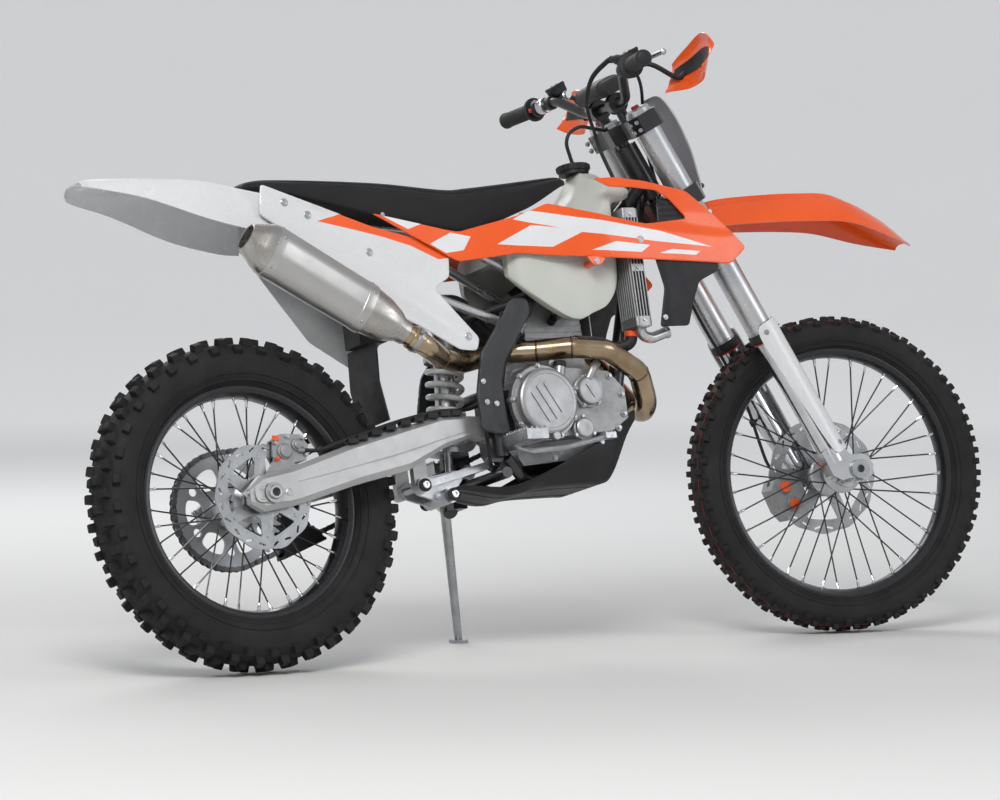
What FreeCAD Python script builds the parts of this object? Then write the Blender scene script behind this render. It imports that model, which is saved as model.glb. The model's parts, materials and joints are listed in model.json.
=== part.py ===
"""A full-size motocross and enduro bike, parked on its side stand with the bars turned a little to the right.

Every piece is drawn on the upright bike: X runs forward from the rear axle, Y to the rider's left and Z up from the
ground. Pieces that turn with the bars are drawn in the fork frame, whose Z runs up the steering axis. At the end each
piece is placed as the bike parks, leaning to its left until both tyres and the stand's foot touch the floor.
"""
import FreeCAD, Part
import math
import os
import Sketcher

from FreeCAD import Placement, Rotation, Vector

# Driving sizes, in millimetres and degrees
SIZES = {
    # stance
    "lean_angle": 14,
    "steer_turn": -12.15,
    "rake_angle": 26.5,
    "steer_foot_ahead": 1431,
    "steer_foot_height": 323.6,
    "rear_axle_height": 341,
    "front_axle_ahead": 57,
    "fork_ahead": 22,
    "fork_spread": 103,
    "seat_gap": 0.3,
    "running_gap": 5,
    "cut_overrun": 10,
    # rear wheel
    "rear_tyre_radius": 341,
    "rear_tyre_half": 56,
    "rear_bead_radius": 240,
    "rear_rim_half": 31,
    "rear_rim_opening": 220,
    "rear_flange_radius": 45,
    "rear_hub_barrel": 27,
    # front wheel
    "front_tyre_radius": 349,
    "front_tyre_half": 45,
    "front_bead_radius": 277,
    "front_rim_half": 24,
    "front_rim_opening": 257.4,
    "front_flange_radius": 46,
    "front_hub_barrel": 24,
    # both wheels
    "rim_lip": 3.5,
    "rim_floor": 6,
    "bead_seat_depth": 8.5,
    "spoke_width": 3.8,
    "spoke_count": 36,
    "hub_flange_width": 7,
    "axle_radius": 12,
    "axle_bore_radius": 8.5,
    "axle_bore_depth": 30,
    "axle_fit": 0.6,
    "axle_nut_radius": 21,
    "axle_nut_width": 8,
    # brakes and sprockets
    "disc_thickness": 4,
    "rear_disc_radius": 110,
    "rear_disc_band": 26,
    "rear_disc_line": 84.3,
    "front_disc_radius": 130,
    "front_disc_band": 30,
    "front_disc_line": 69.3,
    "disc_mount_radius": 36,
    "disc_arm_count": 6,
    "disc_arm_width": 13,
    "chain_line": 78,
    "chain_pitch": 15.875,
    "rear_sprocket_teeth": 48,
    "front_sprocket_teeth": 14,
    "sprocket_thickness": 6,
    "sprocket_band": 24,
    "chain_half_height": 6.5,
    "chain_width": 14,
    "countershaft_ahead": 640,
    "countershaft_height": 480,
    # frame
    "head_tube_low": 735,
    "head_tube_high": 862,
    "head_tube_radius": 27,
    "down_tube_top": 790,
    "spar_radius": 15,
    "down_tube_radius": 18,
    "cradle_radius": 12,
    "frame_bend": 60,
    "frame_length": 530,
    "frame_drop": 650,
    "frame_half": 106,
    "pivot_ahead": 570,
    "pivot_height": 465,
    "pivot_plate_inner": 90,
    "pivot_plate_width": 14,
    "pivot_plate_length": 66,
    "pivot_plate_height": 150,
    "pivot_pin_radius": 8.5,
    "pin_fit": 0.3,
    # subframe
    "subframe_radius": 10,
    "subframe_bend": 80,
    "subframe_half": 62,
    "subframe_rear": 95,
    "subframe_bottom": 640,
    "subframe_clamp_wall": 4,
    "subframe_length": 580,
    "subframe_height": 300,
    # engine
    "case_length": 260,
    "case_height": 220,
    "case_rear": 614,
    "case_bottom": 386,
    "case_right": 128,
    "case_left": 62,
    "case_step_left": 104,
    "case_joint": 4,
    "cover_width": 36,
    "clutch_cover_radius": 80,
    "clutch_cover_ahead": 660,
    "clutch_cover_height": 505,
    "clutch_lip": 8,
    "pump_radius": 34,
    "pump_ahead": 776,
    "pump_height": 527,
    "ignition_cover_radius": 66,
    "ignition_cover_ahead": 778,
    "ignition_cover_height": 492,
    "cylinder_length": 150,
    "cylinder_height": 150,
    "cylinder_half": 52,
    "cylinder_rear": 690,
    # exhaust
    "header_radius": 23,
    "header_bend": 55,
    "silencer_half_height": 59,
    "silencer_half_width": 41,
    "silencer_length": 330,
    "silencer_offset": 158,
    "silencer_rear_ahead": 53,
    "silencer_rear_height": 824,
    "silencer_front_height": 656,
    "outlet_radius": 24,
    "end_cap_length": 72,
    "silencer_joint": 50,
    # tank, cap and seat
    "tank_length": 330,
    "tank_height": 350,
    "tank_half": 126,
    "tank_rear": 640,
    "tank_bottom": 680,
    "tank_lobe_inner": 101,
    "cap_radius": 36,
    "cap_height": 22,
    "cap_ahead": 905,
    "seat_length": 800,
    "seat_height": 140,
    "seat_half": 90,
    "seat_rear": 60,
    "seat_bottom": 885,
    # bodywork
    "shroud_wall": 4,
    "shroud_length": 880,
    "shroud_height": 220,
    "shroud_half": 186,
    "shroud_rear": 320,
    "shroud_bottom": 780,
    "shroud_boss_ahead": 752,
    "shroud_boss_radius": 9,
    "panel_wall": 4,
    "panel_length": 500,
    "panel_height": 400,
    "panel_half": 118,
    "panel_rear": 50,
    "panel_bottom": 600,
    "panel_boss_ahead": 200,
    "panel_boss_radius": 9,
    "fender_wall": 4,
    "rear_fender_length": 600,
    "rear_fender_height": 200,
    "rear_fender_half": 110,
    "rear_fender_tip": -303,
    "rear_fender_bottom": 850,
    "flap_width": 120,
    "flap_length": 110,
    "flap_wall": 4,
    "airbox_height": 170,
    "airbox_half": 46,
    "airbox_rear": 300,
    "airbox_bottom": 660,
    "intake_radius": 27,
    # cooling
    "radiator_depth": 40,
    "radiator_height": 260,
    "radiator_rear": 915,
    "radiator_bottom": 662,
    "radiator_inner": 84,
    "radiator_width": 66,
    "radiator_tank_height": 28,
    "radiator_tab": 24,
    "radiator_guard_depth": 170,
    "radiator_guard_height": 300,
    "radiator_guard_bottom": 650,
    "radiator_guard_wall": 4,
    "radiator_guard_half": 176,
    # guards
    "frame_guard_wall": 12,
    "frame_guard_length": 180,
    "frame_guard_height": 300,
    "frame_guard_rear": 505,
    "frame_guard_bottom": 442,
    "skid_length": 470,
    "skid_height": 180,
    "skid_rear": 466,
    "skid_bottom": 320,
    "skid_half": 120,
    "skid_wall": 5,
    "lift_pad_drop": 2,
    "lift_pad_half": 60,
    # swingarm and suspension
    "swingarm_length": 620,
    "swingarm_height": 190,
    "swingarm_half": 128,
    "swingarm_rear": -49,
    "swingarm_bottom": 304,
    "swingarm_bridge_ahead": 425,
    "swingarm_bridge_length": 80,
    "swingarm_bridge_height": 56,
    "swingarm_boss_radius": 27,
    "swingarm_lug_height": 70,
    "shock_eye_radius": 13,
    "shock_eye_half": 15,
    "shock_beam_radius": 9,
    "shock_low_ahead": 492,
    "shock_low_height": 372,
    "shock_body_radius": 22,
    "shock_rod_radius": 8,
    "spring_radius": 36,
    "spring_wire": 6,
    "spring_turns": 6,
    "spring_length": 190,
    "link_bolt_ahead": 463,
    "link_bolt_height": 333,
    "link_rear_ahead": 396,
    "link_rear_height": 355,
    "link_front_ahead": 570,
    "link_front_height": 395,
    "link_half": 46,
    "link_width": 12,
    "link_eye_radius": 16,
    "link_bar_radius": 8,
    "rocker_wall": 8,
    # chain guide, caliper, pegs and pedals
    "guide_length": 110,
    "guide_height": 66,
    "guide_wall": 6,
    "guide_ahead": 160,
    "caliper_length": 84,
    "caliper_height": 64,
    "caliper_bracket_width": 5,
    "caliper_half": 14,
    "peg_ahead": 575,
    "peg_height": 424,
    "peg_inner": 148,
    "peg_length": 86,
    "peg_depth": 52,
    "peg_thickness": 22,
    "pedal_radius": 6,
    "pedal_bend": 25,
    "pedal_pad": 26,
    # side stand
    "stand_pivot_ahead": 565,
    "stand_pivot_out": 152,
    "stand_pivot_height": 342,
    "stand_foot_ahead": 640,
    "stand_foot_out": 290,
    "stand_leg_radius": 11,
    "stand_toe_radius": 8.5,
    "stand_foot_radius": 21,
    "stand_foot_thickness": 7,
    "stand_boss_radius": 17,
    "stand_boss_width": 28,
    "stand_block_height": 80,
    "stand_block_inner": 88,
    "stand_neck_length": 10,
    "stand_pin_radius": 7,
    "stand_pin_head": 6,
    # fork and clamps
    "fork_outer_radius": 29.5,
    "fork_outer_low": 353,
    "fork_top": 918,
    "fork_wiper_height": 14,
    "fork_wiper_step": 2.5,
    "fork_inner_radius": 24,
    "fork_lug_top": 78,
    "fork_lug_half": 21,
    "fork_lug_length": 96,
    "fork_lug_height": 104,
    "clamp_height": 40,
    "low_clamp_base": 685,
    "top_clamp_base": 872,
    "clamp_length": 96,
    "clamp_half": 138,
    "stem_radius": 14,
    # handlebar and controls
    "bar_radius": 11,
    "bar_bend": 60,
    "bar_half": 405,
    "bar_centre_ahead": 12,
    "bar_centre_height": 955,
    "bar_end_height": 1026,
    "bar_end_ahead": -43,
    "bar_post_radius": 12,
    "bar_post_spread": 50,
    "bar_clamp_length": 46,
    "grip_radius": 17,
    "grip_length": 128,
    "grip_flange_radius": 27,
    "grip_flange_width": 6,
    "pad_length": 78,
    "pad_height": 62,
    "pad_half": 82,
    "perch_width": 22,
    "perch_radius": 18,
    "lever_radius": 6,
    "lever_bend": 30,
    # hand guards, front fender and plate
    "hand_guard_wall": 3,
    "hand_guard_length": 190,
    "hand_guard_height": 120,
    "hand_guard_depth": 60,
    "front_fender_length": 570,
    "front_fender_height": 200,
    "front_fender_half": 100,
    "front_fender_rear": -300,
    "front_fender_bottom": 520,
    "fender_boss_ahead": 14,
    "fender_boss_out": 16,
    "fender_boss_length": 25,
    "fender_boss_radius": 8,
    "plate_wall": 3,
    "plate_height": 235,
    "plate_half": 96,
    "plate_base": 690,
    "plate_ahead": 84,
    "plate_peg_radius": 7,
    # fork guards, front caliper
    "fork_guard_gap": 5,
    "fork_guard_wall": 3,
    "fork_guard_low": 57,
    "guard_boss_radius": 8,
    "fork_guard_high": 385,
    "front_caliper_length": 78,
    "front_caliper_height": 96,
    # cables
    "cable_radius": 3.5,
    "cable_bend": 50,
}

doc = FreeCAD.newDocument("MotocrossBike")
sheet = doc.addObject("Spreadsheet::Sheet", "Sizes")
for row, (alias, value) in enumerate(SIZES.items(), start=1):
    sheet.set("A%d" % row, alias)
    sheet.set("B%d" % row, str(value))
    sheet.setAlias("B%d" % row, alias)
doc.recompute()


class SheetSizes:
    """Reads a size from the sheet by its name."""

    def __getattr__(self, alias):
        return float(sheet.get(alias))


size = SheetSizes()

# Sub-parts in the order they are made: label, object, and the frame that it is drawn in
nodes = []


def add_node(label, piece, frame_name):
    piece.Label = label
    nodes.append((label, piece, frame_name))
    return piece


def solid_feature(name, shape):
    piece = doc.addObject("Part::Feature", name)
    piece.Shape = shape
    return piece


def value_of(expression):
    return float(sheet.evalExpression(expression))


def ex(alias, share=None):
    """The sheet expression for a size, or for a share of it."""
    if share is None:
        return "Sizes.%s" % alias
    return "(%s) * Sizes.%s" % (share, alias)


# Sketched bodies

def plane_of(body, role):
    return [part for part in body.Origin.OriginFeatures if part.Role == role][0]


def sketch_on(body, name, role, offset="0"):
    sketch = body.newObject("Sketcher::SketchObject", name)
    sketch.AttachmentSupport = (plane_of(body, role), [""])
    sketch.MapMode = "FlatFace"
    sketch.setExpression("AttachmentOffset.Base.z", offset)
    return sketch


def draw_outline(sketch, points):
    """A closed outline whose corners are bound to sheet expressions."""
    corners = [(value_of(across), value_of(up)) for across, up in points]
    first = sketch.GeometryCount
    count = len(corners)
    for index in range(count):
        start = corners[index]
        end = corners[(index + 1) % count]
        sketch.addGeometry(Part.LineSegment(Vector(start[0], start[1], 0), Vector(end[0], end[1], 0)))
    for index in range(count):
        sketch.addConstraint(Sketcher.Constraint("Coincident", first + index, 2, first + (index + 1) % count, 1))
    for index, (across, up) in enumerate(points):
        line = first + index
        for kind, term, value in (("DistanceX", across, corners[index][0]), ("DistanceY", up, corners[index][1])):
            number = sketch.addConstraint(Sketcher.Constraint(kind, -1, 1, line, 1, value))
            sketch.setExpression("Constraints[%d]" % number, term)


def draw_circle(sketch, across, up, radius):
    centre = Vector(value_of(across), value_of(up), 0)
    line = sketch.addGeometry(Part.Circle(centre, Vector(0, 0, 1), value_of(radius)))
    number = sketch.addConstraint(Sketcher.Constraint("DistanceX", -1, 1, line, 3, centre.x))
    sketch.setExpression("Constraints[%d]" % number, across)
    number = sketch.addConstraint(Sketcher.Constraint("DistanceY", -1, 1, line, 3, centre.y))
    sketch.setExpression("Constraints[%d]" % number, up)
    number = sketch.addConstraint(Sketcher.Constraint("Radius", line, value_of(radius)))
    sketch.setExpression("Constraints[%d]" % number, radius)


def new_body(name):
    return doc.addObject("PartDesign::Body", name)


def pad(body, name, sketch, length):
    feature = body.newObject("PartDesign::Pad", name)
    feature.Profile = sketch
    feature.setExpression("Length", length)
    return feature


def revolve(body, name, sketch):
    feature = body.newObject("PartDesign::Revolution", name)
    feature.Profile = sketch
    feature.ReferenceAxis = (sketch, ["V_Axis"])
    feature.Angle = 360
    return feature


def cut_through(body, name, sketch):
    feature = body.newObject("PartDesign::Pocket", name)
    feature.Profile = sketch
    feature.Type = "ThroughAll"
    feature.SideType = "Symmetric"
    return feature


def pattern_round_axle(body, name, feature, role, count):
    pattern = body.newObject("PartDesign::PolarPattern", name)
    pattern.Originals = [feature]
    pattern.Axis = ([part for part in body.Origin.OriginFeatures if part.Role == role][0], [""])
    pattern.Angle = 360
    pattern.setExpression("Occurrences", count)
    body.Tip = pattern
    return pattern


def revolved_body(name, points):
    """A body turned about Y from a half section of (radius, place along Y) pairs."""
    body = new_body(name)
    sketch = sketch_on(body, name + "_section", "XY_Plane")
    draw_outline(sketch, points)
    revolve(body, name + "_turn", sketch)
    return body


def plate_body(name, points, outer, width):
    """A body with its outline in XZ, from Y = outer towards minus Y by width."""
    body = new_body(name)
    sketch = sketch_on(body, name + "_outline", "XZ_Plane", "-(%s)" % outer)
    draw_outline(sketch, points)
    pad(body, name + "_pad", sketch, width)
    return body


def shares_to_points(shares, start_across, length, start_up, height):
    """Outline corners as sheet expressions, from shares of a length and a height."""
    points = []
    for across_share, up_share in shares:
        across = "%s + (%s) * %s" % (start_across, across_share, length)
        up = "%s + (%s) * %s" % (start_up, up_share, height)
        points.append((across, up))
    return points


# Free forms

def on_span(start, share, length):
    return start + share * length


def closed_wire(points):
    return Part.makePolygon(points + [points[0]])


def loft(sections):
    """A solid through closed polygons with the same number of corners, with straight sides between them."""
    return Part.makeLoft([closed_wire(points) for points in sections], True, True)


def prism(points, direction):
    return Part.Face(closed_wire(points)).extrude(direction)


def mirrored(shape):
    return shape.mirror(Vector(0, 0, 0), Vector(0, 1, 0))


def both_sides(shape):
    return Part.makeCompound([shape, mirrored(shape)])


def rod(start, end, radius):
    return Part.makeCylinder(radius, (end - start).Length, start, end - start)


def taper(start, end, start_radius, end_radius):
    return Part.makeCone(start_radius, end_radius, (end - start).Length, start, end - start)


def route(points, bend):
    """A path of straight runs joined by tangent arcs."""
    edges = []
    last = points[0]
    for before, corner, after in zip(points, points[1:], points[2:]):
        back = (before - corner).normalize()
        ahead = (after - corner).normalize()
        turn = math.pi - back.getAngle(ahead)
        trim = bend * math.tan(turn / 2)
        longest = min((before - corner).Length, (after - corner).Length) * 0.48
        trim = min(trim, longest)
        radius = trim / math.tan(turn / 2)
        start = corner + back * trim
        end = corner + ahead * trim
        middle_way = (back + ahead).normalize()
        centre = corner + middle_way * (radius / math.cos(turn / 2))
        middle = centre - middle_way * radius
        if (start - last).Length > 0:
            edges.append(Part.LineSegment(last, start).toShape())
        edges.append(Part.Arc(start, middle, end).toShape())
        last = end
    edges.append(Part.LineSegment(last, points[-1]).toShape())
    return Part.Wire(edges)


def tube(points, radius, bend):
    path = route(points, bend)
    profile = Part.Wire([Part.makeCircle(radius, points[0], points[1] - points[0])])
    return path.makePipeShell([profile], True, True)


def fused(shapes):
    whole = shapes[0].multiFuse(shapes[1:])
    return whole.removeSplitter()


def wall_through(stations, levels, wall):
    """A standing wall on the right side, through stations along X.

    A station is (place along X, how far out at each level); the levels run from the top down.
    """
    sections = []
    for along, outs in stations:
        outer = [Vector(along, -out, level) for out, level in zip(outs, levels)]
        inner = [Vector(along, -out + wall, level) for out, level in zip(outs, levels)]
        sections.append(outer + inner[::-1])
    return loft(sections)


def trimmed_wall(stations, levels, wall, outline):
    """The wall cut to its side outline of (X, Z) points."""
    reach = max(max(outs) for along, outs in stations) + size.cut_overrun
    face = [Vector(across, -reach, up) for across, up in outline]
    return wall_through(stations, levels, wall).common(prism(face, Vector(0, reach, 0)))


def span_points(shares, start_across, length, start_up, height):
    return [(on_span(start_across, across, length), on_span(start_up, up, height)) for across, up in shares]


# Where the steering axis stands on the upright bike
RAKE = math.radians(size.rake_angle)
AXIS_UP = Vector(-math.sin(RAKE), 0, math.cos(RAKE))
AXIS_FOOT = Vector(size.steer_foot_ahead, 0, size.steer_foot_height)
REAR_AXLE = Vector(0, 0, size.rear_axle_height)


def on_axis(along):
    return AXIS_FOOT + AXIS_UP * along


# Wheels, drawn about their own axle: section corners are (radius, place along the axle)

def tyre_points(radius, half, bead, rim_half):
    """The section of a tyre out to the tips of its lugs, as shares of its height above the bead and of its width."""
    height = "(%s - %s)" % (radius, bead)
    outer_shares = [(0.0, 0.56), (0.26, 0.84), (0.52, 1.0), (0.90, 0.88), (1.0, 0.52)]
    side = []
    for up_share, out_share in outer_shares:
        up = "%s + Sizes.seat_gap + (%s) * (%s - Sizes.seat_gap)" % (bead, up_share, height)
        side.append((up, "(%s) * %s" % (out_share, half)))
    foot_out = "%s - Sizes.rim_lip - Sizes.seat_gap" % rim_half
    foot = [("%s - Sizes.bead_seat_depth + Sizes.seat_gap" % bead, foot_out),
            ("%s + Sizes.seat_gap" % bead, foot_out)]
    left = foot + side
    right = [(up, "-(%s)" % out) for up, out in reversed(left)]
    return left + right


def rim_points(opening, bead, rim_half):
    left = [
        (opening, "%s * 0.5" % rim_half),
        ("%s + Sizes.rim_floor" % opening, rim_half),
        (bead, rim_half),
        (bead, "%s - Sizes.rim_lip" % rim_half),
        ("%s - Sizes.bead_seat_depth" % bead, "%s - Sizes.rim_lip" % rim_half),
        ("%s + Sizes.rim_floor" % opening, "%s * 0.45" % rim_half),
    ]
    right = [(up, "-(%s)" % out) for up, out in reversed(left)]
    return left + right


rear_tyre = revolved_body("rear_tyre", tyre_points(
    "Sizes.rear_tyre_radius", "Sizes.rear_tyre_half", "Sizes.rear_bead_radius", "Sizes.rear_rim_half"))
add_node("rear_tyre", rear_tyre, "rear_wheel")
rear_rim = revolved_body("rear_rim", rim_points(
    "Sizes.rear_rim_opening", "Sizes.rear_bead_radius", "Sizes.rear_rim_half"))
add_node("rear_rim", rear_rim, "rear_wheel")
front_tyre = revolved_body("front_tyre", tyre_points(
    "Sizes.front_tyre_radius", "Sizes.front_tyre_half", "Sizes.front_bead_radius", "Sizes.front_rim_half"))
add_node("front_tyre", front_tyre, "front_wheel")
front_rim = revolved_body("front_rim", rim_points(
    "Sizes.front_rim_opening", "Sizes.front_bead_radius", "Sizes.front_rim_half"))
add_node("front_rim", front_rim, "front_wheel")


def hub_points(barrel, flange, left_face, right_face, flange_left, flange_right):
    """A hub with a spoke flange near each end and a seat for a disc or sprocket on its end faces."""
    bore = "Sizes.axle_radius + Sizes.axle_fit"
    left = [
        (bore, left_face),
        ("Sizes.disc_mount_radius", left_face),
        ("Sizes.disc_mount_radius", "%s - Sizes.hub_flange_width" % left_face),
        (barrel, "%s + Sizes.hub_flange_width" % flange_left),
        (flange, flange_left),
        (flange, "%s - Sizes.hub_flange_width" % flange_left),
        (barrel, "%s - 2 * Sizes.hub_flange_width" % flange_left),
    ]
    right = [
        (barrel, "-(%s) + 2 * Sizes.hub_flange_width" % flange_right),
        (flange, "-(%s) + Sizes.hub_flange_width" % flange_right),
        (flange, "-(%s)" % flange_right),
        (barrel, "-(%s) - Sizes.hub_flange_width" % flange_right),
        ("Sizes.disc_mount_radius", "-(%s) + Sizes.hub_flange_width" % right_face),
        ("Sizes.disc_mount_radius", "-(%s)" % right_face),
        (bore, "-(%s)" % right_face),
    ]
    return left + right


REAR_HUB_RIGHT = "Sizes.rear_disc_line - Sizes.disc_thickness / 2 - Sizes.seat_gap"
REAR_HUB_LEFT = "Sizes.chain_line - Sizes.sprocket_thickness / 2 - Sizes.seat_gap"
FRONT_HUB_LEFT = "Sizes.front_disc_line - Sizes.disc_thickness / 2 - Sizes.seat_gap"
rear_hub = revolved_body("rear_hub", hub_points(
    "Sizes.rear_hub_barrel", "Sizes.rear_flange_radius", REAR_HUB_LEFT, REAR_HUB_RIGHT,
    "0.68 * Sizes.rear_tyre_half", "0.68 * Sizes.rear_tyre_half"))
add_node("rear_hub", rear_hub, "rear_wheel")
front_hub = revolved_body("front_hub", hub_points(
    "Sizes.front_hub_barrel", "Sizes.front_flange_radius", FRONT_HUB_LEFT, FRONT_HUB_LEFT,
    "0.84 * Sizes.front_tyre_half", "0.84 * Sizes.front_tyre_half"))
add_node("front_hub", front_hub, "front_wheel")


def spokes(name, flange, opening, out, rim_half):
    """Straight pulled spokes from both hub flanges to the rim, laced both ways round."""
    count = int(size.spoke_count)
    step = 2 * math.pi / count
    half = size.spoke_width / 2
    lean_share = 3.2
    bars = []
    for number in range(count):
        side = 1 if number % 2 == 0 else -1
        way = 1 if number % 4 < 2 else -1
        hub_angle = (number - lean_share * way) * step
        rim_angle = number * step
        inset = -half if way > 0 else half
        start_out = side * (out - size.hub_flange_width / 2 + inset)
        hub_reach = flange + size.seat_gap + half * 0.62
        start = Vector(hub_reach * math.cos(hub_angle), start_out, hub_reach * math.sin(hub_angle))
        rim_reach = opening - size.seat_gap - half * 0.12
        end_out = side * rim_half * 0.25
        end = Vector(rim_reach * math.cos(rim_angle), end_out, rim_reach * math.sin(rim_angle))
        along = end - start
        across = along.cross(Vector(0, 1, 0)).normalize()
        up = across.cross(along).normalize()
        corners = [start + across * half, start + up * half, start - across * half, start - up * half]
        bars.append(prism(corners, along))
    return solid_feature(name, Part.makeCompound(bars))


add_node("rear_spokes", spokes("rear_spokes", size.rear_flange_radius, size.rear_rim_opening,
                               0.68 * size.rear_tyre_half, size.rear_rim_half), "rear_wheel")
add_node("front_spokes", spokes("front_spokes", size.front_flange_radius, size.front_rim_opening,
                                0.84 * size.front_tyre_half, size.front_rim_half), "front_wheel")


def ring_with_arms(name, radius, band, line, thickness):
    """A disc or sprocket: a band on arms from its mounting ring, centred on a line along the axle."""
    body = new_body(name)
    outline = sketch_on(body, name + "_outline", "XZ_Plane", "-(%s) - %s / 2" % (line, thickness))
    draw_circle(outline, "0", "0", radius)
    draw_circle(outline, "0", "0", "Sizes.axle_radius + Sizes.axle_fit + Sizes.cut_overrun")
    pad(body, name + "_pad", outline, thickness)
    doc.recompute()
    window = sketch_on(body, name + "_window", "XZ_Plane")
    inner = "(Sizes.disc_mount_radius + Sizes.rim_floor)"
    outer = "(%s - %s)" % (radius, band)
    half_turn = "180 / Sizes.disc_arm_count"
    side = "Sizes.disc_arm_width / 2"
    points = [
        ("%s * sin(%s) * 0.7" % (inner, half_turn), inner),
        ("%s * sin(%s) - %s" % (outer, half_turn, side), "%s * cos(%s)" % (outer, half_turn)),
        ("0", outer),
        ("-%s * sin(%s) + %s" % (outer, half_turn, side), "%s * cos(%s)" % (outer, half_turn)),
        ("-%s * sin(%s) * 0.7" % (inner, half_turn), inner),
    ]
    draw_outline(window, points)
    pocket = cut_through(body, name + "_cut", window)
    doc.recompute()
    pattern_round_axle(body, name + "_cuts", pocket, "Y_Axis", "Sizes.disc_arm_count")
    return body


add_node("rear_disc", ring_with_arms("rear_disc", "Sizes.rear_disc_radius", "Sizes.rear_disc_band",
                                     "-Sizes.rear_disc_line", "Sizes.disc_thickness"), "rear_wheel")
add_node("front_disc", ring_with_arms("front_disc", "Sizes.front_disc_radius", "Sizes.front_disc_band",
                                      "Sizes.front_disc_line", "Sizes.disc_thickness"), "front_wheel")
REAR_PITCH_RADIUS = "(Sizes.chain_pitch * Sizes.rear_sprocket_teeth / 360 * 180 / pi)"
rear_pitch_radius = size.chain_pitch / 2 / math.sin(math.pi / size.rear_sprocket_teeth)
front_pitch_radius = size.chain_pitch / 2 / math.sin(math.pi / size.front_sprocket_teeth)
SPROCKET_RADIUS = "Sizes.chain_pitch / 2 / sin(180 / Sizes.rear_sprocket_teeth) - Sizes.chain_half_height - Sizes.axle_fit"
add_node("rear_sprocket", ring_with_arms("rear_sprocket", SPROCKET_RADIUS, "Sizes.sprocket_band",
                                         "Sizes.chain_line", "Sizes.sprocket_thickness"), "rear_wheel")


# Fork, drawn in the fork frame: X ahead of the steering axis, Z up along it from the axle's foot

fork_spots = [Vector(size.fork_ahead, side * size.fork_spread, 0) for side in (-1, 1)]
AXLE_SPOT = Vector(size.front_axle_ahead, 0, 0)


def fork_outer_tubes():
    tubes = []
    for spot in fork_spots:
        low = spot + Vector(0, 0, size.fork_outer_low)
        top = spot + Vector(0, 0, size.fork_top)
        tube_shape = rod(low, top, size.fork_outer_radius)
        wiper = rod(low, low + Vector(0, 0, size.fork_wiper_height), size.fork_outer_radius + size.fork_wiper_step)
        bore = rod(low - Vector(0, 0, size.seat_gap), low + Vector(0, 0, size.fork_wiper_height),
                   size.fork_inner_radius + size.seat_gap)
        tubes.append(tube_shape.fuse(wiper).cut(bore))
    return Part.makeCompound(tubes)


add_node("fork_outer_tubes", solid_feature("fork_outer_tubes", fork_outer_tubes()), "fork")

lug_outline_shares = [
    (0.00, 0.42), (0.02, 0.96), (0.14, 1.00), (0.46, 1.00), (0.56, 0.90), (0.62, 0.60),
    (0.88, 0.50), (1.00, 0.36), (1.00, 0.16), (0.86, 0.00), (0.62, 0.00), (0.50, 0.14), (0.14, 0.24),
]


def fork_legs():
    """Bright inner tubes that end in the cast axle lugs."""
    legs = []
    rear = size.fork_ahead - size.fork_inner_radius - size.fork_wiper_step
    base = size.fork_lug_top - size.fork_lug_height
    outline = span_points(lug_outline_shares, rear, size.fork_lug_length, base, size.fork_lug_height)
    for side, spot in zip((-1, 1), fork_spots):
        out = side * size.fork_spread
        face = [Vector(across, out - size.fork_lug_half, up) for across, up in outline]
        lug = prism(face, Vector(0, 2 * size.fork_lug_half, 0))
        leg = rod(spot + Vector(0, 0, size.fork_lug_top / 2),
                  spot + Vector(0, 0, size.fork_outer_low + size.fork_wiper_height - size.seat_gap),
                  size.fork_inner_radius)
        whole = lug.fuse(leg)
        bore_start = AXLE_SPOT + Vector(0, out - size.fork_lug_half - size.cut_overrun, 0)
        bore_end = AXLE_SPOT + Vector(0, out + size.fork_lug_half + size.cut_overrun, 0)
        legs.append(whole.cut(rod(bore_start, bore_end, size.axle_radius + size.pin_fit)))
    return Part.makeCompound(legs)


add_node("fork_legs", solid_feature("fork_legs", fork_legs()), "fork")


def axle(centre, half, nut_seat):
    """A hollow axle along Y, with a nut outside the leg or arm on each end and a blind bore in each end face."""
    bar = rod(centre - Vector(0, half, 0), centre + Vector(0, half, 0), size.axle_radius)
    for side in (-1, 1):
        seat = centre + Vector(0, side * nut_seat, 0)
        bar = bar.fuse(rod(seat, seat + Vector(0, side * size.axle_nut_width, 0), size.axle_nut_radius))
    for side in (-1, 1):
        end = centre + Vector(0, side * (half + size.axle_nut_width), 0)
        floor = centre + Vector(0, side * (half - size.axle_bore_depth), 0)
        bar = bar.cut(rod(end, floor, size.axle_bore_radius))
    return bar


front_nut_seat = size.fork_spread + size.fork_lug_half + size.seat_gap
add_node("front_axle", solid_feature("front_axle", axle(
    AXLE_SPOT, front_nut_seat + size.axle_nut_width, front_nut_seat)), "fork")

clamp_outline_shares = [
    (0.00, 0.00), (0.00, 0.12), (0.20, 0.36), (0.16, 0.52), (0.10, 0.66), (0.10, 0.84), (0.24, 1.00), (0.72, 1.00),
    (0.87, 0.84), (0.87, 0.66), (0.72, 0.50), (0.60, 0.30), (0.52, 0.00),
]


def clamp(base):
    rear = -size.clamp_length * 0.25
    right = [Vector(rear + across * size.clamp_length, -out * size.clamp_half, base)
             for across, out in clamp_outline_shares]
    left = [Vector(point.x, -point.y, point.z) for point in right[::-1]]
    outline = right + left[1:-1]
    plate = prism(outline, Vector(0, 0, size.clamp_height))
    for spot in fork_spots:
        foot = spot + Vector(0, 0, base - size.cut_overrun)
        plate = plate.cut(rod(foot, foot + Vector(0, 0, size.clamp_height + 2 * size.cut_overrun),
                              size.fork_outer_radius + size.seat_gap))
    return plate


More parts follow.
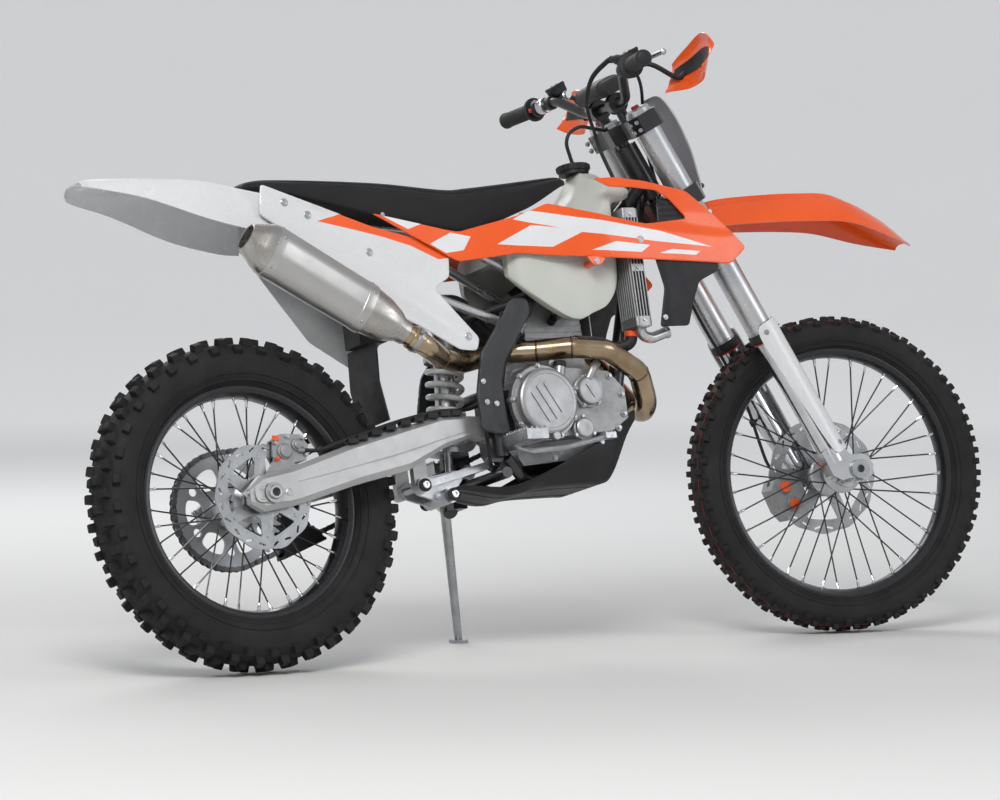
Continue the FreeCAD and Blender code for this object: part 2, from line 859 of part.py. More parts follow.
def triple_clamps():
    stem = rod(Vector(0, 0, size.low_clamp_base + size.clamp_height / 2),
               Vector(0, 0, size.top_clamp_base + size.clamp_height / 2), size.stem_radius)
    whole = clamp(size.low_clamp_base).fuse(stem).fuse(clamp(size.top_clamp_base))
    top = size.top_clamp_base + size.clamp_height
    for side in (-1, 1):
        foot = Vector(size.bar_centre_ahead, side * size.bar_post_spread, top - size.seat_gap)
        head = Vector(size.bar_centre_ahead, side * size.bar_post_spread, size.bar_centre_height)
        whole = whole.fuse(rod(foot, head, size.bar_post_radius))
        block_start = head - Vector(0, size.bar_post_radius, 0)
        block_end = head + Vector(0, size.bar_post_radius, 0)
        whole = whole.fuse(rod(block_start, block_end, size.bar_clamp_length / 2))
        whole = whole.cut(rod(block_start - Vector(0, size.cut_overrun, 0),
                              block_end + Vector(0, size.cut_overrun, 0), size.bar_radius + size.seat_gap))
    return whole


add_node("triple_clamps", solid_feature("triple_clamps", triple_clamps()), "fork")

# The bar's bends: share of its half width, share of its rise and share of its sweep
bar_bend_shares = [(0.26, 0.0, 0.0), (0.47, 0.86, 0.28), (1.0, 1.0, 1.0)]


def bar_point(out_share, side):
    """A point on the straight run out to the bar's end."""
    inner = bar_bend_shares[1]
    part = (out_share - inner[0]) / (1 - inner[0])
    rise_share = inner[1] + part * (1 - inner[1])
    sweep_share = inner[2] + part * (1 - inner[2])
    ahead = size.bar_centre_ahead + sweep_share * (size.bar_end_ahead - size.bar_centre_ahead)
    up = size.bar_centre_height + rise_share * (size.bar_end_height - size.bar_centre_height)
    return Vector(ahead, side * out_share * size.bar_half, up)


def bar_place(shares, side):
    out_share, rise_share, sweep_share = shares
    ahead = size.bar_centre_ahead + sweep_share * (size.bar_end_ahead - size.bar_centre_ahead)
    up = size.bar_centre_height + rise_share * (size.bar_end_height - size.bar_centre_height)
    return Vector(ahead, side * out_share * size.bar_half, up)


bar_points = [bar_place(shares, -1) for shares in bar_bend_shares[::-1]]
bar_points += [bar_place(shares, 1) for shares in bar_bend_shares]
add_node("handlebar", solid_feature("handlebar", tube(bar_points, size.bar_radius, size.bar_bend)), "fork")


def sleeve(start, end, radius):
    """A sleeve round the bar."""
    return rod(start, end, radius).cut(rod(start, end, size.bar_radius + size.seat_gap))


def grips():
    sleeves = []
    for side in (-1, 1):
        end = bar_point(1.0, side)
        inward = (bar_point(0.6, side) - end).normalize()
        root = end + inward * size.grip_length
        sleeve_shape = sleeve(end, root, size.grip_radius)
        flange = sleeve(root, root + inward * size.grip_flange_width, size.grip_flange_radius)
        sleeves.append(sleeve_shape.fuse(flange))
    return Part.makeCompound(sleeves)


add_node("grips", solid_feature("grips", grips()), "fork")

# The lever's route: share of the bar's half width, then how far ahead of and above the bar, in lever reaches
lever_route_shares = [(0.60, 0.5, -0.1), (0.64, 1.3, -0.15), (0.80, 1.25, -0.2), (0.93, 1.45, -0.25)]


def controls():
    """A perch and lever at each hand, the throttle housing and the front brake's pump at the right."""
    pieces = []
    reach = 2 * size.perch_radius
    for side in (-1, 1):
        start = bar_point(0.575, side)
        outward = (bar_point(1.0, side) - start).normalize()
        perch = sleeve(start, start + outward * size.perch_width, size.perch_radius)
        points = []
        for out_share, ahead_share, up_share in lever_route_shares:
            points.append(bar_point(out_share, side) + Vector(ahead_share * reach, 0, up_share * reach))
        lever = tube(points, size.lever_radius, size.lever_bend)
        arm_start = start + outward * (size.perch_width / 2) + Vector(size.perch_radius * 1.25, 0, 0)
        arm = rod(arm_start, points[0] + Vector(0, 0, 0), size.lever_radius * 1.6)
        pieces.append(perch.fuse(arm).fuse(lever))
    start = bar_point(0.63, -1)
    outward = (bar_point(1.0, -1) - start).normalize()
    housing = sleeve(start, start + outward * size.perch_width * 0.6, size.grip_flange_radius)
    pieces[0] = pieces[0].fuse(housing)
    return Part.makeCompound(pieces)


add_node("controls", solid_feature("controls", controls()), "fork")

pad_section_shares = [(0.10, 0.0), (0.0, 0.55), (0.16, 1.0), (0.74, 1.0), (1.0, 0.62), (0.92, 0.0)]


def bar_pad():
    """The foam pad over the bar's clamps, narrower at its ends."""
    sections = []
    base = size.bar_centre_height + size.bar_clamp_length / 2 + size.seat_gap
    for out_share, scale_share in ((-1.0, 0.72), (-0.5, 1.0), (0.5, 1.0), (1.0, 0.72)):
        points = []
        for across, up in pad_section_shares:
            ahead = size.bar_centre_ahead + (across - 0.45) * size.pad_length * scale_share
            points.append(Vector(ahead, out_share * size.pad_half, base + up * size.pad_height * 0.6 * scale_share))
        sections.append(points)
    return loft(sections)


add_node("bar_pad", solid_feature("bar_pad", bar_pad()), "fork")

# Hand guard sections from its inner end out: share of its width, its depth ahead, and its low and high edges
hand_guard_shares = [(0.0, 0.30, 0.10, 0.62), (0.35, 0.86, 0.0, 0.88), (0.75, 1.0, 0.08, 1.0), (1.0, 0.66, 0.30, 0.86)]


def hand_guards():
    shells = []
    base = size.bar_end_height - size.hand_guard_height * 0.92
    inner = size.bar_half - size.hand_guard_length * 0.92
    for side in (-1, 1):
        sections = []
        for out_share, ahead_share, low_share, high_share in hand_guard_shares:
            ahead = size.bar_end_ahead + 2 * size.hand_guard_depth + ahead_share * size.hand_guard_depth
            out = side * (inner + out_share * size.hand_guard_length)
            low = base + low_share * size.hand_guard_height
            high = base + high_share * size.hand_guard_height
            middle = (low + high) / 2
            belly = size.hand_guard_depth * 0.12
            outer = [Vector(ahead - belly, out, low), Vector(ahead, out, middle), Vector(ahead - belly, out, high)]
            back = [Vector(point.x - size.hand_guard_wall, out, point.z) for point in outer[::-1]]
            sections.append(outer + back)
        shell_shape = loft(sections)
        bracket_start = bar_point(0.51, side) + Vector(size.bar_radius + size.lever_radius * 0.6, 0, 0)
        guard_out = side * (inner + 0.25 * size.hand_guard_length)
        bracket_end = Vector(size.bar_end_ahead + 2.65 * size.hand_guard_depth, guard_out,
                             base + 0.45 * size.hand_guard_height)
        bracket = rod(bracket_start, bracket_end, size.lever_radius)
        shells.append(shell_shape.fuse(bracket))
    return Part.makeCompound(shells)


add_node("hand_guards", solid_feature("hand_guards", hand_guards()), "fork")

# The number plate from its foot up: share of its height, of its half width, and how far it leans ahead
plate_section_shares = [(0.0, 0.72, 0.0), (0.45, 1.0, 0.30), (0.85, 0.86, 0.80), (1.0, 0.42, 1.0)]


def front_plate():
    sections = []
    lean = size.plate_height * 0.12
    for up_share, out_share, lean_share in plate_section_shares:
        up = size.plate_base + up_share * size.plate_height
        ahead = size.plate_ahead + lean_share * lean
        half = out_share * size.plate_half
        bow = half * 0.16
        front = [Vector(ahead, -half, up), Vector(ahead + bow, -half / 2, up), Vector(ahead + bow, half / 2, up),
                 Vector(ahead, half, up)]
        back = [Vector(point.x - size.plate_wall, point.y, up) for point in front[::-1]]
        sections.append(front + back)
    plate = loft(sections)
    peg_up = size.low_clamp_base + size.clamp_height / 2
    clamp_front = clamp_outline_shares[-2][0] * size.clamp_length - size.clamp_length * 0.25
    peg_out = clamp_outline_shares[-2][1] * size.clamp_half
    for side in (-1, 1):
        start = Vector(clamp_front + size.seat_gap, side * peg_out, peg_up)
        plate = plate.fuse(rod(start, Vector(size.plate_ahead + size.plate_half * 0.1, side * peg_out, peg_up),
                               size.plate_peg_radius))
    lower = clamp(size.low_clamp_base)
    lower.translate(Vector(size.seat_gap, 0, 0))
    return plate.cut(lower)


add_node("front_plate", solid_feature("front_plate", front_plate()), "fork")


def guard_shell(spot, side):
    """A half shell round the front and outside of a fork leg."""
    inner = size.fork_outer_radius + size.fork_wiper_step + size.fork_guard_gap
    outer = inner + size.fork_guard_wall
    angle_shares = (-0.22, 0.0, 0.25, 0.5, 0.72)
    outer_points = []
    inner_points = []
    for angle_share in angle_shares:
        angle = angle_share * math.pi
        turn = Vector(math.cos(angle), side * math.sin(angle), 0)
        outer_points.append(spot + turn * outer + Vector(0, 0, size.fork_guard_low))
        inner_points.append(spot + turn * inner + Vector(0, 0, size.fork_guard_low))
    ring = outer_points + inner_points[::-1]
    shell = prism(ring, Vector(0, 0, size.fork_guard_high - size.fork_guard_low))
    seat = spot + Vector(0, side * (size.fork_lug_half + size.seat_gap), size.fork_guard_low + size.guard_boss_radius)
    reach = Vector(0, side * (inner + size.fork_guard_wall / 2 - size.fork_lug_half - size.seat_gap), 0)
    leg = rod(spot, spot + Vector(0, 0, size.fork_guard_high), size.fork_inner_radius + size.seat_gap)
    return shell.fuse(rod(seat, seat + reach, size.guard_boss_radius).cut(leg))


fork_guard_list = []
for side, spot in zip((-1, 1), fork_spots):
    fork_guard_list.append(guard_shell(spot, side))
add_node("fork_guards", solid_feature("fork_guards", Part.makeCompound(fork_guard_list)), "fork")

caliper_outline_shares = [(0.10, 0.0), (0.0, 0.30), (0.06, 0.82), (0.30, 1.0), (0.80, 0.96), (1.0, 0.62), (0.90, 0.12)]


def caliper(outline, disc_radius, line, half, centre):
    """A caliper block over the disc's edge, slotted for the disc with running room on every side."""
    face = [Vector(across, line - half, up) for across, up in outline]
    block = prism(face, Vector(0, 2 * half, 0))
    slot_half = size.disc_thickness / 2 + size.running_gap
    slot = rod(centre + Vector(0, line - slot_half, 0), centre + Vector(0, line + slot_half, 0),
               disc_radius + size.running_gap)
    return block.cut(slot)


def front_caliper():
    """The caliper behind the left leg, carried by a lug from it."""
    lug_rear = size.fork_ahead - size.fork_inner_radius - size.fork_wiper_step
    rear = lug_rear - size.seat_gap - size.front_caliper_length
    base = -size.front_caliper_height * 0.42
    outline = span_points(caliper_outline_shares, rear, size.front_caliper_length, base, size.front_caliper_height)
    block = caliper(outline, size.front_disc_radius, size.front_disc_line, 2 * size.caliper_half, AXLE_SPOT)
    return block


add_node("front_caliper", solid_feature("front_caliper", front_caliper()), "fork")

# Front fender, drawn level and forward from over the axis foot: share along, top height, half width, edge drop
front_fender_shares = [
    (0.00, 0.34, 0.58, 0.24),
    (0.10, 0.52, 0.64, 0.28),
    (0.18, 0.60, 0.66, 0.30),
    (0.32, 0.63, 0.80, 0.32),
    (0.54, 0.64, 0.92, 0.34),
    (0.70, 0.60, 0.98, 0.34),
    (0.86, 0.36, 0.80, 0.24),
    (1.00, 0.06, 0.40, 0.06),
]


def arch_section(along, top, half, drop, wall):
    """A fender's section across the bike: a shallow arch with turned down edges, of even wall."""
    outer = [
        Vector(along, -half, top - drop),
        Vector(along, -half * 0.86, top - drop * 0.30),
        Vector(along, -half * 0.40, top),
        Vector(along, half * 0.40, top),
        Vector(along, half * 0.86, top - drop * 0.30),
        Vector(along, half, top - drop),
    ]
    inner = [
        Vector(along, half - wall, top - drop),
        Vector(along, half * 0.86 - wall, top - drop * 0.30 - wall),
        Vector(along, half * 0.40, top - wall),
        Vector(along, -half * 0.40, top - wall),
        Vector(along, -half * 0.86 + wall, top - drop * 0.30 - wall),
        Vector(along, -half + wall, top - drop),
    ]
    return outer + inner


def fender(shares, rear, length, bottom, height, half, wall):
    sections = []
    for along_share, top_share, half_share, drop_share in shares:
        sections.append(arch_section(rear + along_share * length, bottom + top_share * height,
                                     half * half_share, height * drop_share, wall))
    return loft(sections)



def front_fender():
    """The front fender, hung from the lower clamp on two bosses."""
    whole = fender(front_fender_shares, size.front_fender_rear, size.front_fender_length, size.front_fender_bottom,
                   size.front_fender_height, size.front_fender_half, size.fender_wall)
    ahead_way = Vector(AXIS_UP.z, 0, -AXIS_UP.x)
    for side in (-1, 1):
        top = AXIS_UP * (size.low_clamp_base - size.seat_gap) + ahead_way * size.fender_boss_ahead
        top = top + Vector(0, side * size.fender_boss_out, 0)
        whole = whole.fuse(rod(top, top - AXIS_UP * size.fender_boss_length, size.fender_boss_radius))
    return whole


add_node("front_fender", solid_feature("front_fender", front_fender()), "level")

# Frame, on the upright bike

down_tube_top = on_axis(size.down_tube_top)
frame_top = AXIS_FOOT.z + size.head_tube_high * AXIS_UP.z
frame_front = on_axis(size.head_tube_low + size.down_tube_radius).x
frame_rear = size.pivot_ahead - size.spar_radius / 2

# The right spar from the head tube back and down: shares back, down and out
spar_shares = [
    (0.04, 0.13, 0.15), (0.36, 0.345, 0.66), (0.74, 0.54, 0.735), (0.95, 0.76, 0.94), (1.0, 0.885, 1.0),
    (1.0, 1.07, 1.0),
]
# The right cradle tube from the down tube's foot back under the engine
cradle_shares = [(0.32, 0.885, 0.10), (0.405, 1.03, 0.55), (0.516, 1.137, 0.60), (0.87, 1.145, 0.66), (0.985, 1.07, 1.0)]


def frame_point(back_share, down_share, out_share):
    along = frame_front - back_share * (frame_front - frame_rear)
    up = frame_top - down_share * size.frame_drop
    return Vector(along, -out_share * size.frame_half, up)


# Where the shock's top meets the frame: shares back and down
SHOCK_TOP = frame_point(1.08, 0.632, 0)


def spar_spot(row, share):
    """A point along one of the right spar's straight runs."""
    start = frame_point(*spar_shares[row])
    return start + (frame_point(*spar_shares[row + 1]) - start) * share


ear_share = 0.84
STAND_PIVOT = Vector(size.stand_pivot_ahead, size.stand_pivot_out, size.stand_pivot_height)
STAND_TURN_AXIS = Vector(0.156, 0.862, 0.483).normalize()


def stand_bracket():
    """The left bracket under the pivot plate, its neck square to the stand's slanted pin, and the pin."""
    bottom = size.stand_pivot_height - size.stand_boss_radius
    block = Part.makeBox(2 * size.stand_boss_radius, size.stand_pivot_out - size.stand_block_inner,
                         size.stand_block_height,
                         Vector(size.stand_pivot_ahead - size.stand_boss_radius, size.stand_block_inner, bottom))
    seat = STAND_PIVOT - STAND_TURN_AXIS * (size.stand_boss_width / 2 + size.seat_gap)
    shoulder = seat - STAND_TURN_AXIS * size.stand_neck_length
    block = block.cut(rod(shoulder, shoulder + STAND_TURN_AXIS * size.stand_pivot_out, size.stand_pivot_out))
    neck = rod(seat, shoulder - STAND_TURN_AXIS * size.stand_neck_length, size.stand_boss_radius)
    head = STAND_PIVOT + STAND_TURN_AXIS * (size.stand_boss_width / 2 + size.seat_gap)
    pin = rod(shoulder, head + STAND_TURN_AXIS * size.stand_pin_head, size.stand_pin_radius)
    cap = rod(head, head + STAND_TURN_AXIS * size.stand_pin_head, size.stand_boss_radius * ear_share)
    return fused([block, neck, pin, cap])


def main_frame():
    head = rod(on_axis(size.head_tube_low), on_axis(size.head_tube_high), size.head_tube_radius)
    spar = tube([frame_point(*row) for row in spar_shares], size.spar_radius, size.frame_bend)
    cradle = tube([frame_point(*row) for row in cradle_shares], size.cradle_radius, size.frame_bend)
    down_foot = Vector(frame_point(*cradle_shares[0]).x, 0, frame_point(*cradle_shares[0]).z)
    down = rod(down_tube_top, down_foot, size.down_tube_radius)
    plate_low = size.pivot_height - size.pivot_plate_height / 2
    plate_rear = size.pivot_ahead - size.pivot_plate_length / 2
    plate = Part.makeBox(size.pivot_plate_length, size.pivot_plate_width, size.pivot_plate_height,
                         Vector(plate_rear, -size.pivot_plate_inner - size.pivot_plate_width, plate_low))
    cross_low_height = size.link_front_height - size.link_eye_radius - size.cradle_radius - size.seat_gap
    cross_top = rod(Vector(size.pivot_ahead, -size.frame_half, size.pivot_height + size.pivot_plate_height / 2),
                    Vector(size.pivot_ahead, size.frame_half, size.pivot_height + size.pivot_plate_height / 2),
                    size.cradle_radius)
    cross_low = rod(Vector(size.pivot_ahead, -size.frame_half, cross_low_height),
                    Vector(size.pivot_ahead, size.frame_half, cross_low_height),
                    size.cradle_radius)
    pieces = [head, down, cross_top, cross_low]
    for shape in (spar, cradle, plate):
        pieces += [shape, mirrored(shape)]
    pieces.append(stand_bracket())
    tab_spot = spar_spot(0, (frame_point(*spar_shares[0]).x - size.radiator_rear - size.radiator_depth / 2)
                         / (frame_point(*spar_shares[0]).x - frame_point(*spar_shares[1]).x))
    tab_reach = size.radiator_inner - size.seat_gap
    tab = Part.makeBox(size.radiator_tab, tab_reach + tab_spot.y, size.radiator_tab,
                       Vector(tab_spot.x - size.radiator_tab / 2, -tab_reach, tab_spot.z - size.radiator_tab / 2))
    ear_spot = SHOCK_TOP + Vector(0, 0, size.shock_eye_radius)
    ear_in = Vector(0, -size.shock_eye_half - size.seat_gap, 0)
    ear_out = ear_in - Vector(0, size.link_width, 0)
    ear = rod(ear_spot + ear_in, ear_spot + ear_out, size.shock_eye_radius * ear_share)
    beam = rod(ear_spot + ear_out, spar_spot(1, 1.0), size.shock_beam_radius)
    for shape in (tab, ear, beam):
        pieces += [shape, mirrored(shape)]
    whole = pieces[0].multiFuse(pieces[1:])
    bore_low = on_axis(size.head_tube_low - size.cut_overrun)
    bore_high = on_axis(size.head_tube_high + size.cut_overrun)
    whole = whole.cut(rod(bore_low, bore_high, size.stem_radius + size.pin_fit))
    pin_out = Vector(0, size.frame_half + size.cut_overrun + size.spar_radius, 0)
    pin_centre = Vector(size.pivot_ahead, 0, size.pivot_height)
    return whole.cut(rod(pin_centre - pin_out, pin_centre + pin_out, size.pivot_pin_radius + size.pin_fit))


add_node("frame", solid_feature("frame", main_frame()), "chassis")

# Subframe tubes from the spar back to under the rear fender, and the stay below: shares along from the rear and up
rail_shares = [(0.74, 0.79, 1.03), (0.38, 0.86, 1.0), (0.06, 0.96, 0.86)]
stay_shares = [(0.46, 0.50, 1.06), (0.22, 0.88, 0.94)]
seat_rest_share = 0.02


def subframe_point(along_share, up_share, out_share):
    return Vector(size.subframe_rear + along_share * size.subframe_length,
                  -out_share * size.subframe_half, size.subframe_bottom + up_share * size.subframe_height)


def rail_spot(ahead):
    """The middle of the right rail at a place along the bike, on its straight run to the rear."""
    front = subframe_point(*rail_shares[-2])
    rear = subframe_point(*rail_shares[-1])
    return front + (rear - front) * ((front.x - ahead) / (front.x - rear.x))


def subframe():
    clamps = []
    runs = []
    for row, shares, low, high in ((1, rail_shares, 0.78, 0.92), (2, stay_shares, 0.40, 0.54)):
        start, end = spar_spot(row, low), spar_spot(row, high)
        clamps.append(rod(start, end, size.spar_radius + size.subframe_clamp_wall))
        runs.append(tube([(start + end) / 2] + [subframe_point(*place) for place in shares],
                         size.subframe_radius, size.subframe_bend))
    side = fused(runs + clamps)
    for row in (1, 2):
        start, end = spar_spot(row, 0.35), spar_spot(row, 1.0)
        side = side.cut(rod(start, end, size.spar_radius + size.seat_gap))
    rear_end = subframe_point(*rail_shares[-1])
    rear_bar = rod(rear_end, Vector(rear_end.x, -rear_end.y, rear_end.z), size.subframe_radius)
    rest = subframe_point(*rail_shares[0])
    rest_top = size.seat_bottom + seat_rest_share * size.seat_height - size.seat_gap
    rest_bar = Part.makeBox(2 * size.subframe_radius, -2 * rest.y, size.subframe_radius,
                            Vector(rest.x + size.subframe_radius * 0.4, rest.y, rest_top - size.subframe_radius))
    return fused([side, mirrored(side), rear_bar, rest_bar])


add_node("subframe", solid_feature("subframe", subframe()), "chassis")

# Engine

case_core_shares = [
    (0.00, 0.20), (0.00, 0.78), (0.12, 0.94), (0.30, 0.97), (0.86, 0.90), (0.98, 0.62),
    (0.96, 0.30), (0.84, 0.06), (0.10, 0.00),
]
case_right_shares = [
    (0.00, 0.26), (0.00, 0.78), (0.14, 0.92), (0.86, 0.84), (1.00, 0.66), (1.00, 0.38), (0.84, 0.26), (0.12, 0.20),
]
case_left_shares = [(0.34, 0.30), (0.34, 0.80), (0.46, 0.84), (0.86, 0.78), (0.96, 0.62), (0.96, 0.42), (0.84, 0.30)]


def case_pad(name, shares, out, width):
    sketch = sketch_on(engine_case, name + "_outline", "XZ_Plane", "-(%s)" % out)
    draw_outline(sketch, shares_to_points(shares, "Sizes.case_rear", "Sizes.case_length",
                                          "Sizes.case_bottom", "Sizes.case_height"))
    pad(engine_case, name, sketch, width)
    doc.recompute()


engine_case = new_body("engine_case")
case_pad("case_core", case_core_shares, "Sizes.case_left", "2 * Sizes.case_left")
case_pad("case_right_side", case_right_shares, "-Sizes.case_left + Sizes.case_joint",
         "Sizes.case_right - Sizes.case_left + Sizes.case_joint")
case_pad("case_left_side", case_left_shares, "Sizes.case_step_left",
         "Sizes.case_step_left - Sizes.case_left + Sizes.case_joint")
add_node("engine_case", engine_case, "chassis")

cylinder_outline_shares = [
    (0.00, 0.18), (0.02, 0.62), (0.08, 0.66), (0.06, 0.98), (0.14, 1.06), (0.90, 0.98), (0.96, 0.62), (0.98, 0.20),
    (0.94, -0.10), (0.0, -0.02),
]


def cylinder_head():
    """The cylinder, its head and the cam cover, stepped out at each joint."""
    bottom = size.case_bottom + size.case_height
    outline = span_points(cylinder_outline_shares, size.cylinder_rear, size.cylinder_length,
                          bottom, size.cylinder_height)
    face = [Vector(across, -size.cylinder_half, up) for across, up in outline]
    block = prism(face, Vector(0, 2 * size.cylinder_half, 0))
    return block


add_node("cylinder_head", solid_feature("cylinder_head", cylinder_head()), "chassis")


def round_cover(ahead, height, radius, seat, out, lip):
    """A round cover on a side of the engine, with a raised face inside its bolted rim."""
    side = 1 if out > seat else -1
    base = Vector(ahead, seat, height)
    rim = Vector(ahead, out - side * lip, height)
    face = Vector(ahead, out, height)
    return rod(base, rim, radius).fuse(taper(rim, face, radius - lip / 2, radius - lip * 1.5))


def engine_covers():
    seat = -size.case_right - size.seat_gap
    out = seat - size.cover_width
    clutch = round_cover(size.clutch_cover_ahead, size.clutch_cover_height, size.clutch_cover_radius, seat, out,
                         size.clutch_lip)
    pump_reach = size.clutch_cover_ahead + size.clutch_cover_radius + size.pump_radius + size.seat_gap
    pump = round_cover(max(size.pump_ahead, pump_reach), size.pump_height, size.pump_radius, seat,
                       seat - size.cover_width * 0.6, size.clutch_lip / 2)
    left_seat = size.case_step_left + size.seat_gap
    ignition = round_cover(size.ignition_cover_ahead, size.ignition_cover_height, size.ignition_cover_radius,
                           left_seat, left_seat + size.cover_width * 0.7, size.clutch_lip)
    return Part.makeCompound([clutch, pump, ignition])


add_node("engine_covers", solid_feature("engine_covers", engine_covers()), "chassis")

# The exhaust header's route from the port round the front and back inside the right spar
header_route = [
    (837.3, 18, 655), (872, 18, 655), (922, 48, 622), (974, 43, 555), (984, -20, 494), (964, -74, 510),
    (930, -108, 572), (823, -150, 614), (750, -140, 622), (690, -88, 626), (612, -46, 632), (564, -56, 620),
    (515, -74, 608), (440, -112, 612),
]

# Silencer stations along its axis: share of the sleeve's length and share of the section
silencer_station_shares = [(0.0, 0.46), (0.06, 0.62), (0.20, 0.84), (0.34, 0.93), (1.0, 1.0)]
end_cap_shares = [(0.0, 0.98), (0.20, 0.96), (0.80, 0.60), (1.0, 0.52)]
SILENCER_SIDES = 14


def silencer_frame():
    start = Vector(size.silencer_rear_ahead + size.silencer_length * 0.85, -size.silencer_offset,
                   size.silencer_front_height)
    end = Vector(size.silencer_rear_ahead, -size.silencer_offset, size.silencer_rear_height)
    back = (end - start).normalize()
    return end - back * size.silencer_length, back


def oval_section(centre, back, scale_share):
    up = Vector(-back.z, 0, back.x) * -1
    points = []
    for number in range(SILENCER_SIDES):
        angle = 2 * math.pi * number / SILENCER_SIDES
        points.append(centre + up * (math.cos(angle) * size.silencer_half_height * scale_share)
                      + Vector(0, math.sin(angle) * size.silencer_half_width * scale_share, 0))
    return points


def silencer():
    start, back = silencer_frame()
    body_sections = [oval_section(start + back * (share * size.silencer_length), back, scale_share)
                     for share, scale_share in silencer_station_shares]
    body_shape = loft(body_sections)
    cap_start = start + back * (size.silencer_length)
    cap_sections = [oval_section(cap_start + back * (share * size.end_cap_length), back, scale_share)
                    for share, scale_share in end_cap_shares]
    cap_shape = loft(cap_sections)
    outlet_end = cap_start + back * (size.end_cap_length + size.cut_overrun)
    outlet_floor = cap_start + back * (size.end_cap_length * 0.3)
    cap_shape = cap_shape.cut(rod(outlet_end, outlet_floor, size.outlet_radius * 0.8))
    return body_shape.fuse(cap_shape)


add_node("silencer", solid_feature("silencer", silencer()), "chassis")


def exhaust_header():
    """The header, its last run in line with the silencer and seated in its front cone."""
    start, back = silencer_frame()
    end = start - back * size.seat_gap
    points = [Vector(*place) for place in header_route] + [end - back * size.silencer_joint, end]
    return tube(points, size.header_radius, size.header_bend)


add_node("exhaust_header", solid_feature("exhaust_header", exhaust_header()), "chassis")

# Tank stations from the rear: share along, top, half width at the shoulder and flank, shoulder height and low edge,
# and the height of the tunnel over the frame
tank_station_shares = [
    (0.00, 0.60, 0.34, 0.80, 0.46, 0.30, 0.42),
    (0.11, 0.62, 0.40, 0.98, 0.50, 0.18, 0.43),
    (0.40, 0.68, 0.46, 1.00, 0.52, 0.02, 0.46),
    (0.70, 0.84, 0.44, 1.00, 0.62, 0.12, 0.57),
    (0.79, 1.00, 0.34, 0.98, 0.76, 0.30, 0.62),
    (0.81, 1.00, 0.34, 0.95, 0.80, 0.73, 0.70),
    (0.93, 0.98, 0.36, 0.90, 0.82, 0.76, 0.745),
    (1.00, 0.90, 0.36, 0.80, 0.83, 0.79, 0.78),
]


def fuel_tank():
    """A saddle of a tank: a ridge on top and a lobe down each side of the frame."""
    sections = []
    for along, top, shoulder, flank, shoulder_up, low, tunnel in tank_station_shares:
        place = size.tank_rear + along * size.tank_length
        half = size.tank_half
        top_up = size.tank_bottom + top * size.tank_height
        shoulder_z = size.tank_bottom + shoulder_up * size.tank_height
        low_z = size.tank_bottom + low * size.tank_height
        tunnel_z = size.tank_bottom + tunnel * size.tank_height
        lobe_in = min(size.tank_lobe_inner, flank * half * 0.84)
        right = [
            Vector(place, -half * shoulder * 0.6, top_up),
            Vector(place, -half * shoulder, top_up - 0.06 * size.tank_height),
            Vector(place, -half * flank, shoulder_z),
            Vector(place, -half * flank * 0.98, low_z),
            Vector(place, -lobe_in, low_z),
            Vector(place, -lobe_in * 0.96, tunnel_z),
        ]
        left = [Vector(point.x, -point.y, point.z) for point in right[::-1]]
        sections.append(right + left)
    return loft(sections)


add_node("fuel_tank", solid_feature("fuel_tank", fuel_tank()), "chassis")


def fuel_cap():
    share = (size.cap_ahead - size.tank_rear) / size.tank_length
    top = size.tank_bottom + size.tank_height * 1.0 + size.seat_gap
    base = Vector(size.cap_ahead, 0, top)
    neck = rod(base, base + Vector(0, 0, size.cap_height * 0.4), size.cap_radius * 0.9)
    return neck.fuse(rod(base + Vector(0, 0, size.cap_height * 0.4), base + Vector(0, 0, size.cap_height),
                         size.cap_radius))


add_node("fuel_cap", solid_feature("fuel_cap", fuel_cap()), "chassis")

# Seat stations from the rear: share along, low edge, top, half width low and half width at the top's edge
seat_station_shares = [
    (0.00, 0.72, 0.80, 0.46, 0.36),
    (0.06, 0.66, 0.86, 0.80, 0.62),
    (0.36, 0.24, 0.80, 1.00, 0.80),
    (0.58, 0.02, 0.70, 1.00, 0.76),
    (0.62, 0.02, 0.72, 0.97, 0.74),
    (0.76, 0.24, 0.80, 0.80, 0.60),
    (0.86, 0.44, 0.88, 0.64, 0.44),
    (0.97, 0.76, 0.96, 0.44, 0.30),
    (1.00, 0.83, 0.94, 0.30, 0.20),
]


def seat():
    sections = []
    for along, low, top, low_half, top_half in seat_station_shares:
        place = size.seat_rear + along * size.seat_length
        low_z = size.seat_bottom + low * size.seat_height
        top_z = size.seat_bottom + top * size.seat_height
        side_z = low_z + 0.72 * (top_z - low_z)
        right = [
            Vector(place, -size.seat_half * top_half, top_z),
            Vector(place, -size.seat_half * low_half * 0.94, side_z),
            Vector(place, -size.seat_half * low_half, low_z),
        ]
        left = [Vector(point.x, -point.y, point.z) for point in right[::-1]]
        sections.append(right + left)
    return loft(sections)


add_node("seat", solid_feature("seat", seat()), "chassis")

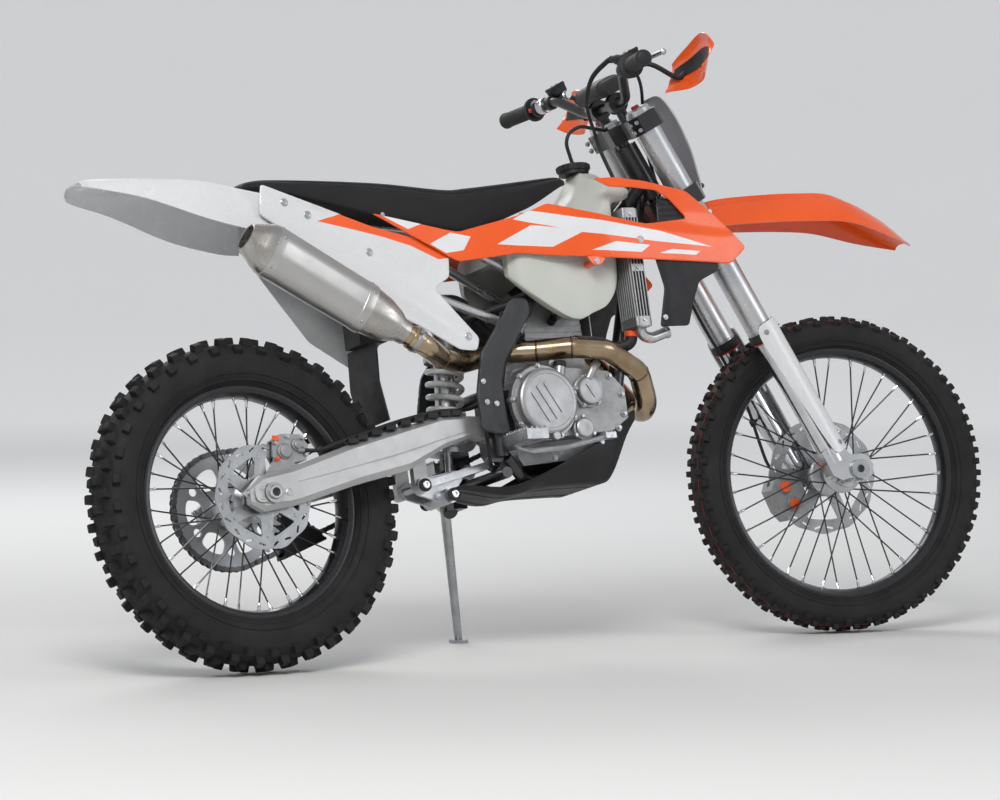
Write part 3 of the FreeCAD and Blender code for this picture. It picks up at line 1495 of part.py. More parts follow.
# Shroud: stations from its rear with how far out it stands at its top, middle and bottom, then its side outline
shroud_station_shares = [
    (-0.01, (0.585, 0.60, 0.63)),
    (0.20, (0.575, 0.59, 0.62)),
    (0.37, (0.64, 0.69, 0.71)),
    (0.46, (0.72, 0.78, 0.80)),
    (0.60, (0.84, 0.90, 0.93)),
    (0.74, (0.89, 0.94, 0.96)),
    (0.84, (0.93, 0.97, 0.98)),
    (1.01, (0.98, 1.0, 1.0)),
]
shroud_level_shares = (1.0, 0.5, -0.05)
shroud_outline_shares = [
    (0.00, 0.64), (0.22, 0.16), (0.28, 0.18), (0.38, 0.22), (0.46, 0.18), (0.60, 0.13), (0.84, 0.07), (0.95, 0.04),
    (1.00, 0.20), (0.96, 0.38), (0.91, 0.57), (0.85, 0.78), (0.74, 0.89), (0.66, 0.935), (0.60, 0.93),
    (0.64, 0.84), (0.70, 0.83), (0.765, 0.80), (0.80, 0.70), (0.84, 0.50),
    (0.72, 0.455), (0.63, 0.54), (0.47, 0.70), (0.40, 0.60), (0.23, 0.45),
]


shroud_boss_share = 0.295


def shroud():
    stations = [(size.shroud_rear + along * size.shroud_length, [out * size.shroud_half for out in outs])
                for along, outs in shroud_station_shares]
    levels = [size.shroud_bottom + level * size.shroud_height for level in shroud_level_shares]
    outline = span_points(shroud_outline_shares, size.shroud_rear, size.shroud_length,
                          size.shroud_bottom, size.shroud_height)
    wall = trimmed_wall(stations, levels, size.shroud_wall, outline)
    boss_height = size.shroud_bottom + shroud_boss_share * size.shroud_height
    bosses = ((size.radiator_rear + size.radiator_depth / 2, boss_height,
               size.radiator_inner + size.radiator_width, 0.938),
              (size.shroud_boss_ahead, boss_height, size.tank_half, 0.79))
    for along, up, seat_out, reach_share in bosses:
        inner = Vector(along, -seat_out - size.seat_gap, up)
        outer = Vector(along, -size.shroud_half * reach_share + size.shroud_wall / 2, up)
        wall = wall.fuse(rod(inner, outer, size.shroud_boss_radius))
    return wall


add_node("shrouds", solid_feature("shrouds", both_sides(shroud())), "chassis")

panel_station_shares = [
    (-0.04, (0.86, 0.94, 0.98)),
    (0.30, (0.86, 0.94, 0.98)),
    (0.60, (0.82, 0.92, 0.98)),
    (0.90, (0.80, 0.90, 0.98)),
    (1.02, (0.80, 0.90, 0.98)),
]
panel_level_shares = (1.0, 0.5, -0.02)
right_panel_shares = [
    (0.02, 0.80), (0.04, 0.96), (0.28, 0.85), (0.54, 0.735), (0.90, 0.62), (0.88, 0.46), (0.80, 0.40), (0.98, 0.13),
    (0.96, 0.06), (0.88, 0.07), (0.70, 0.20), (0.56, 0.28), (0.30, 0.56),
]
left_panel_shares = [
    (0.02, 0.80), (0.04, 0.96), (0.28, 0.85), (0.54, 0.735), (0.90, 0.62), (0.88, 0.46), (0.84, 0.30), (0.76, 0.22),
    (0.66, 0.05), (0.42, 0.24), (0.14, 0.72),
]


def side_panel(outline_shares):
    stations = [(size.panel_rear + along * size.panel_length, [out * size.panel_half for out in outs])
                for along, outs in panel_station_shares]
    levels = [size.panel_bottom + level * size.panel_height for level in panel_level_shares]
    outline = span_points(outline_shares, size.panel_rear, size.panel_length, size.panel_bottom, size.panel_height)
    wall = trimmed_wall(stations, levels, size.panel_wall, outline)
    spot = rail_spot(size.panel_boss_ahead)
    start = spot - Vector(0, size.subframe_radius + size.seat_gap, 0)
    end = Vector(spot.x, -0.893 * size.panel_half + size.panel_wall / 2, spot.z)
    return wall.fuse(rod(start, end, size.panel_boss_radius))


side_panels = Part.makeCompound([side_panel(right_panel_shares), mirrored(side_panel(left_panel_shares))])
add_node("side_panels", solid_feature("side_panels", side_panels), "chassis")

rear_fender_shares = [
    (0.00, 0.765, 0.56, 0.215),
    (0.04, 0.78, 0.64, 0.235),
    (0.20, 0.80, 0.76, 0.34),
    (0.42, 0.78, 0.90, 0.52),
    (0.605, 0.677, 0.92, 0.50),
    (0.69, 0.632, 0.90, 0.48),
]
add_node("rear_fender", solid_feature("rear_fender", fender(
    rear_fender_shares, size.rear_fender_tip, size.rear_fender_length, size.rear_fender_bottom,
    size.rear_fender_height, size.rear_fender_half, size.fender_wall)), "chassis")

flap_shares = [(0.0, 1.0), (0.36, 0.92), (0.66, 0.60), (0.62, 0.30), (0.30, 0.02), (0.24, 0.0)]


def mud_flap():
    """The black flap that keeps the rear wheel's mud off the shock, hung from the air box."""
    length = size.flap_length
    base = size.swingarm_bottom + size.swingarm_height
    height = size.airbox_bottom - base - size.seat_gap
    rear = size.airbox_rear + size.flap_wall
    points = [(rear, 0.0), (rear, 1.0), (rear + 0.9 * length, 1.0), (rear + 0.5 * length, 0.5), (rear + 0.4 * length, 0.0)]
    front = [Vector(across, -size.flap_width / 2, base + up * height)
             for across, up in ((rear + 0.22 * length, 0.0), (rear + 0.10 * length, 0.5), (rear + 0.14 * length, 1.0))]
    back = [Vector(point.x + size.flap_wall, point.y, point.z) for point in front[::-1]]
    return prism(front + back, Vector(0, size.flap_width, 0))


add_node("mud_flap", solid_feature("mud_flap", mud_flap()), "chassis")

airbox_section_shares = [
    (0.0, 0.0, 0.7, 0.875), (0.30, 0.0, 1.0, 1.03), (0.80, 0.20, 1.0, 1.07), (1.0, 0.36, 0.80, 1.0),
]


def air_intake():
    """The air box behind the shock, its boot over the shock's top and the throttle body to the cylinder."""
    sections = []
    spring_half = size.spring_radius + size.spring_wire
    box_front = SHOCK_TOP.x - spring_half - size.running_gap
    for along, low, half_share, high in airbox_section_shares:
        place = size.airbox_rear + along * (box_front - size.airbox_rear)
        half = size.airbox_half * half_share
        low_z = size.airbox_bottom + low * size.airbox_height
        high_z = size.airbox_bottom + high * size.airbox_height
        sections.append([Vector(place, -half, low_z), Vector(place, half, low_z), Vector(place, half, high_z),
                         Vector(place, -half, high_z)])
    box = loft(sections)
    boot_height = SHOCK_TOP.z + 2 * size.shock_eye_radius + size.running_gap + size.intake_radius
    boot_start = Vector(box_front - size.cut_overrun, 0, boot_height)
    over_shock = Vector(SHOCK_TOP.x + spring_half, 0, boot_height)
    boot_end = Vector(size.cylinder_rear - size.seat_gap, 0,
                      size.case_bottom + size.case_height + size.cylinder_height * 0.40)
    elbow = Vector(over_shock.x + (boot_end.x - over_shock.x) * 0.45, 0, boot_end.z)
    boot = tube([boot_start, over_shock, elbow, boot_end], size.intake_radius, size.intake_radius * 1.2)
    way = boot_end - elbow
    body_shape = rod(elbow + way * 0.30, elbow + way * 0.78, size.intake_radius * 1.3)
    return fused([box, boot, body_shape])


add_node("air_intake", solid_feature("air_intake", air_intake()), "chassis")

# Cooling

def radiators():
    sides = []
    for side in (-1, 1):
        inner = side * size.radiator_inner
        outer = side * (size.radiator_inner + size.radiator_width)
        low = min(inner, outer)
        core = Part.makeBox(size.radiator_depth, size.radiator_width,
                            size.radiator_height - 2 * size.radiator_tank_height,
                            Vector(size.radiator_rear, low, size.radiator_bottom + size.radiator_tank_height))
        tanks = []
        for base in (size.radiator_bottom, size.radiator_bottom + size.radiator_height - size.radiator_tank_height):
            tanks.append(Part.makeBox(size.radiator_depth, size.radiator_width, size.radiator_tank_height,
                                      Vector(size.radiator_rear, low, base)))
        whole = core.multiFuse(tanks)
        mount_start = Vector(size.radiator_rear + size.radiator_depth / 2, inner,
                             size.radiator_bottom + size.radiator_height * 0.5)
        sides.append(whole)
    return Part.makeCompound(sides)


add_node("radiators", solid_feature("radiators", radiators()), "chassis")

guard_outline_shares = [
    (0.10, 0.50), (0.16, 0.30), (0.04, 0.02), (0.44, 0.02), (0.56, 0.20), (0.68, 0.34), (1.0, 0.42), (1.0, 0.47),
    (0.86, 0.66), (0.52, 0.92), (0.24, 0.96), (0.18, 0.70), (0.10, 0.60),
]


def radiator_guard():
    """The louvred guard ahead of a radiator, seated inside the shroud."""
    rear = size.radiator_rear + size.radiator_depth + size.seat_gap
    inset = size.shroud_wall + size.seat_gap
    stations = []
    for along, outs in shroud_station_shares:
        outs = [out * size.shroud_half - inset for out in outs]
        stations.append((size.shroud_rear + along * size.shroud_length, outs + outs[-1:]))
    levels = [size.shroud_bottom + level * size.shroud_height for level in shroud_level_shares]
    levels.append(size.radiator_guard_bottom - size.cut_overrun)
    outline = span_points(guard_outline_shares, rear, size.radiator_guard_depth,
                          size.radiator_guard_bottom, size.radiator_guard_height)
    return trimmed_wall(stations, levels, size.radiator_guard_wall, outline)


add_node("radiator_guards", solid_feature("radiator_guards", both_sides(radiator_guard())), "chassis")

frame_guard_shares = [
    (0.03, 0.04), (0.02, 0.30), (0.14, 0.58), (0.66, 0.97), (0.84, 0.96), (0.88, 0.86), (0.44, 0.52), (0.36, 0.40),
    (0.36, 0.24), (0.38, 0.10), (0.40, 0.02), (0.28, 0.0),
]


def frame_guard():
    out = -size.frame_half - size.spar_radius - size.seat_gap
    outline = span_points(frame_guard_shares, size.frame_guard_rear, size.frame_guard_length,
                          size.frame_guard_bottom, size.frame_guard_height)
    face = [Vector(across, out, up) for across, up in outline]
    return prism(face, Vector(0, -size.frame_guard_wall, 0))


add_node("frame_guards", solid_feature("frame_guards", both_sides(frame_guard())), "chassis")

# Skid plate stations from the rear: share along, bottom height, low half width, side's top height, top half width
skid_station_shares = [
    (0.06, 0.12, 0.427, 0.17, 0.493),
    (0.26, 0.02, 0.56, 0.12, 0.66),
    (0.42, 0.078, 0.66, 0.24, 0.90),
    (0.66, 0.096, 0.70, 0.50, 0.96),
    (0.745, 0.10, 0.68, 0.58, 0.92),
    (0.82, 0.20, 0.64, 0.70, 0.84),
    (0.94, 0.66, 0.52, 0.92, 0.62),
    (1.0, 0.86, 0.50, 0.99, 0.54),
]


def skid_plate():
    """A pan under the cradle, bent up at the sides and front."""
    sections = []
    for along, low, low_half, high, top_half in skid_station_shares:
        place = size.skid_rear + along * size.skid_length
        low_z = size.skid_bottom + low * size.skid_height
        high_z = size.skid_bottom + high * size.skid_height
        low_out = size.skid_half * low_half
        top_out = size.skid_half * top_half
        wall = size.skid_wall
        outer = [Vector(place, -top_out, high_z), Vector(place, -low_out, low_z), Vector(place, low_out, low_z),
                 Vector(place, top_out, high_z)]
        inner = [Vector(place, top_out - wall, high_z), Vector(place, low_out - wall, low_z + wall),
                 Vector(place, -low_out + wall, low_z + wall), Vector(place, -top_out + wall, high_z)]
        sections.append(outer + inner)
    return loft(sections).fuse(lift_pad())


def lift_pad_edge():
    """The two ends of the flat rub strip's lower face, where a lift stand bears."""
    ends = []
    for along, low, low_half, high, top_half in skid_station_shares[2:4]:
        ends.append(Vector(size.skid_rear + along * size.skid_length, 0, size.skid_bottom + low * size.skid_height))
    run = (ends[1] - ends[0]).normalize()
    down = Vector(run.z, 0, -run.x)
    return ends[0] + down * size.lift_pad_drop, ends[1] + down * size.lift_pad_drop, down


def lift_pad():
    rear, front, down = lift_pad_edge()
    half = Vector(0, size.lift_pad_half, 0)
    back = down * (-size.lift_pad_drop - size.skid_wall / 2)
    return prism([rear - half, front - half, front - half + back, rear - half + back], half * 2)


add_node("skid_plate", solid_feature("skid_plate", skid_plate()), "chassis")

# Swingarm, right arm stations from the rear: share along, bottom, top, inner and outer face
swingarm_station_shares = [
    (0.00, 0.10, 0.26, 0.80, 0.95),
    (0.05, 0.01, 0.40, 0.765, 1.0),
    (0.165, 0.06, 0.47, 0.765, 1.0),
    (0.41, 0.26, 0.71, 0.75, 0.985),
    (0.62, 0.40, 0.88, 0.70, 0.92),
    (0.77, 0.63, 0.975, 0.56, 0.86),
    (0.905, 0.76, 0.985, 0.38, 0.72),
    (0.965, 0.74, 0.98, 0.32, 0.66),
    (1.00, 0.76, 0.94, 0.32, 0.66),
]


def swingarm():
    sections = []
    for along, low, high, inner, outer in swingarm_station_shares:
        place = size.swingarm_rear + along * size.swingarm_length
        low_z = size.swingarm_bottom + low * size.swingarm_height
        high_z = size.swingarm_bottom + high * size.swingarm_height
        in_y = -inner * size.swingarm_half
        out_y = -outer * size.swingarm_half
        bevel = (high_z - low_z) * 0.14
        sections.append([
            Vector(place, in_y, low_z), Vector(place, out_y + bevel, low_z), Vector(place, out_y, low_z + bevel),
            Vector(place, out_y, high_z - bevel), Vector(place, out_y + bevel, high_z), Vector(place, in_y, high_z),
        ])
    arm = loft(sections)
    boss_out = size.pivot_plate_inner - size.pin_fit
    boss_in = swingarm_station_shares[-1][3] * size.swingarm_half
    centre = Vector(size.pivot_ahead, 0, size.pivot_height)
    boss = rod(centre - Vector(0, boss_in, 0), centre - Vector(0, boss_out, 0), size.swingarm_boss_radius)
    side = arm.fuse(boss)
    bridge = Part.makeBox(size.swingarm_bridge_length, 1.5 * size.swingarm_half, size.swingarm_bridge_height,
                          Vector(size.swingarm_bridge_ahead - size.swingarm_bridge_length, -0.75 * size.swingarm_half,
                                 size.swingarm_bottom + 0.60 * size.swingarm_height))
    lugs = []
    lug_out = size.shock_body_radius + size.rocker_wall + 2 * size.seat_gap
    lug_width = size.link_half - lug_out - size.seat_gap
    lug_spot = Vector(size.link_rear_ahead, 0, size.link_rear_height)
    for start, way in ((lug_out, 1), (-lug_out, -1)):
        foot = lug_spot + Vector(0, start, 0)
        lugs.append(rod(foot, foot + Vector(0, way * lug_width, 0), size.link_eye_radius))
        face = [foot + Vector(-size.link_eye_radius, 0, 0), foot + Vector(size.link_eye_radius, 0, 0),
                foot + Vector(size.link_eye_radius, 0, size.swingarm_lug_height),
                foot + Vector(-size.link_eye_radius, 0, size.swingarm_lug_height)]
        lugs.append(prism(face, Vector(0, way * lug_width, 0)))
    whole = side.multiFuse([mirrored(side), bridge] + lugs)
    lug_pin = Vector(0, size.link_half, 0)
    whole = whole.cut(rod(lug_spot - lug_pin, lug_spot + lug_pin, size.link_bar_radius + size.pin_fit))
    pin_out = Vector(0, size.swingarm_half + size.cut_overrun, 0)
    whole = whole.cut(rod(centre - pin_out, centre + pin_out, size.pivot_pin_radius + size.pin_fit))
    return whole.cut(rod(REAR_AXLE - pin_out, REAR_AXLE + pin_out, size.axle_radius + size.pin_fit))


add_node("swingarm", solid_feature("swingarm", swingarm()), "chassis")

swingarm_nut_seat = size.swingarm_half + size.seat_gap
pivot_out = size.pivot_plate_inner + size.pivot_plate_width
pivot_centre = Vector(size.pivot_ahead, 0, size.pivot_height)
pivot_pin = rod(pivot_centre - Vector(0, pivot_out, 0), pivot_centre + Vector(0, pivot_out, 0), size.pivot_pin_radius)
rear_axle = axle(REAR_AXLE, swingarm_nut_seat + size.axle_nut_width, swingarm_nut_seat)
add_node("rear_axle", solid_feature("rear_axle", Part.makeCompound([rear_axle, pivot_pin])), "chassis")


def shock_absorber():
    """The shock from its mount under the seat down to its clevis, reservoir alongside, and the pull rod linkage."""
    top = SHOCK_TOP
    low = Vector(size.shock_low_ahead, 0, size.shock_low_height)
    down = low - top
    body_shape = rod(top, top + down * 0.52, size.shock_body_radius)
    rod_shape = rod(top + down * 0.52, low, size.shock_rod_radius)
    eye_out = Vector(0, size.shock_body_radius, 0)
    eye = rod(low - eye_out, low + eye_out, size.link_eye_radius)
    collar_top = top + down * spring_start_share
    collar = rod(collar_top - down * 0.035, collar_top, size.spring_radius + size.spring_wire)
    seat_start = top + down * spring_end_share
    seat_low = rod(seat_start, seat_start + down * 0.03, size.spring_radius + size.spring_wire)
    top_out = Vector(0, size.shock_eye_half, 0)
    top_middle = top + Vector(0, 0, size.shock_eye_radius)
    top_eye = rod(top_middle - top_out, top_middle + top_out, size.shock_eye_radius)
    return fused([body_shape, rod_shape, eye, top_eye, collar, seat_low])


spring_start_share = 0.20
spring_end_share = 0.80
add_node("shock_absorber", solid_feature("shock_absorber", shock_absorber()), "chassis")


def shock_spring():
    """The coil, as a helix of square wire between its collar and seat."""
    top = SHOCK_TOP
    low = Vector(size.shock_low_ahead, 0, size.shock_low_height)
    down = low - top
    start = top + down * spring_start_share
    rise = down.Length * (spring_end_share - spring_start_share) - 2 * size.spring_wire - 2 * size.seat_gap
    helix = Part.makeHelix(rise / size.spring_turns, rise, size.spring_radius)
    section = Part.makePolygon([
        Vector(size.spring_radius - size.spring_wire, 0, -size.spring_wire),
        Vector(size.spring_radius + size.spring_wire, 0, -size.spring_wire),
        Vector(size.spring_radius + size.spring_wire, 0, size.spring_wire),
        Vector(size.spring_radius - size.spring_wire, 0, size.spring_wire),
        Vector(size.spring_radius - size.spring_wire, 0, -size.spring_wire),
    ])
    coil = Part.Wire(helix.Edges).makePipeShell([section], True, True)
    turn = Rotation(Vector(0, 0, 1), down)
    coil.Placement = Placement(start + down.normalize() * (size.spring_wire + size.seat_gap), turn)
    return coil


add_node("shock_spring", solid_feature("shock_spring", shock_spring()), "chassis")


def linkage():
    """Two bars from the rocker under the swingarm forward to the frame, and the rocker's cheeks."""
    pieces = []
    rear = Vector(size.link_rear_ahead, 0, size.link_rear_height)
    front = Vector(size.link_front_ahead, 0, size.link_front_height)
    bolt = Vector(size.link_bolt_ahead, 0, size.link_bolt_height)
    for side in (-1, 1):
        out = Vector(0, side * size.link_half, 0)
        width = Vector(0, side * size.link_width, 0)
        rise = Vector(0, 0, size.link_bar_radius)
        face = [point + out for point in (rear - rise, front - rise, front + rise, rear + rise)]
        bar = prism(face, width)
        eyes = [rod(centre + out, centre + out + width, size.link_eye_radius) for centre in (rear, front)]
        pieces += [bar] + eyes
    span = Vector(0, size.link_half + size.link_width, 0)
    pieces.append(rod(rear - span, rear + span, size.link_bar_radius))
    pieces.append(rod(front - span, front + span, size.link_bar_radius))
    inner = Vector(0, size.link_half - size.seat_gap, 0)
    pieces.append(rod(bolt - inner, bolt + inner, size.link_eye_radius))
    shock_low = Vector(size.shock_low_ahead, 0, size.shock_low_height)
    eye = size.link_eye_radius
    cheek_in = size.shock_body_radius + size.seat_gap
    cheek = [rear + Vector(-eye, 0, eye * 0.4), rear + Vector(0, 0, -eye), bolt + Vector(0, 0, -eye),
             shock_low + Vector(eye, 0, 0), shock_low + Vector(0, 0, eye), rear + Vector(0, 0, eye)]
    for start, way in ((cheek_in, 1), (-cheek_in, -1)):
        face = [point + Vector(0, start, 0) for point in cheek]
        pieces.append(prism(face, Vector(0, way * size.rocker_wall, 0)))
    return fused(pieces)


add_node("linkage", solid_feature("linkage", linkage()), "chassis")


def rear_caliper():
    """The caliper above the axle on its bracket, between the wheel's disc and the right arm."""
    angle = math.radians(54)
    reach = size.rear_disc_radius + size.caliper_height * 0.08
    centre = REAR_AXLE + Vector(math.cos(angle) * reach, 0, math.sin(angle) * reach)
    outline = span_points(caliper_outline_shares, centre.x - size.caliper_length / 2, size.caliper_length,
                          centre.z - size.caliper_height / 2, size.caliper_height)
    outer_face = 0.765 * size.swingarm_half - size.seat_gap
    half = outer_face - size.rear_disc_line
    block = caliper(outline, size.rear_disc_radius, -size.rear_disc_line, half, REAR_AXLE)
    bracket_out = Vector(0, -outer_face, 0)
    bracket_in = Vector(0, -outer_face + size.caliper_bracket_width, 0)
    eye = rod(REAR_AXLE + bracket_out, REAR_AXLE + bracket_in, size.axle_nut_radius)
    arm_low = REAR_AXLE + bracket_out
    across = Vector(-math.sin(angle), 0, math.cos(angle)) * size.axle_nut_radius
    face = [arm_low + across, arm_low - across, centre + bracket_out - across, centre + bracket_out + across]
    arm = prism(face, Vector(0, size.caliper_bracket_width, 0))
    whole = block.multiFuse([eye, arm])
    return whole.cut(rod(REAR_AXLE + bracket_out * 2, REAR_AXLE, size.axle_radius + size.pin_fit))


add_node("rear_caliper", solid_feature("rear_caliper", rear_caliper()), "chassis")

# Chain

COUNTERSHAFT = Vector(size.countershaft_ahead, 0, size.countershaft_height)


def chain_loop(offset):
    """The belt line round both sprockets at an offset from the pitch line, as a closed wire in the XZ plane."""
    rear_radius = rear_pitch_radius + offset
    front_radius = front_pitch_radius + offset
    span = COUNTERSHAFT - REAR_AXLE
    distance = span.Length
    slope = math.atan2(span.z, span.x)
    lean = math.asin((rear_radius - front_radius) / distance)

    def place(centre, radius, angle):
        return centre + Vector(radius * math.cos(angle), 0, radius * math.sin(angle))

    top_angle = slope + math.pi / 2 - lean
    low_angle = slope - math.pi / 2 + lean
    rear_top = place(REAR_AXLE, rear_radius, top_angle)
    rear_low = place(REAR_AXLE, rear_radius, low_angle)
    front_top = place(COUNTERSHAFT, front_radius, top_angle)
    front_low = place(COUNTERSHAFT, front_radius, low_angle)
    edges = [
        Part.LineSegment(rear_top, front_top).toShape(),
        Part.Arc(front_top, place(COUNTERSHAFT, front_radius, slope), front_low).toShape(),
        Part.LineSegment(front_low, rear_low).toShape(),
        Part.Arc(rear_low, place(REAR_AXLE, rear_radius, slope + math.pi), rear_top).toShape(),
    ]
    return Part.Wire(edges)


def chain():
    outer = Part.Face(chain_loop(size.chain_half_height))
    inner = Part.Face(chain_loop(-size.chain_half_height))
    width = Vector(0, size.chain_width, 0)
    belt = outer.extrude(width).cut(inner.extrude(width))
    belt.translate(Vector(0, size.chain_line - size.chain_width / 2, 0))
    return belt


add_node("chain", solid_feature("chain", chain()), "chassis")


def front_sprocket():
    half = Vector(0, size.sprocket_thickness / 2, 0)
    line = COUNTERSHAFT + Vector(0, size.chain_line, 0)
    wheel = rod(line - half, line + half, front_pitch_radius - size.chain_half_height - size.seat_gap)
    shaft_start = COUNTERSHAFT + Vector(0, size.case_left + size.seat_gap, 0)
    return wheel.fuse(rod(shaft_start, line + half * 3, size.axle_radius))


add_node("front_sprocket", solid_feature("front_sprocket", front_sprocket()), "chassis")


def chain_guide():
    """The guide under the left arm, its cheeks either side of the chain's lower run."""
    centre = Vector(size.guide_ahead, 0, 0)
    span = COUNTERSHAFT - REAR_AXLE
    run = chain_loop(0).Edges[2]
    ends = [vertex.Point for vertex in run.Vertexes]
    ends.sort(key=lambda point: point.x)
    share = (size.guide_ahead - ends[0].x) / (ends[1].x - ends[0].x)
    middle = ends[0] + (ends[1] - ends[0]) * share
    way = (ends[1] - ends[0]).normalize()
    up = Vector(-way.z, 0, way.x)
    half = size.guide_length / 2
    cheeks = []
    gap = size.chain_width / 2 + size.running_gap / 2
    arm_face = 0.7505 * size.swingarm_half - size.seat_gap
    outer_wall = arm_face - size.chain_line - gap
    for inner, wall, high in ((size.chain_line - gap - size.guide_wall, size.guide_wall, 0.30),
                              (size.chain_line + gap, outer_wall, 1.15)):
        face = [middle - way * half - up * size.guide_height * 0.28, middle + way * half - up * size.guide_height * 0.28,
                middle + way * half * 0.7 + up * size.guide_height * high,
                middle - way * half * 0.7 + up * size.guide_height * high]
        face = [point + Vector(0, inner, 0) for point in face]
        cheeks.append(prism(face, Vector(0, wall, 0)))
    floor = [middle - way * half - up * size.guide_height * 0.28, middle + way * half - up * size.guide_height * 0.28,
             middle + way * half - up * (size.guide_height * 0.28 - size.guide_wall),
             middle - way * half - up * (size.guide_height * 0.28 - size.guide_wall)]
    floor = [point + Vector(0, size.chain_line - gap - size.guide_wall, 0) for point in floor]
    cheeks.append(prism(floor, Vector(0, 2 * gap + size.guide_wall + outer_wall, 0)))
    return fused(cheeks)


add_node("chain_guide", solid_feature("chain_guide", chain_guide()), "chassis")

# Pegs and pedals

def foot_controls():
    """Toothed pegs on their brackets, the brake pedal at the right and the shift lever at the left."""
    pieces = []
    peg_low = size.peg_height - size.peg_thickness / 2
    for side in (-1, 1):
        start = min(side * size.peg_inner, side * (size.peg_inner + size.peg_length))
        peg = Part.makeBox(size.peg_depth, size.peg_length, size.peg_thickness,
                           Vector(size.peg_ahead - size.peg_depth / 2, start, peg_low))
        well = Part.makeBox(size.peg_depth * 0.6, size.peg_length * 0.76, size.peg_thickness * 2,
                            Vector(size.peg_ahead - size.peg_depth * 0.3, start + size.peg_length * 0.12,
                                   peg_low - size.peg_thickness / 2))
        bracket_out = size.frame_half + size.spar_radius + size.seat_gap
        bracket = rod(Vector(size.peg_ahead, side * bracket_out, size.peg_height),
                      Vector(size.peg_ahead, side * (size.peg_inner + size.peg_length * 0.06), size.peg_height),
                      size.peg_thickness * 0.7)
        pieces.append(peg.cut(well).fuse(bracket))
    pedal = tube([Vector(*place) for place in pedal_route], size.pedal_radius, size.pedal_bend)
    pad_centre = Vector(*pedal_route[-1])
    pedal_pad = Part.makeBox(size.pedal_pad, size.pedal_pad, size.pedal_radius * 2,
                             pad_centre - Vector(size.pedal_pad / 2, size.pedal_pad / 2, size.pedal_radius))
    lever = tube([Vector(*place) for place in shift_route], size.pedal_radius, size.pedal_bend)
    toe = Vector(*shift_route[-1])
    toe_peg = rod(toe - Vector(0, size.pedal_radius, 0), toe + Vector(0, size.pedal_pad, 0), size.pedal_radius * 1.3)
    pieces += [pedal.fuse(pedal_pad), lever.fuse(toe_peg)]
    return Part.makeCompound(pieces)


# The brake pedal's route along the right side, and the shift lever's from its shaft on the left
pedal_route = [(582, -136, 414), (612, -150, 402), (690, -160, 406), (790, -168, 424)]
shift_route = [(712, 104.3, 461), (712, 146, 458), (808, 148, 452)]
add_node("foot_controls", solid_feature("foot_controls", foot_controls()), "chassis")

# Side stand



# How the bike parks: each drawing frame on the upright bike, then the lean, the pitch and the drop to the floor

FORK_PLACE = Placement(AXIS_FOOT, Rotation(Vector(0, 1, 0), -size.rake_angle)).multiply(
    Placement(Vector(0, 0, 0), Rotation(Vector(0, 0, 1), size.steer_turn)))
DRAWING_FRAMES = {
    "chassis": Placement(),
    "stand": Placement(),
    "rear_wheel": Placement(REAR_AXLE, Rotation()),
    "fork": FORK_PLACE,
    "front_wheel": FORK_PLACE.multiply(Placement(AXLE_SPOT, Rotation())),
    "level": Placement(AXIS_FOOT, Rotation(AXIS_UP, size.steer_turn)),
}


def tread_corners(radius, half, bead, rim_half):
    return [(value_of(up), value_of(out)) for up, out in tyre_points(radius, half, bead, rim_half)]


def lowest_of(place, corners):
    """The lowest height of a tyre, each corner of whose section sweeps a circle about the axle."""
    axle_way = place.Rotation.multVec(Vector(0, 1, 0))
    heights = []
    for radius, out in corners:
        centre = place.multVec(Vector(0, out, 0))
        heights.append(centre.z - radius * math.sqrt(1 - axle_way.z ** 2))
    return min(heights)


def park():
    """Leans the bike, then pitches and drops it until both tyres touch the floor."""
    rear_corners = tread_corners("Sizes.rear_tyre_radius", "Sizes.rear_tyre_half",
                                 "Sizes.rear_bead_radius", "Sizes.rear_rim_half")
    front_corners = tread_corners("Sizes.front_tyre_radius", "Sizes.front_tyre_half",
                                  "Sizes.front_bead_radius", "Sizes.front_rim_half")
    wheelbase = AXIS_FOOT.x + size.front_axle_ahead * math.cos(RAKE)
    lean = Rotation(Vector(1, 0, 0), -size.lean_angle)
    pitch = 0
    for attempt in range(6):
        stance = Placement(Vector(0, 0, 0), Rotation(Vector(0, 1, 0), math.degrees(pitch)).multiply(lean))
        rear_low = lowest_of(stance.multiply(DRAWING_FRAMES["rear_wheel"]), rear_corners)
        front_low = lowest_of(stance.multiply(DRAWING_FRAMES["front_wheel"]), front_corners)
        pitch += (front_low - rear_low) / wheelbase
    stance.Base = Vector(0, 0, -rear_low)
    return stance


PARKED = park()


def side_stand():
    """The stand's boss and leg, with a foot that lies flat on the floor."""
    floor_up = PARKED.Rotation.inverted().multVec(Vector(0, 0, 1))
    guess = PARKED.multVec(Vector(size.stand_foot_ahead, size.stand_foot_out, 0))
    foot = Vector(size.stand_foot_ahead, size.stand_foot_out, 0) - Vector(0, 0, 1) * (guess.z / floor_up.z)
    ankle = foot + floor_up * size.stand_foot_thickness
    pad_shape = rod(foot, ankle, size.stand_foot_radius)
    hip = STAND_PIVOT + (foot - STAND_PIVOT).normalize() * size.stand_boss_radius * 0.9
    leg = taper(ankle - floor_up * (size.stand_foot_thickness / 2), hip, size.stand_toe_radius,
                size.stand_leg_radius)
    half = STAND_TURN_AXIS * (size.stand_boss_width / 2)
    boss = rod(STAND_PIVOT - half, STAND_PIVOT + half, size.stand_boss_radius)
    reach = STAND_TURN_AXIS * size.stand_boss_width
    bore = rod(STAND_PIVOT - reach, STAND_PIVOT + reach, size.stand_pin_radius + size.pin_fit)
    return fused([pad_shape, leg, boss]).cut(bore)


add_node("side_stand", solid_feature("side_stand", side_stand()), "stand")

doc.recompute()
for label, piece, frame_name in nodes:
    piece.Placement = PARKED.multiply(DRAWING_FRAMES[frame_name]).multiply(piece.Placement)
doc.recompute()

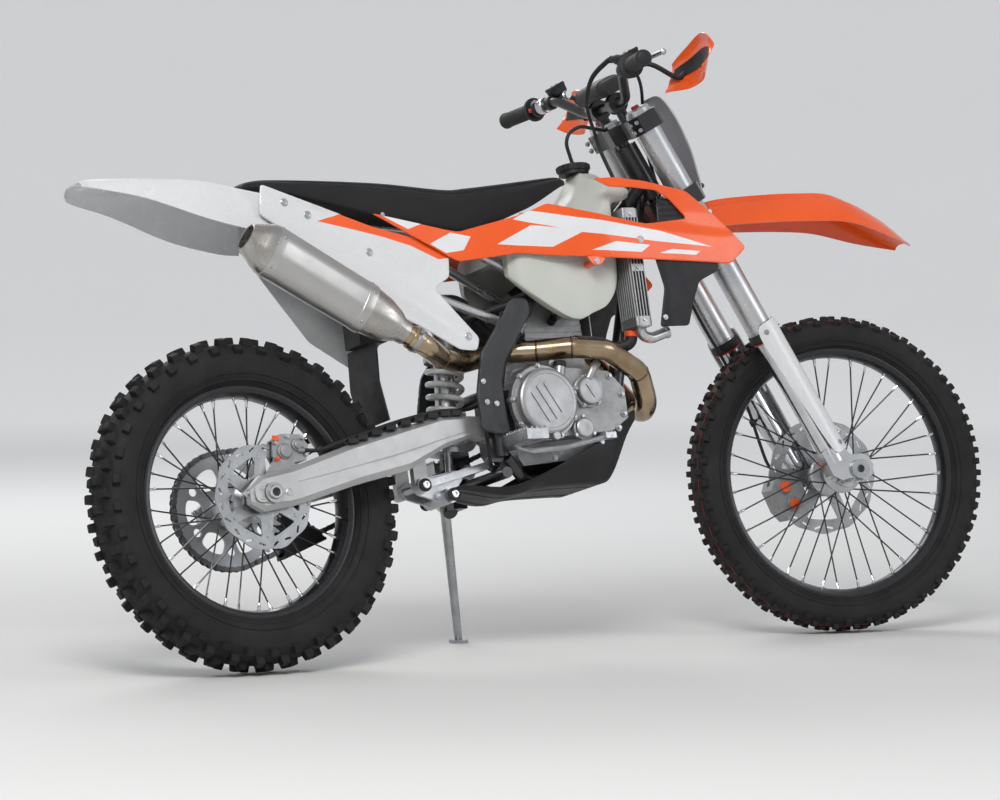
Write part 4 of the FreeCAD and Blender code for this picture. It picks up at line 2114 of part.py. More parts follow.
# The origin goes to the middle of the parked bike's outline, on the floor
box = FreeCAD.BoundBox()
for label, piece, frame_name in nodes:
    box.add(piece.Shape.BoundBox)
ORIGIN_SHIFT = Vector(-box.Center.x, -box.Center.y, 0)
for label, piece, frame_name in nodes:
    piece.Placement = Placement(ORIGIN_SHIFT, Rotation()).multiply(piece.Placement)
doc.recompute()

failed = []
for piece in doc.Objects:
    if "Invalid" in piece.State or "Error" in piece.State:
        failed.append("%s is %s" % (piece.Name, ", ".join(piece.State)))
for label, piece, frame_name in nodes:
    if piece.Shape.isNull() or not piece.Shape.isValid() or not piece.Shape.Solids:
        failed.append("%s has no valid shape" % label)
if failed:
    raise RuntimeError("; ".join(failed))

os.makedirs("parts", exist_ok=True)
for label, piece, frame_name in nodes:
    piece.Shape.exportStep(os.path.join("parts", label + ".step"))
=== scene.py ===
"""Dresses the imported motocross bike: camera, light, materials and the detailed pieces."""
import json
import math

import bmesh
import bpy
from mathutils import Matrix, Vector
from mathutils.geometry import delaunay_2d_cdt, tessellate_polygon


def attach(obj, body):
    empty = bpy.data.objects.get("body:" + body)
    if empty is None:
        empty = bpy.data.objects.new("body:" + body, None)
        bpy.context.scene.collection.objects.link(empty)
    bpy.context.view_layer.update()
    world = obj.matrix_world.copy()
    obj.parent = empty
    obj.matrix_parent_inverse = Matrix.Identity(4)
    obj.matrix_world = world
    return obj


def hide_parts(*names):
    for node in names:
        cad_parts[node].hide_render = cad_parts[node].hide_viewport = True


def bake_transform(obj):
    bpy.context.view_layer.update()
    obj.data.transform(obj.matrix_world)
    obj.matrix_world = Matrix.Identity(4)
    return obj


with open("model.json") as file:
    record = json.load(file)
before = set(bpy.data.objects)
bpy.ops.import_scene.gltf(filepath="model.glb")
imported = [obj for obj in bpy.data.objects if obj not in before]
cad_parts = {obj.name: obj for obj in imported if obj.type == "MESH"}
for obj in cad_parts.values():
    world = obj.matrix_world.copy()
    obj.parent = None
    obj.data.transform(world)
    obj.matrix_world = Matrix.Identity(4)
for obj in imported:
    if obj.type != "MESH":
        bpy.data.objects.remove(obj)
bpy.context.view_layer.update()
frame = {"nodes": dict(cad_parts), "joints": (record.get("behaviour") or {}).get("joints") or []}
nodes = frame["nodes"]
joints = {joint["name"]: joint for joint in frame["joints"]}
MM = 0.001

# The bike's own frames, worked out from its joints

RAKE = math.radians(26.5)
REAR_AXLE_HEIGHT = 0.341
STEER_FOOT = Vector((1.431, 0, 0.3236))


def joint_axis(name):
    return Vector(joints[name]["axis"]).normalized()


def axes_matrix(ahead, left, up, origin):
    rows = [(ahead[i], left[i], up[i], origin[i]) for i in range(3)]
    return Matrix(rows + [(0, 0, 0, 1)])


steer_up = joint_axis("steering")
rear_left = joint_axis("rear_wheel_spin")
front_left = joint_axis("front_wheel_spin")
steer_ahead = rear_left.cross(steer_up)
bike_ahead = steer_ahead * math.cos(RAKE) - steer_up * math.sin(RAKE)
bike_up = steer_ahead * math.sin(RAKE) + steer_up * math.cos(RAKE)
rear_spot = Vector(joints["rear_wheel_spin"]["pos_m"])
front_spot = Vector(joints["front_wheel_spin"]["pos_m"])
BIKE = axes_matrix(bike_ahead, rear_left, bike_up, rear_spot - bike_up * REAR_AXLE_HEIGHT)
FORK = axes_matrix(front_left.cross(steer_up), front_left, steer_up, BIKE @ STEER_FOOT)
steered_ahead = front_left.cross(steer_up)
LEVEL = axes_matrix(steered_ahead * math.cos(RAKE) - steer_up * math.sin(RAKE), front_left,
                    steered_ahead * math.sin(RAKE) + steer_up * math.cos(RAKE), BIKE @ STEER_FOOT)
REAR_WHEEL = axes_matrix(bike_ahead, rear_left, bike_up, rear_spot)
FRONT_WHEEL = axes_matrix(front_left.cross(steer_up), front_left, steer_up, front_spot)

# Camera, fitted to the photograph on the upright bike

CAMERA_SPOT = Vector((-3.93364, -7.21582, -0.81997))
CAMERA_RIGHT = Vector((0.84782, -0.51443, -0.12869))
CAMERA_UP = Vector((0.02648, -0.20130, 0.97917))
CAMERA_AHEAD = Vector((0.52962, 0.83357, 0.15704))
camera_data = bpy.data.cameras.new("camera")
camera_data.sensor_width = 36
camera_data.lens = 147.1
camera_data.shift_x = -0.0037
camera_data.clip_end = 200
camera = bpy.data.objects.new("camera", camera_data)
bpy.context.scene.collection.objects.link(camera)
camera.matrix_world = BIKE @ axes_matrix(CAMERA_RIGHT, CAMERA_UP, -CAMERA_AHEAD, CAMERA_SPOT)
bpy.context.scene.camera = camera
bpy.context.scene.view_settings.view_transform = "Standard"

# Node materials


def new_material(name):
    material = bpy.data.materials.new(name)
    material.use_nodes = True
    tree = material.node_tree
    return material, tree, tree.nodes["Principled BSDF"]


def set_input(node, name, value):
    if name in node.inputs:
        node.inputs[name].default_value = value


def coordinates(tree, stretch=(1, 1, 1), turn=(0, 0, 0)):
    place = tree.nodes.new("ShaderNodeTexCoord")
    mapping = tree.nodes.new("ShaderNodeMapping")
    mapping.inputs["Scale"].default_value = stretch
    mapping.inputs["Rotation"].default_value = turn
    tree.links.new(place.outputs["Object"], mapping.inputs["Vector"])
    return mapping.outputs["Vector"]


def noise(tree, vector, scale, detail=4, rough=0.55):
    texture = tree.nodes.new("ShaderNodeTexNoise")
    texture.inputs["Scale"].default_value = scale
    texture.inputs["Detail"].default_value = detail
    texture.inputs["Roughness"].default_value = rough
    tree.links.new(vector, texture.inputs["Vector"])
    return texture.outputs["Fac"]


def spread(tree, value, low, high, out_low, out_high):
    node = tree.nodes.new("ShaderNodeMapRange")
    node.inputs["From Min"].default_value = low
    node.inputs["From Max"].default_value = high
    node.inputs["To Min"].default_value = out_low
    node.inputs["To Max"].default_value = out_high
    tree.links.new(value, node.inputs["Value"])
    return node.outputs["Result"]


def blend_colours(tree, factor, first, second):
    node = tree.nodes.new("ShaderNodeMix")
    node.data_type = "RGBA"
    node.inputs["A"].default_value = (*first, 1)
    node.inputs["B"].default_value = (*second, 1)
    tree.links.new(factor, node.inputs["Factor"])
    return node.outputs["Result"]


def bump_of(tree, height, depth, strength=1.0, below=None):
    node = tree.nodes.new("ShaderNodeBump")
    node.inputs["Strength"].default_value = strength
    node.inputs["Distance"].default_value = depth
    tree.links.new(height, node.inputs["Height"])
    if below is not None:
        tree.links.new(below, node.inputs["Normal"])
    return node.outputs["Normal"]


def surface(name, colour, shade=None, rough=0.4, rough_spread=0.08, metal=0.0, grain=600, depth=0.0001, patch=9,
            coat=0.0, coat_rough=0.1, stretch=(1, 1, 1), sheen=0.0, specular=0.5):
    """A node material: two tones in soft patches, a fine grain in its bump and a little spread in its gloss."""
    material, tree, shader = new_material(name)
    shade = shade or tuple(part * 0.86 for part in colour)
    vector = coordinates(tree, stretch)
    patches = noise(tree, vector, patch, 5)
    tone = blend_colours(tree, spread(tree, patches, 0.35, 0.68, 0, 1), colour, shade)
    tree.links.new(tone, shader.inputs["Base Color"])
    fine = noise(tree, vector, grain, 3)
    gloss = spread(tree, noise(tree, vector, patch * 4, 6), 0.3, 0.7, rough - rough_spread, rough + rough_spread)
    tree.links.new(gloss, shader.inputs["Roughness"])
    tree.links.new(bump_of(tree, fine, depth), shader.inputs["Normal"])
    set_input(shader, "Metallic", metal)
    set_input(shader, "Coat Weight", coat)
    set_input(shader, "Coat Roughness", coat_rough)
    set_input(shader, "Sheen Weight", sheen)
    set_input(shader, "Specular IOR Level", specular)
    return material


ORANGE = (0.95, 0.115, 0.008)
WHITE = (0.74, 0.75, 0.765)
orange_plastic = surface("orange_plastic", ORANGE, (0.88, 0.095, 0.006), 0.24, 0.05, grain=900, depth=0.00003, coat=0.35)
white_plastic = surface("white_plastic", WHITE, (0.70, 0.715, 0.73), 0.26, 0.05, grain=900, depth=0.00003, coat=0.3)
black_plastic = surface("black_plastic", (0.010, 0.010, 0.011), (0.016, 0.016, 0.017), 0.48, 0.08, grain=1500, depth=0.0001,
                        specular=0.35)
grey_plastic = surface("grey_plastic", (0.032, 0.033, 0.036), (0.024, 0.025, 0.028), 0.5, 0.08, grain=1500, depth=0.00015)
pale_plastic = surface("pale_plastic", (0.56, 0.57, 0.60), (0.50, 0.51, 0.54), 0.5, 0.07, grain=1200, depth=0.0001)
seat_cover = surface("seat_cover", (0.008, 0.008, 0.009), (0.012, 0.012, 0.013), 0.66, 0.06, grain=1400, depth=0.0006,
                     sheen=0.05, specular=0.3)
tyre_rubber = surface("tyre_rubber", (0.011, 0.011, 0.0115), (0.020, 0.0195, 0.019), 0.72, 0.1, grain=420, depth=0.0004,
                      patch=14, specular=0.3)
soft_rubber = surface("soft_rubber", (0.010, 0.010, 0.011), (0.016, 0.016, 0.017), 0.62, 0.08, grain=900, depth=0.0002)
black_paint = surface("black_paint", (0.014, 0.014, 0.016), (0.020, 0.020, 0.022), 0.32, 0.06, grain=700, depth=0.00008,
                      coat=0.3)
rim_paint = surface("rim_paint", (0.012, 0.012, 0.014), (0.018, 0.018, 0.020), 0.30, 0.06, metal=0.3, grain=800,
                    depth=0.00005, coat=0.2)
red_paint = surface("red_paint", (0.62, 0.02, 0.012), None, 0.3, 0.05, grain=800, depth=0.00004, coat=0.3)
white_paint = surface("white_paint", (0.78, 0.78, 0.78), None, 0.28, 0.05, grain=600, depth=0.00005, coat=0.3)
satin_silver = surface("satin_silver", (0.56, 0.57, 0.58), (0.50, 0.51, 0.53), 0.30, 0.06, metal=0.85, grain=1400,
                       depth=0.00006)
cast_silver = surface("cast_silver", (0.38, 0.38, 0.385), (0.29, 0.29, 0.295), 0.44, 0.09, metal=0.75, grain=900,
                      depth=0.0005, patch=22)
arm_silver = surface("arm_silver", (0.56, 0.56, 0.56), (0.48, 0.48, 0.485), 0.40, 0.06, metal=0.7, grain=1200,
                     depth=0.0003, patch=12)
dark_cast = surface("dark_cast", (0.24, 0.245, 0.25), (0.17, 0.17, 0.175), 0.5, 0.1, metal=0.6, grain=900,
                    depth=0.0005, patch=25)
grey_steel = surface("grey_steel", (0.44, 0.45, 0.46), (0.34, 0.35, 0.36), 0.32, 0.08, metal=0.95, grain=1600,
                     depth=0.00006, patch=30)
bright_steel = surface("bright_steel", (0.72, 0.73, 0.74), (0.62, 0.63, 0.65), 0.16, 0.05, metal=1.0, grain=1500,
                       depth=0.00002, patch=20)
dark_steel = surface("dark_steel", (0.10, 0.10, 0.105), (0.06, 0.06, 0.065), 0.42, 0.1, metal=0.8, grain=1500,
                     depth=0.0001, patch=40)

NODE_LOOKS = {
    "rear_tyre": tyre_rubber, "front_tyre": tyre_rubber, "rear_rim": rim_paint, "front_rim": rim_paint,
    "rear_hub": satin_silver, "front_hub": satin_silver, "rear_spokes": black_paint, "front_spokes": black_paint,
    "rear_disc": grey_steel, "front_disc": grey_steel, "rear_sprocket": grey_steel,
    "fork_outer_tubes": satin_silver, "fork_legs": bright_steel, "front_axle": grey_steel,
    "triple_clamps": black_paint, "handlebar": black_paint, "grips": soft_rubber, "controls": satin_silver,
    "bar_pad": soft_rubber, "hand_guards": orange_plastic, "front_plate": pale_plastic,
    "fork_guards": white_plastic, "front_caliper": cast_silver, "front_fender": orange_plastic,
    "frame": black_paint, "subframe": satin_silver, "engine_case": cast_silver, "cylinder_head": cast_silver,
    "engine_covers": cast_silver, "exhaust_header": grey_steel, "silencer": satin_silver,
    "fuel_tank": pale_plastic, "fuel_cap": black_plastic, "seat": seat_cover, "shrouds": orange_plastic,
    "side_panels": white_plastic, "rear_fender": white_plastic, "mud_flap": black_plastic,
    "air_intake": black_plastic, "radiators": satin_silver, "radiator_guards": black_plastic,
    "frame_guards": grey_plastic, "skid_plate": black_plastic, "swingarm": arm_silver, "rear_axle": grey_steel,
    "shock_absorber": satin_silver, "shock_spring": white_paint, "linkage": satin_silver,
    "rear_caliper": cast_silver, "chain": dark_steel, "front_sprocket": grey_steel, "chain_guide": black_plastic,
    "foot_controls": grey_steel, "side_stand": grey_steel,
}
for node_name, look in NODE_LOOKS.items():
    if node_name in nodes:
        mesh = nodes[node_name].data
        mesh.materials.clear()
        mesh.materials.append(look)

# Mesh helpers, in millimetres in one of the bike's frames


class Shape:
    """Points and faces gathered from several forms, each with its material's number."""

    def __init__(self):
        self.points = []
        self.faces = []
        self.marks = []

    def add(self, form, mark=0, place=None):
        points, faces = form
        start = len(self.points)
        for point in points:
            point = Vector(point)
            self.points.append(place @ point if place is not None else point)
        for number, face in enumerate(faces):
            self.faces.append([start + index for index in face])
            self.marks.append(mark[number] if isinstance(mark, list) else mark)
        return self

    def mirror(self):
        """Adds the same forms on the other side of the bike."""
        count = len(self.points)
        self.points += [Vector((point.x, -point.y, point.z)) for point in self.points[:count]]
        for face, mark in list(zip(self.faces, self.marks)):
            self.faces.append([index + count for index in reversed(face)])
            self.marks.append(mark)
        return self

    def piece(self, name, place, looks, body, slot_name, replaces=(), angle=32, outward=True, weld=0):
        mesh = bpy.data.meshes.new(name)
        mesh.from_pydata([tuple(point) for point in self.points], [], self.faces)
        for look in looks if isinstance(looks, (list, tuple)) else [looks]:
            mesh.materials.append(look)
        mesh.polygons.foreach_set("material_index", self.marks)
        if outward or weld:
            edit = bmesh.new()
            edit.from_mesh(mesh)
            if weld:
                bmesh.ops.remove_doubles(edit, verts=edit.verts, dist=weld)
            bmesh.ops.recalc_face_normals(edit, faces=edit.faces)
            edit.to_mesh(mesh)
            edit.free()
        mesh.transform(place @ Matrix.Scale(MM, 4))
        mesh.shade_smooth()
        mesh.set_sharp_from_angle(angle=math.radians(angle))
        thing = bpy.data.objects.new(name, mesh)
        bpy.context.scene.collection.objects.link(thing)
        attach(thing, body)
        if replaces:
            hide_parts(*replaces)
        return thing


def loop_loft(rings, closed_ends=True, closed_way=False):
    """Quads between closed rings of equal count."""
    count = len(rings[0])
    points = [point for ring in rings for point in ring]
    faces = []
    last = len(rings) if closed_way else len(rings) - 1
    for row in range(last):
        low = row * count
        high = ((row + 1) % len(rings)) * count
        for index in range(count):
            step = (index + 1) % count
            faces.append([low + index, low + step, high + step, high + index])
    if closed_ends and not closed_way:
        faces.append(list(range(count))[::-1])
        faces.append([len(points) - count + index for index in range(count)])
    return points, faces


def turned(section, steps=96, closed=True, low=0.0, high=1.0):
    """A section of (radius, out) pairs turned about Y, whole or in part."""
    rings = []
    whole = high - low >= 1.0
    for step in range(steps if whole else steps + 1):
        angle = 2 * math.pi * (low + (high - low) * step / steps)
        rings.append([Vector((radius * math.cos(angle), out, radius * math.sin(angle))) for radius, out in section])
    if closed:
        return loop_loft(rings, closed_ends=not whole, closed_way=whole)
    count = len(section)
    points = [point for ring in rings for point in ring]
    faces = []
    for row in range(len(rings) if whole else len(rings) - 1):
        base = row * count
        upper = ((row + 1) % len(rings)) * count
        for index in range(count - 1):
            faces.append([base + index, base + index + 1, upper + index + 1, upper + index])
    return points, faces


def side_axes(direction):
    direction = Vector(direction).normalized()
    helper = Vector((0, 0, 1)) if abs(direction.z) < 0.9 else Vector((1, 0, 0))
    across = direction.cross(helper).normalized()
    return across, direction.cross(across).normalized()


def spool(start, end, profile, sides=24):
    """A turned form along a line: the profile is (share along, radius) pairs."""
    start, end = Vector(start), Vector(end)
    across, up = side_axes(end - start)
    rings = []
    for share, radius in profile:
        centre = start + (end - start) * share
        rings.append([centre + across * (radius * math.cos(2 * math.pi * number / sides))
                      + up * (radius * math.sin(2 * math.pi * number / sides)) for number in range(sides)])
    return loop_loft(rings)


def rod(start, end, radius, sides=20, edge=0.0):
    length = (Vector(end) - Vector(start)).length
    if edge and length > 2 * edge:
        share = edge / length
        return spool(start, end, [(0, radius - edge), (share, radius), (1 - share, radius), (1, radius - edge)], sides)
    return spool(start, end, [(0, radius), (1, radius)], sides)


def bolt(spot, way, radius, height, sides=6):
    """A hexagon head on a round washer face."""
    spot, way = Vector(spot), Vector(way).normalized()
    points, faces = spool(spot, spot + way * height * 0.25, [(0, radius * 1.12), (1, radius * 1.12)], 16)
    head = spool(spot + way * height * 0.25, spot + way * height, [(0, radius), (0.8, radius), (1, radius * 0.86)], sides)
    start = len(points)
    return points + head[0], faces + [[start + index for index in face] for face in head[1]]


def cap_screw(spot, way, radius, height):
    """A round head with its socket."""
    spot, way = Vector(spot), Vector(way).normalized()
    profile = [(0, radius), (0.82, radius), (1, radius * 0.86), (1, radius * 0.5), (0.45, radius * 0.5), (0.45, radius * 0.02)]
    return spool(spot, spot + way * height, profile, 14)


def sweep(path, radii, sides=14, flat=1.0, up_hint=None, closed=False):
    """A tube along sampled points, with a radius for each or one for all."""
    path = [Vector(point) for point in path]
    count = len(path)
    if not isinstance(radii, (list, tuple)):
        radii = [radii] * count
    rings = []
    normal = None
    for index, point in enumerate(path):
        before = path[index - 1] if index or closed else path[index]
        after = path[(index + 1) % count] if index < count - 1 or closed else path[index]
        way = (after - before).normalized()
        if normal is None:
            normal = Vector(up_hint) if up_hint else side_axes(way)[0]
        normal = (normal - way * normal.dot(way)).normalized()
        across = way.cross(normal)
        ring = []
        for number in range(sides):
            angle = 2 * math.pi * number / sides
            ring.append(point + normal * (radii[index] * math.cos(angle)) + across * (radii[index] * flat * math.sin(angle)))
        rings.append(ring)
    return loop_loft(rings, closed_way=closed)


def curve_through(points, steps=8, closed=False):
    """Smooth points through the given ones."""
    points = [Vector(point) for point in points]
    count = len(points)
    smooth = []
    for index in range(count if closed else count - 1):
        p1, p2 = points[index], points[(index + 1) % count]
        p0 = points[index - 1] if index or closed else p1 * 2 - p2
        p3 = points[(index + 2) % count] if index + 2 < count or closed else p2 * 2 - p1
        for step in range(steps):
            t = step / steps
            smooth.append(0.5 * ((2 * p1) + (p2 - p0) * t + (2 * p0 - 5 * p1 + 4 * p2 - p3) * t * t
                                 + (3 * p1 - p0 - 3 * p2 + p3) * t ** 3))
    if not closed:
        smooth.append(points[-1])
    return smooth


def arc_route(points, bend, steps=6):
    """Straight runs joined by tangent arcs, as a tube bender makes them."""
    points = [Vector(point) for point in points]
    path = [points[0]]
    for before, corner, after in zip(points, points[1:], points[2:]):
        back = (before - corner).normalized()
        ahead = (after - corner).normalized()
        turn = math.pi - back.angle(ahead)
        trim = min(bend * math.tan(turn / 2), min((before - corner).length, (after - corner).length) * 0.48)
        radius = trim / math.tan(turn / 2)
        middle_way = (back + ahead).normalized()
        centre = corner + middle_way * (radius / math.cos(turn / 2))
        start = corner + back * trim
        end = corner + ahead * trim
        for step in range(steps + 1):
            way = (start - centre).lerp(end - centre, step / steps).normalized()
            path.append(centre + way * radius)
    path.append(points[-1])
    return path


def plate(outline, holes, low, high, way="Y", edge=0.0):
    """A flat plate with holes: the outline and holes are 2D loops, the thickness runs along an axis."""
    loops = [outline] + list(holes)
    flat = [[Vector((point[0], point[1], 0)) for point in loop] for loop in loops]
    triangles = tessellate_polygon(flat)
    ring_points = [point for loop in flat for point in loop]
    count = len(ring_points)

    def lift(point, out):
        if way == "Y":
            return Vector((point.x, out, point.y))
        if way == "X":
            return Vector((out, point.x, point.y))
        return Vector((point.x, point.y, out))

    points = [lift(point, low) for point in ring_points] + [lift(point, high) for point in ring_points]
    faces = [list(triangle) for triangle in triangles]
    faces += [[index + count for index in reversed(triangle)] for triangle in triangles]
    start = 0
    for loop in flat:
        size_of = len(loop)
        for index in range(size_of):
            step = (index + 1) % size_of
            faces.append([start + index, start + step, start + step + count, start + index + count])
        start += size_of
    return points, faces


def circle(centre, radius, count=24, start=0.0, squeeze=1.0):
    return [(centre[0] + radius * math.cos(start + 2 * math.pi * number / count),
             centre[1] + radius * squeeze * math.sin(start + 2 * math.pi * number / count)) for number in range(count)]


def rounded(outline, radius, steps=4):
    """A 2D outline with its corners rounded."""
    result = []
    count = len(outline)
    for index in range(count):
        before = Vector(outline[index - 1])
        corner = Vector(outline[index])
        after = Vector(outline[(index + 1) % count])
        back = before - corner
        ahead = after - corner
        trim = min(radius, back.length * 0.48, ahead.length * 0.48)
        start = corner + back.normalized() * trim
        end = corner + ahead.normalized() * trim
        for step in range(steps + 1):
            t = step / steps
            result.append(tuple(start * (1 - t) ** 2 + corner * 2 * t * (1 - t) + end * t * t))
    return result


# Wheels

TYRE_PROFILE = [(0.0, 0.56), (0.05, 0.66), (0.16, 0.80), (0.32, 0.90), (0.50, 0.93), (0.66, 0.89), (0.80, 0.72),
                (0.865, 0.42), (0.885, 0.0)]


def tyre_carcass(tip, half, bead):
    """The right half profile from bead to crown, sampled smoothly, then mirrored to the other bead."""
    knots = [Vector((bead + up * (tip - bead), out * half, 0)) for up, out in TYRE_PROFILE]
    crown = knots[:-1] + [Vector((bead + 0.885 * (tip - bead), 0, 0))] + [Vector((k.x, -k.y, 0)) for k in knots[-2::-1]]
    return [(point.x, point.y) for point in curve_through(crown, 5)]


def profile_spot(profile, out):
    """Where the carcass stands at a place across the tread, measured along its surface from the crown."""
    middle = len(profile) // 2
    step = -1 if out > 0 else 1
    left = abs(out)
    index = middle
    while 0 < index + step < len(profile) - 1:
        here, there = Vector(profile[index]), Vector(profile[index + step])
        run = (there - here).length
        if run >= left:
            point = here.lerp(there, left / run)
            way = (there - here).normalized()
            normal = Vector((abs(way.y), way.x * (1 if way.y < 0 else -1)))
            if out < 0:
                normal = Vector((abs(way.y), -way.x * (1 if way.y > 0 else -1)))
            return point, normal.normalized(), way
        left -= run
        index += step
    return Vector(profile[index]), Vector((0.6, 0.8 if out > 0 else -0.8)), Vector((-1, 0))


def tyre(name, tip, half, bead, rim_half, count, rows, place, body, trace=None):
    shape = Shape()
    profile = tyre_carcass(tip, half, bead)
    inner = [(bead - 6, -(rim_half - 5)), (bead - 6, rim_half - 5)]
    shape.add(turned(profile + inner, 180))
    for side in (-1, 1):
        for up, out in ((0.10, 0.735), (0.235, 0.86)):
            radius = bead + up * (tip - bead)
            ring = [(radius - 2.2, side * (out * half - 2)), (radius - 1.4, side * (out * half + 1.5)),
                    (radius + 1.4, side * (out * half + 1.9)), (radius + 2.2, side * (out * half - 2))]
            shape.add(turned(ring, 180))
    for out, half_wide, half_long, height, phase, skew in rows:
        for side in (-1, 1) if out else (1,):
            spot, normal, way = profile_spot(profile, side * out)
            across = Vector((-normal.y, normal.x))
            for number in range(count):
                turn = 2 * math.pi * (number + phase) / count
                turn_matrix = Matrix.Rotation(-turn, 4, "Y")
                rings = []
                for up, scale in ((-4.0, 1.08), (height - 1.6, 0.97), (height, 0.84)):
                    ring = []
                    for a, b in ((-1, -1), (1, -1), (1, 1), (-1, 1)):
                        base = spot + normal * up + across * (a * half_wide * scale)
                        along = b * half_long * scale + skew * a * side * half_wide * 0.3
                        ring.append(turn_matrix @ Vector((base.x, base.y, along)))
                    rings.append(ring)
                shape.add(loop_loft(rings))
    looks = [tyre_rubber]
    if trace:
        looks.append(trace)
        for out in (18, -18):
            spot, normal, way = profile_spot(profile, out)
            shape.add(turned([(spot.x - 1, spot.y - 1.5), (spot.x + 1.0, spot.y), (spot.x - 1, spot.y + 1.5)], 180), 1)
    return shape.piece(name, place, looks, body, "tyre_rubber", [name.replace("_detail", "")], angle=28)


red_trace = surface("red_trace", (0.35, 0.02, 0.015), (0.10, 0.012, 0.010), 0.7, 0.1, grain=400, depth=0.0003)
REAR_ROWS = [(12.5, 9.5, 8.5, 13.0, 0.0, 0.2), (35.0, 9.5, 9.0, 13.5, 0.5, -0.2), (56.0, 7.5, 9.5, 10.5, 0.0, 0.0)]
tyre("rear_tyre_detail", 341, 56, 240, 31, 36, REAR_ROWS, REAR_WHEEL, "rear_wheel")
FRONT_ROWS = [(9.0, 6.5, 6.5, 8.8, 0.0, 0.3), (25.0, 6.5, 6.5, 9.2, 0.5, -0.3), (39.5, 6.0, 7.0, 8.5, 0.0, 0.0)]
tyre("front_tyre_detail", 349, 45, 277, 24, 42, FRONT_ROWS, FRONT_WHEEL, "front_wheel", red_trace)


def rim(name, bead, opening, half, place, body, node):
    """An extruded rim with rounded hooks and a dropped centre."""
    section = [(opening, half * 0.42), (opening + 2, half * 0.62), (opening + 6, half * 0.92), (bead - 8, half * 0.985),
               (bead - 2, half), (bead + 0.6, half - 0.8), (bead, half - 3.2), (bead - 7, half - 3.6),
               (bead - 9, half - 5), (opening + 8, half * 0.45)]
    whole = section + [(radius, -out) for radius, out in section[::-1]]
    shape = Shape()
    shape.add(turned(whole, 180))
    for number in range(36):
        angle = 2 * math.pi * number / 36
        side = 1 if number % 2 == 0 else -1
        way = Vector((math.cos(angle), 0, math.sin(angle)))
        spot = way * (opening - 0.6) + Vector((0, side * half * 0.25, 0))
        shape.add(rod(spot, spot + way * 3, 5.2, 12), 0)
    return shape.piece(name, place, [rim_paint], body, "black_paint", [node], angle=35)


rim("rear_rim_detail", 240, 220, 31, REAR_WHEEL, "rear_wheel", "rear_rim")
rim("front_rim_detail", 277, 257.4, 24, FRONT_WHEEL, "front_wheel", "front_rim")


def spokes(name, flange, opening, out, rim_half, place, body, node):
    """Round spokes laced both ways, each with its bright nipple."""
    shape = Shape()
    step = 2 * math.pi / 36
    for number in range(36):
        side = 1 if number % 2 == 0 else -1
        way = 1 if number % 4 < 2 else -1
        hub_angle = (number - 3.2 * way) * step
        rim_angle = number * step
        start_out = side * (out - 3.5 + (-2.6 if way > 0 else 2.6))
        start = Vector((flange * math.cos(hub_angle), start_out, flange * math.sin(hub_angle)))
        end = Vector((opening * math.cos(rim_angle), side * rim_half * 0.25, opening * math.sin(rim_angle)))
        along = (end - start).normalized()
        shape.add(rod(start + along * 1.2, end - along * 14, 1.75, 8), 0)
        shape.add(spool(end - along * 17, end + along * 1.0, [(0, 2.2), (0.06, 3.0), (0.6, 3.2), (0.75, 3.9), (1, 3.9)], 8), 1)
    return shape.piece(name, place, [black_paint, bright_steel], body, "black_paint", [node], angle=40)


spokes("rear_spokes_detail", 45.6, 220, 38.1, 31, REAR_WHEEL, "rear_wheel", "rear_spokes")
spokes("front_spokes_detail", 46.6, 257.4, 37.8, 24, FRONT_WHEEL, "front_wheel", "front_spokes")


def hub(name, barrel, flange, left_face, right_face, flange_out, place, body, node):
    section = []
    for side, face in ((1, left_face), (-1, right_face)):
        part = [(12.7, face), (35, face), (36, face - 1), (36, face - 7), (barrel + 8, face - 10),
                (barrel + 2, flange_out + 6), (flange - 6, flange_out + 2), (flange - 1, flange_out), (flange, flange_out - 1),
                (flange, flange_out - 6), (flange - 1, flange_out - 7), (flange - 7, flange_out - 9),
                (barrel + 1.5, flange_out - 14), (barrel, flange_out - 20)]
        part = [(radius, side * out) for radius, out in part]
        section += part if side == 1 else part[::-1]
    shape = Shape()
    shape.add(turned(section, 72))
    for side, face in ((1, left_face), (-1, right_face)):
        for number in range(6):
            angle = 2 * math.pi * (number + 0.5) / 6
            spot = Vector((30 * math.cos(angle), side * face, 30 * math.sin(angle)))
            shape.add(rod(spot - Vector((0, side * 6, 0)), spot, 4.5, 12))
    return shape.piece(name, place, [satin_silver], body, "silver_aluminium", [node], angle=35)


hub("rear_hub_detail", 27, 45, 74.7, 82.0, 38.1, REAR_WHEEL, "rear_wheel", "rear_hub")
hub("front_hub_detail", 24, 46, 67.0, 67.0, 37.8, FRONT_WHEEL, "front_wheel", "front_hub")


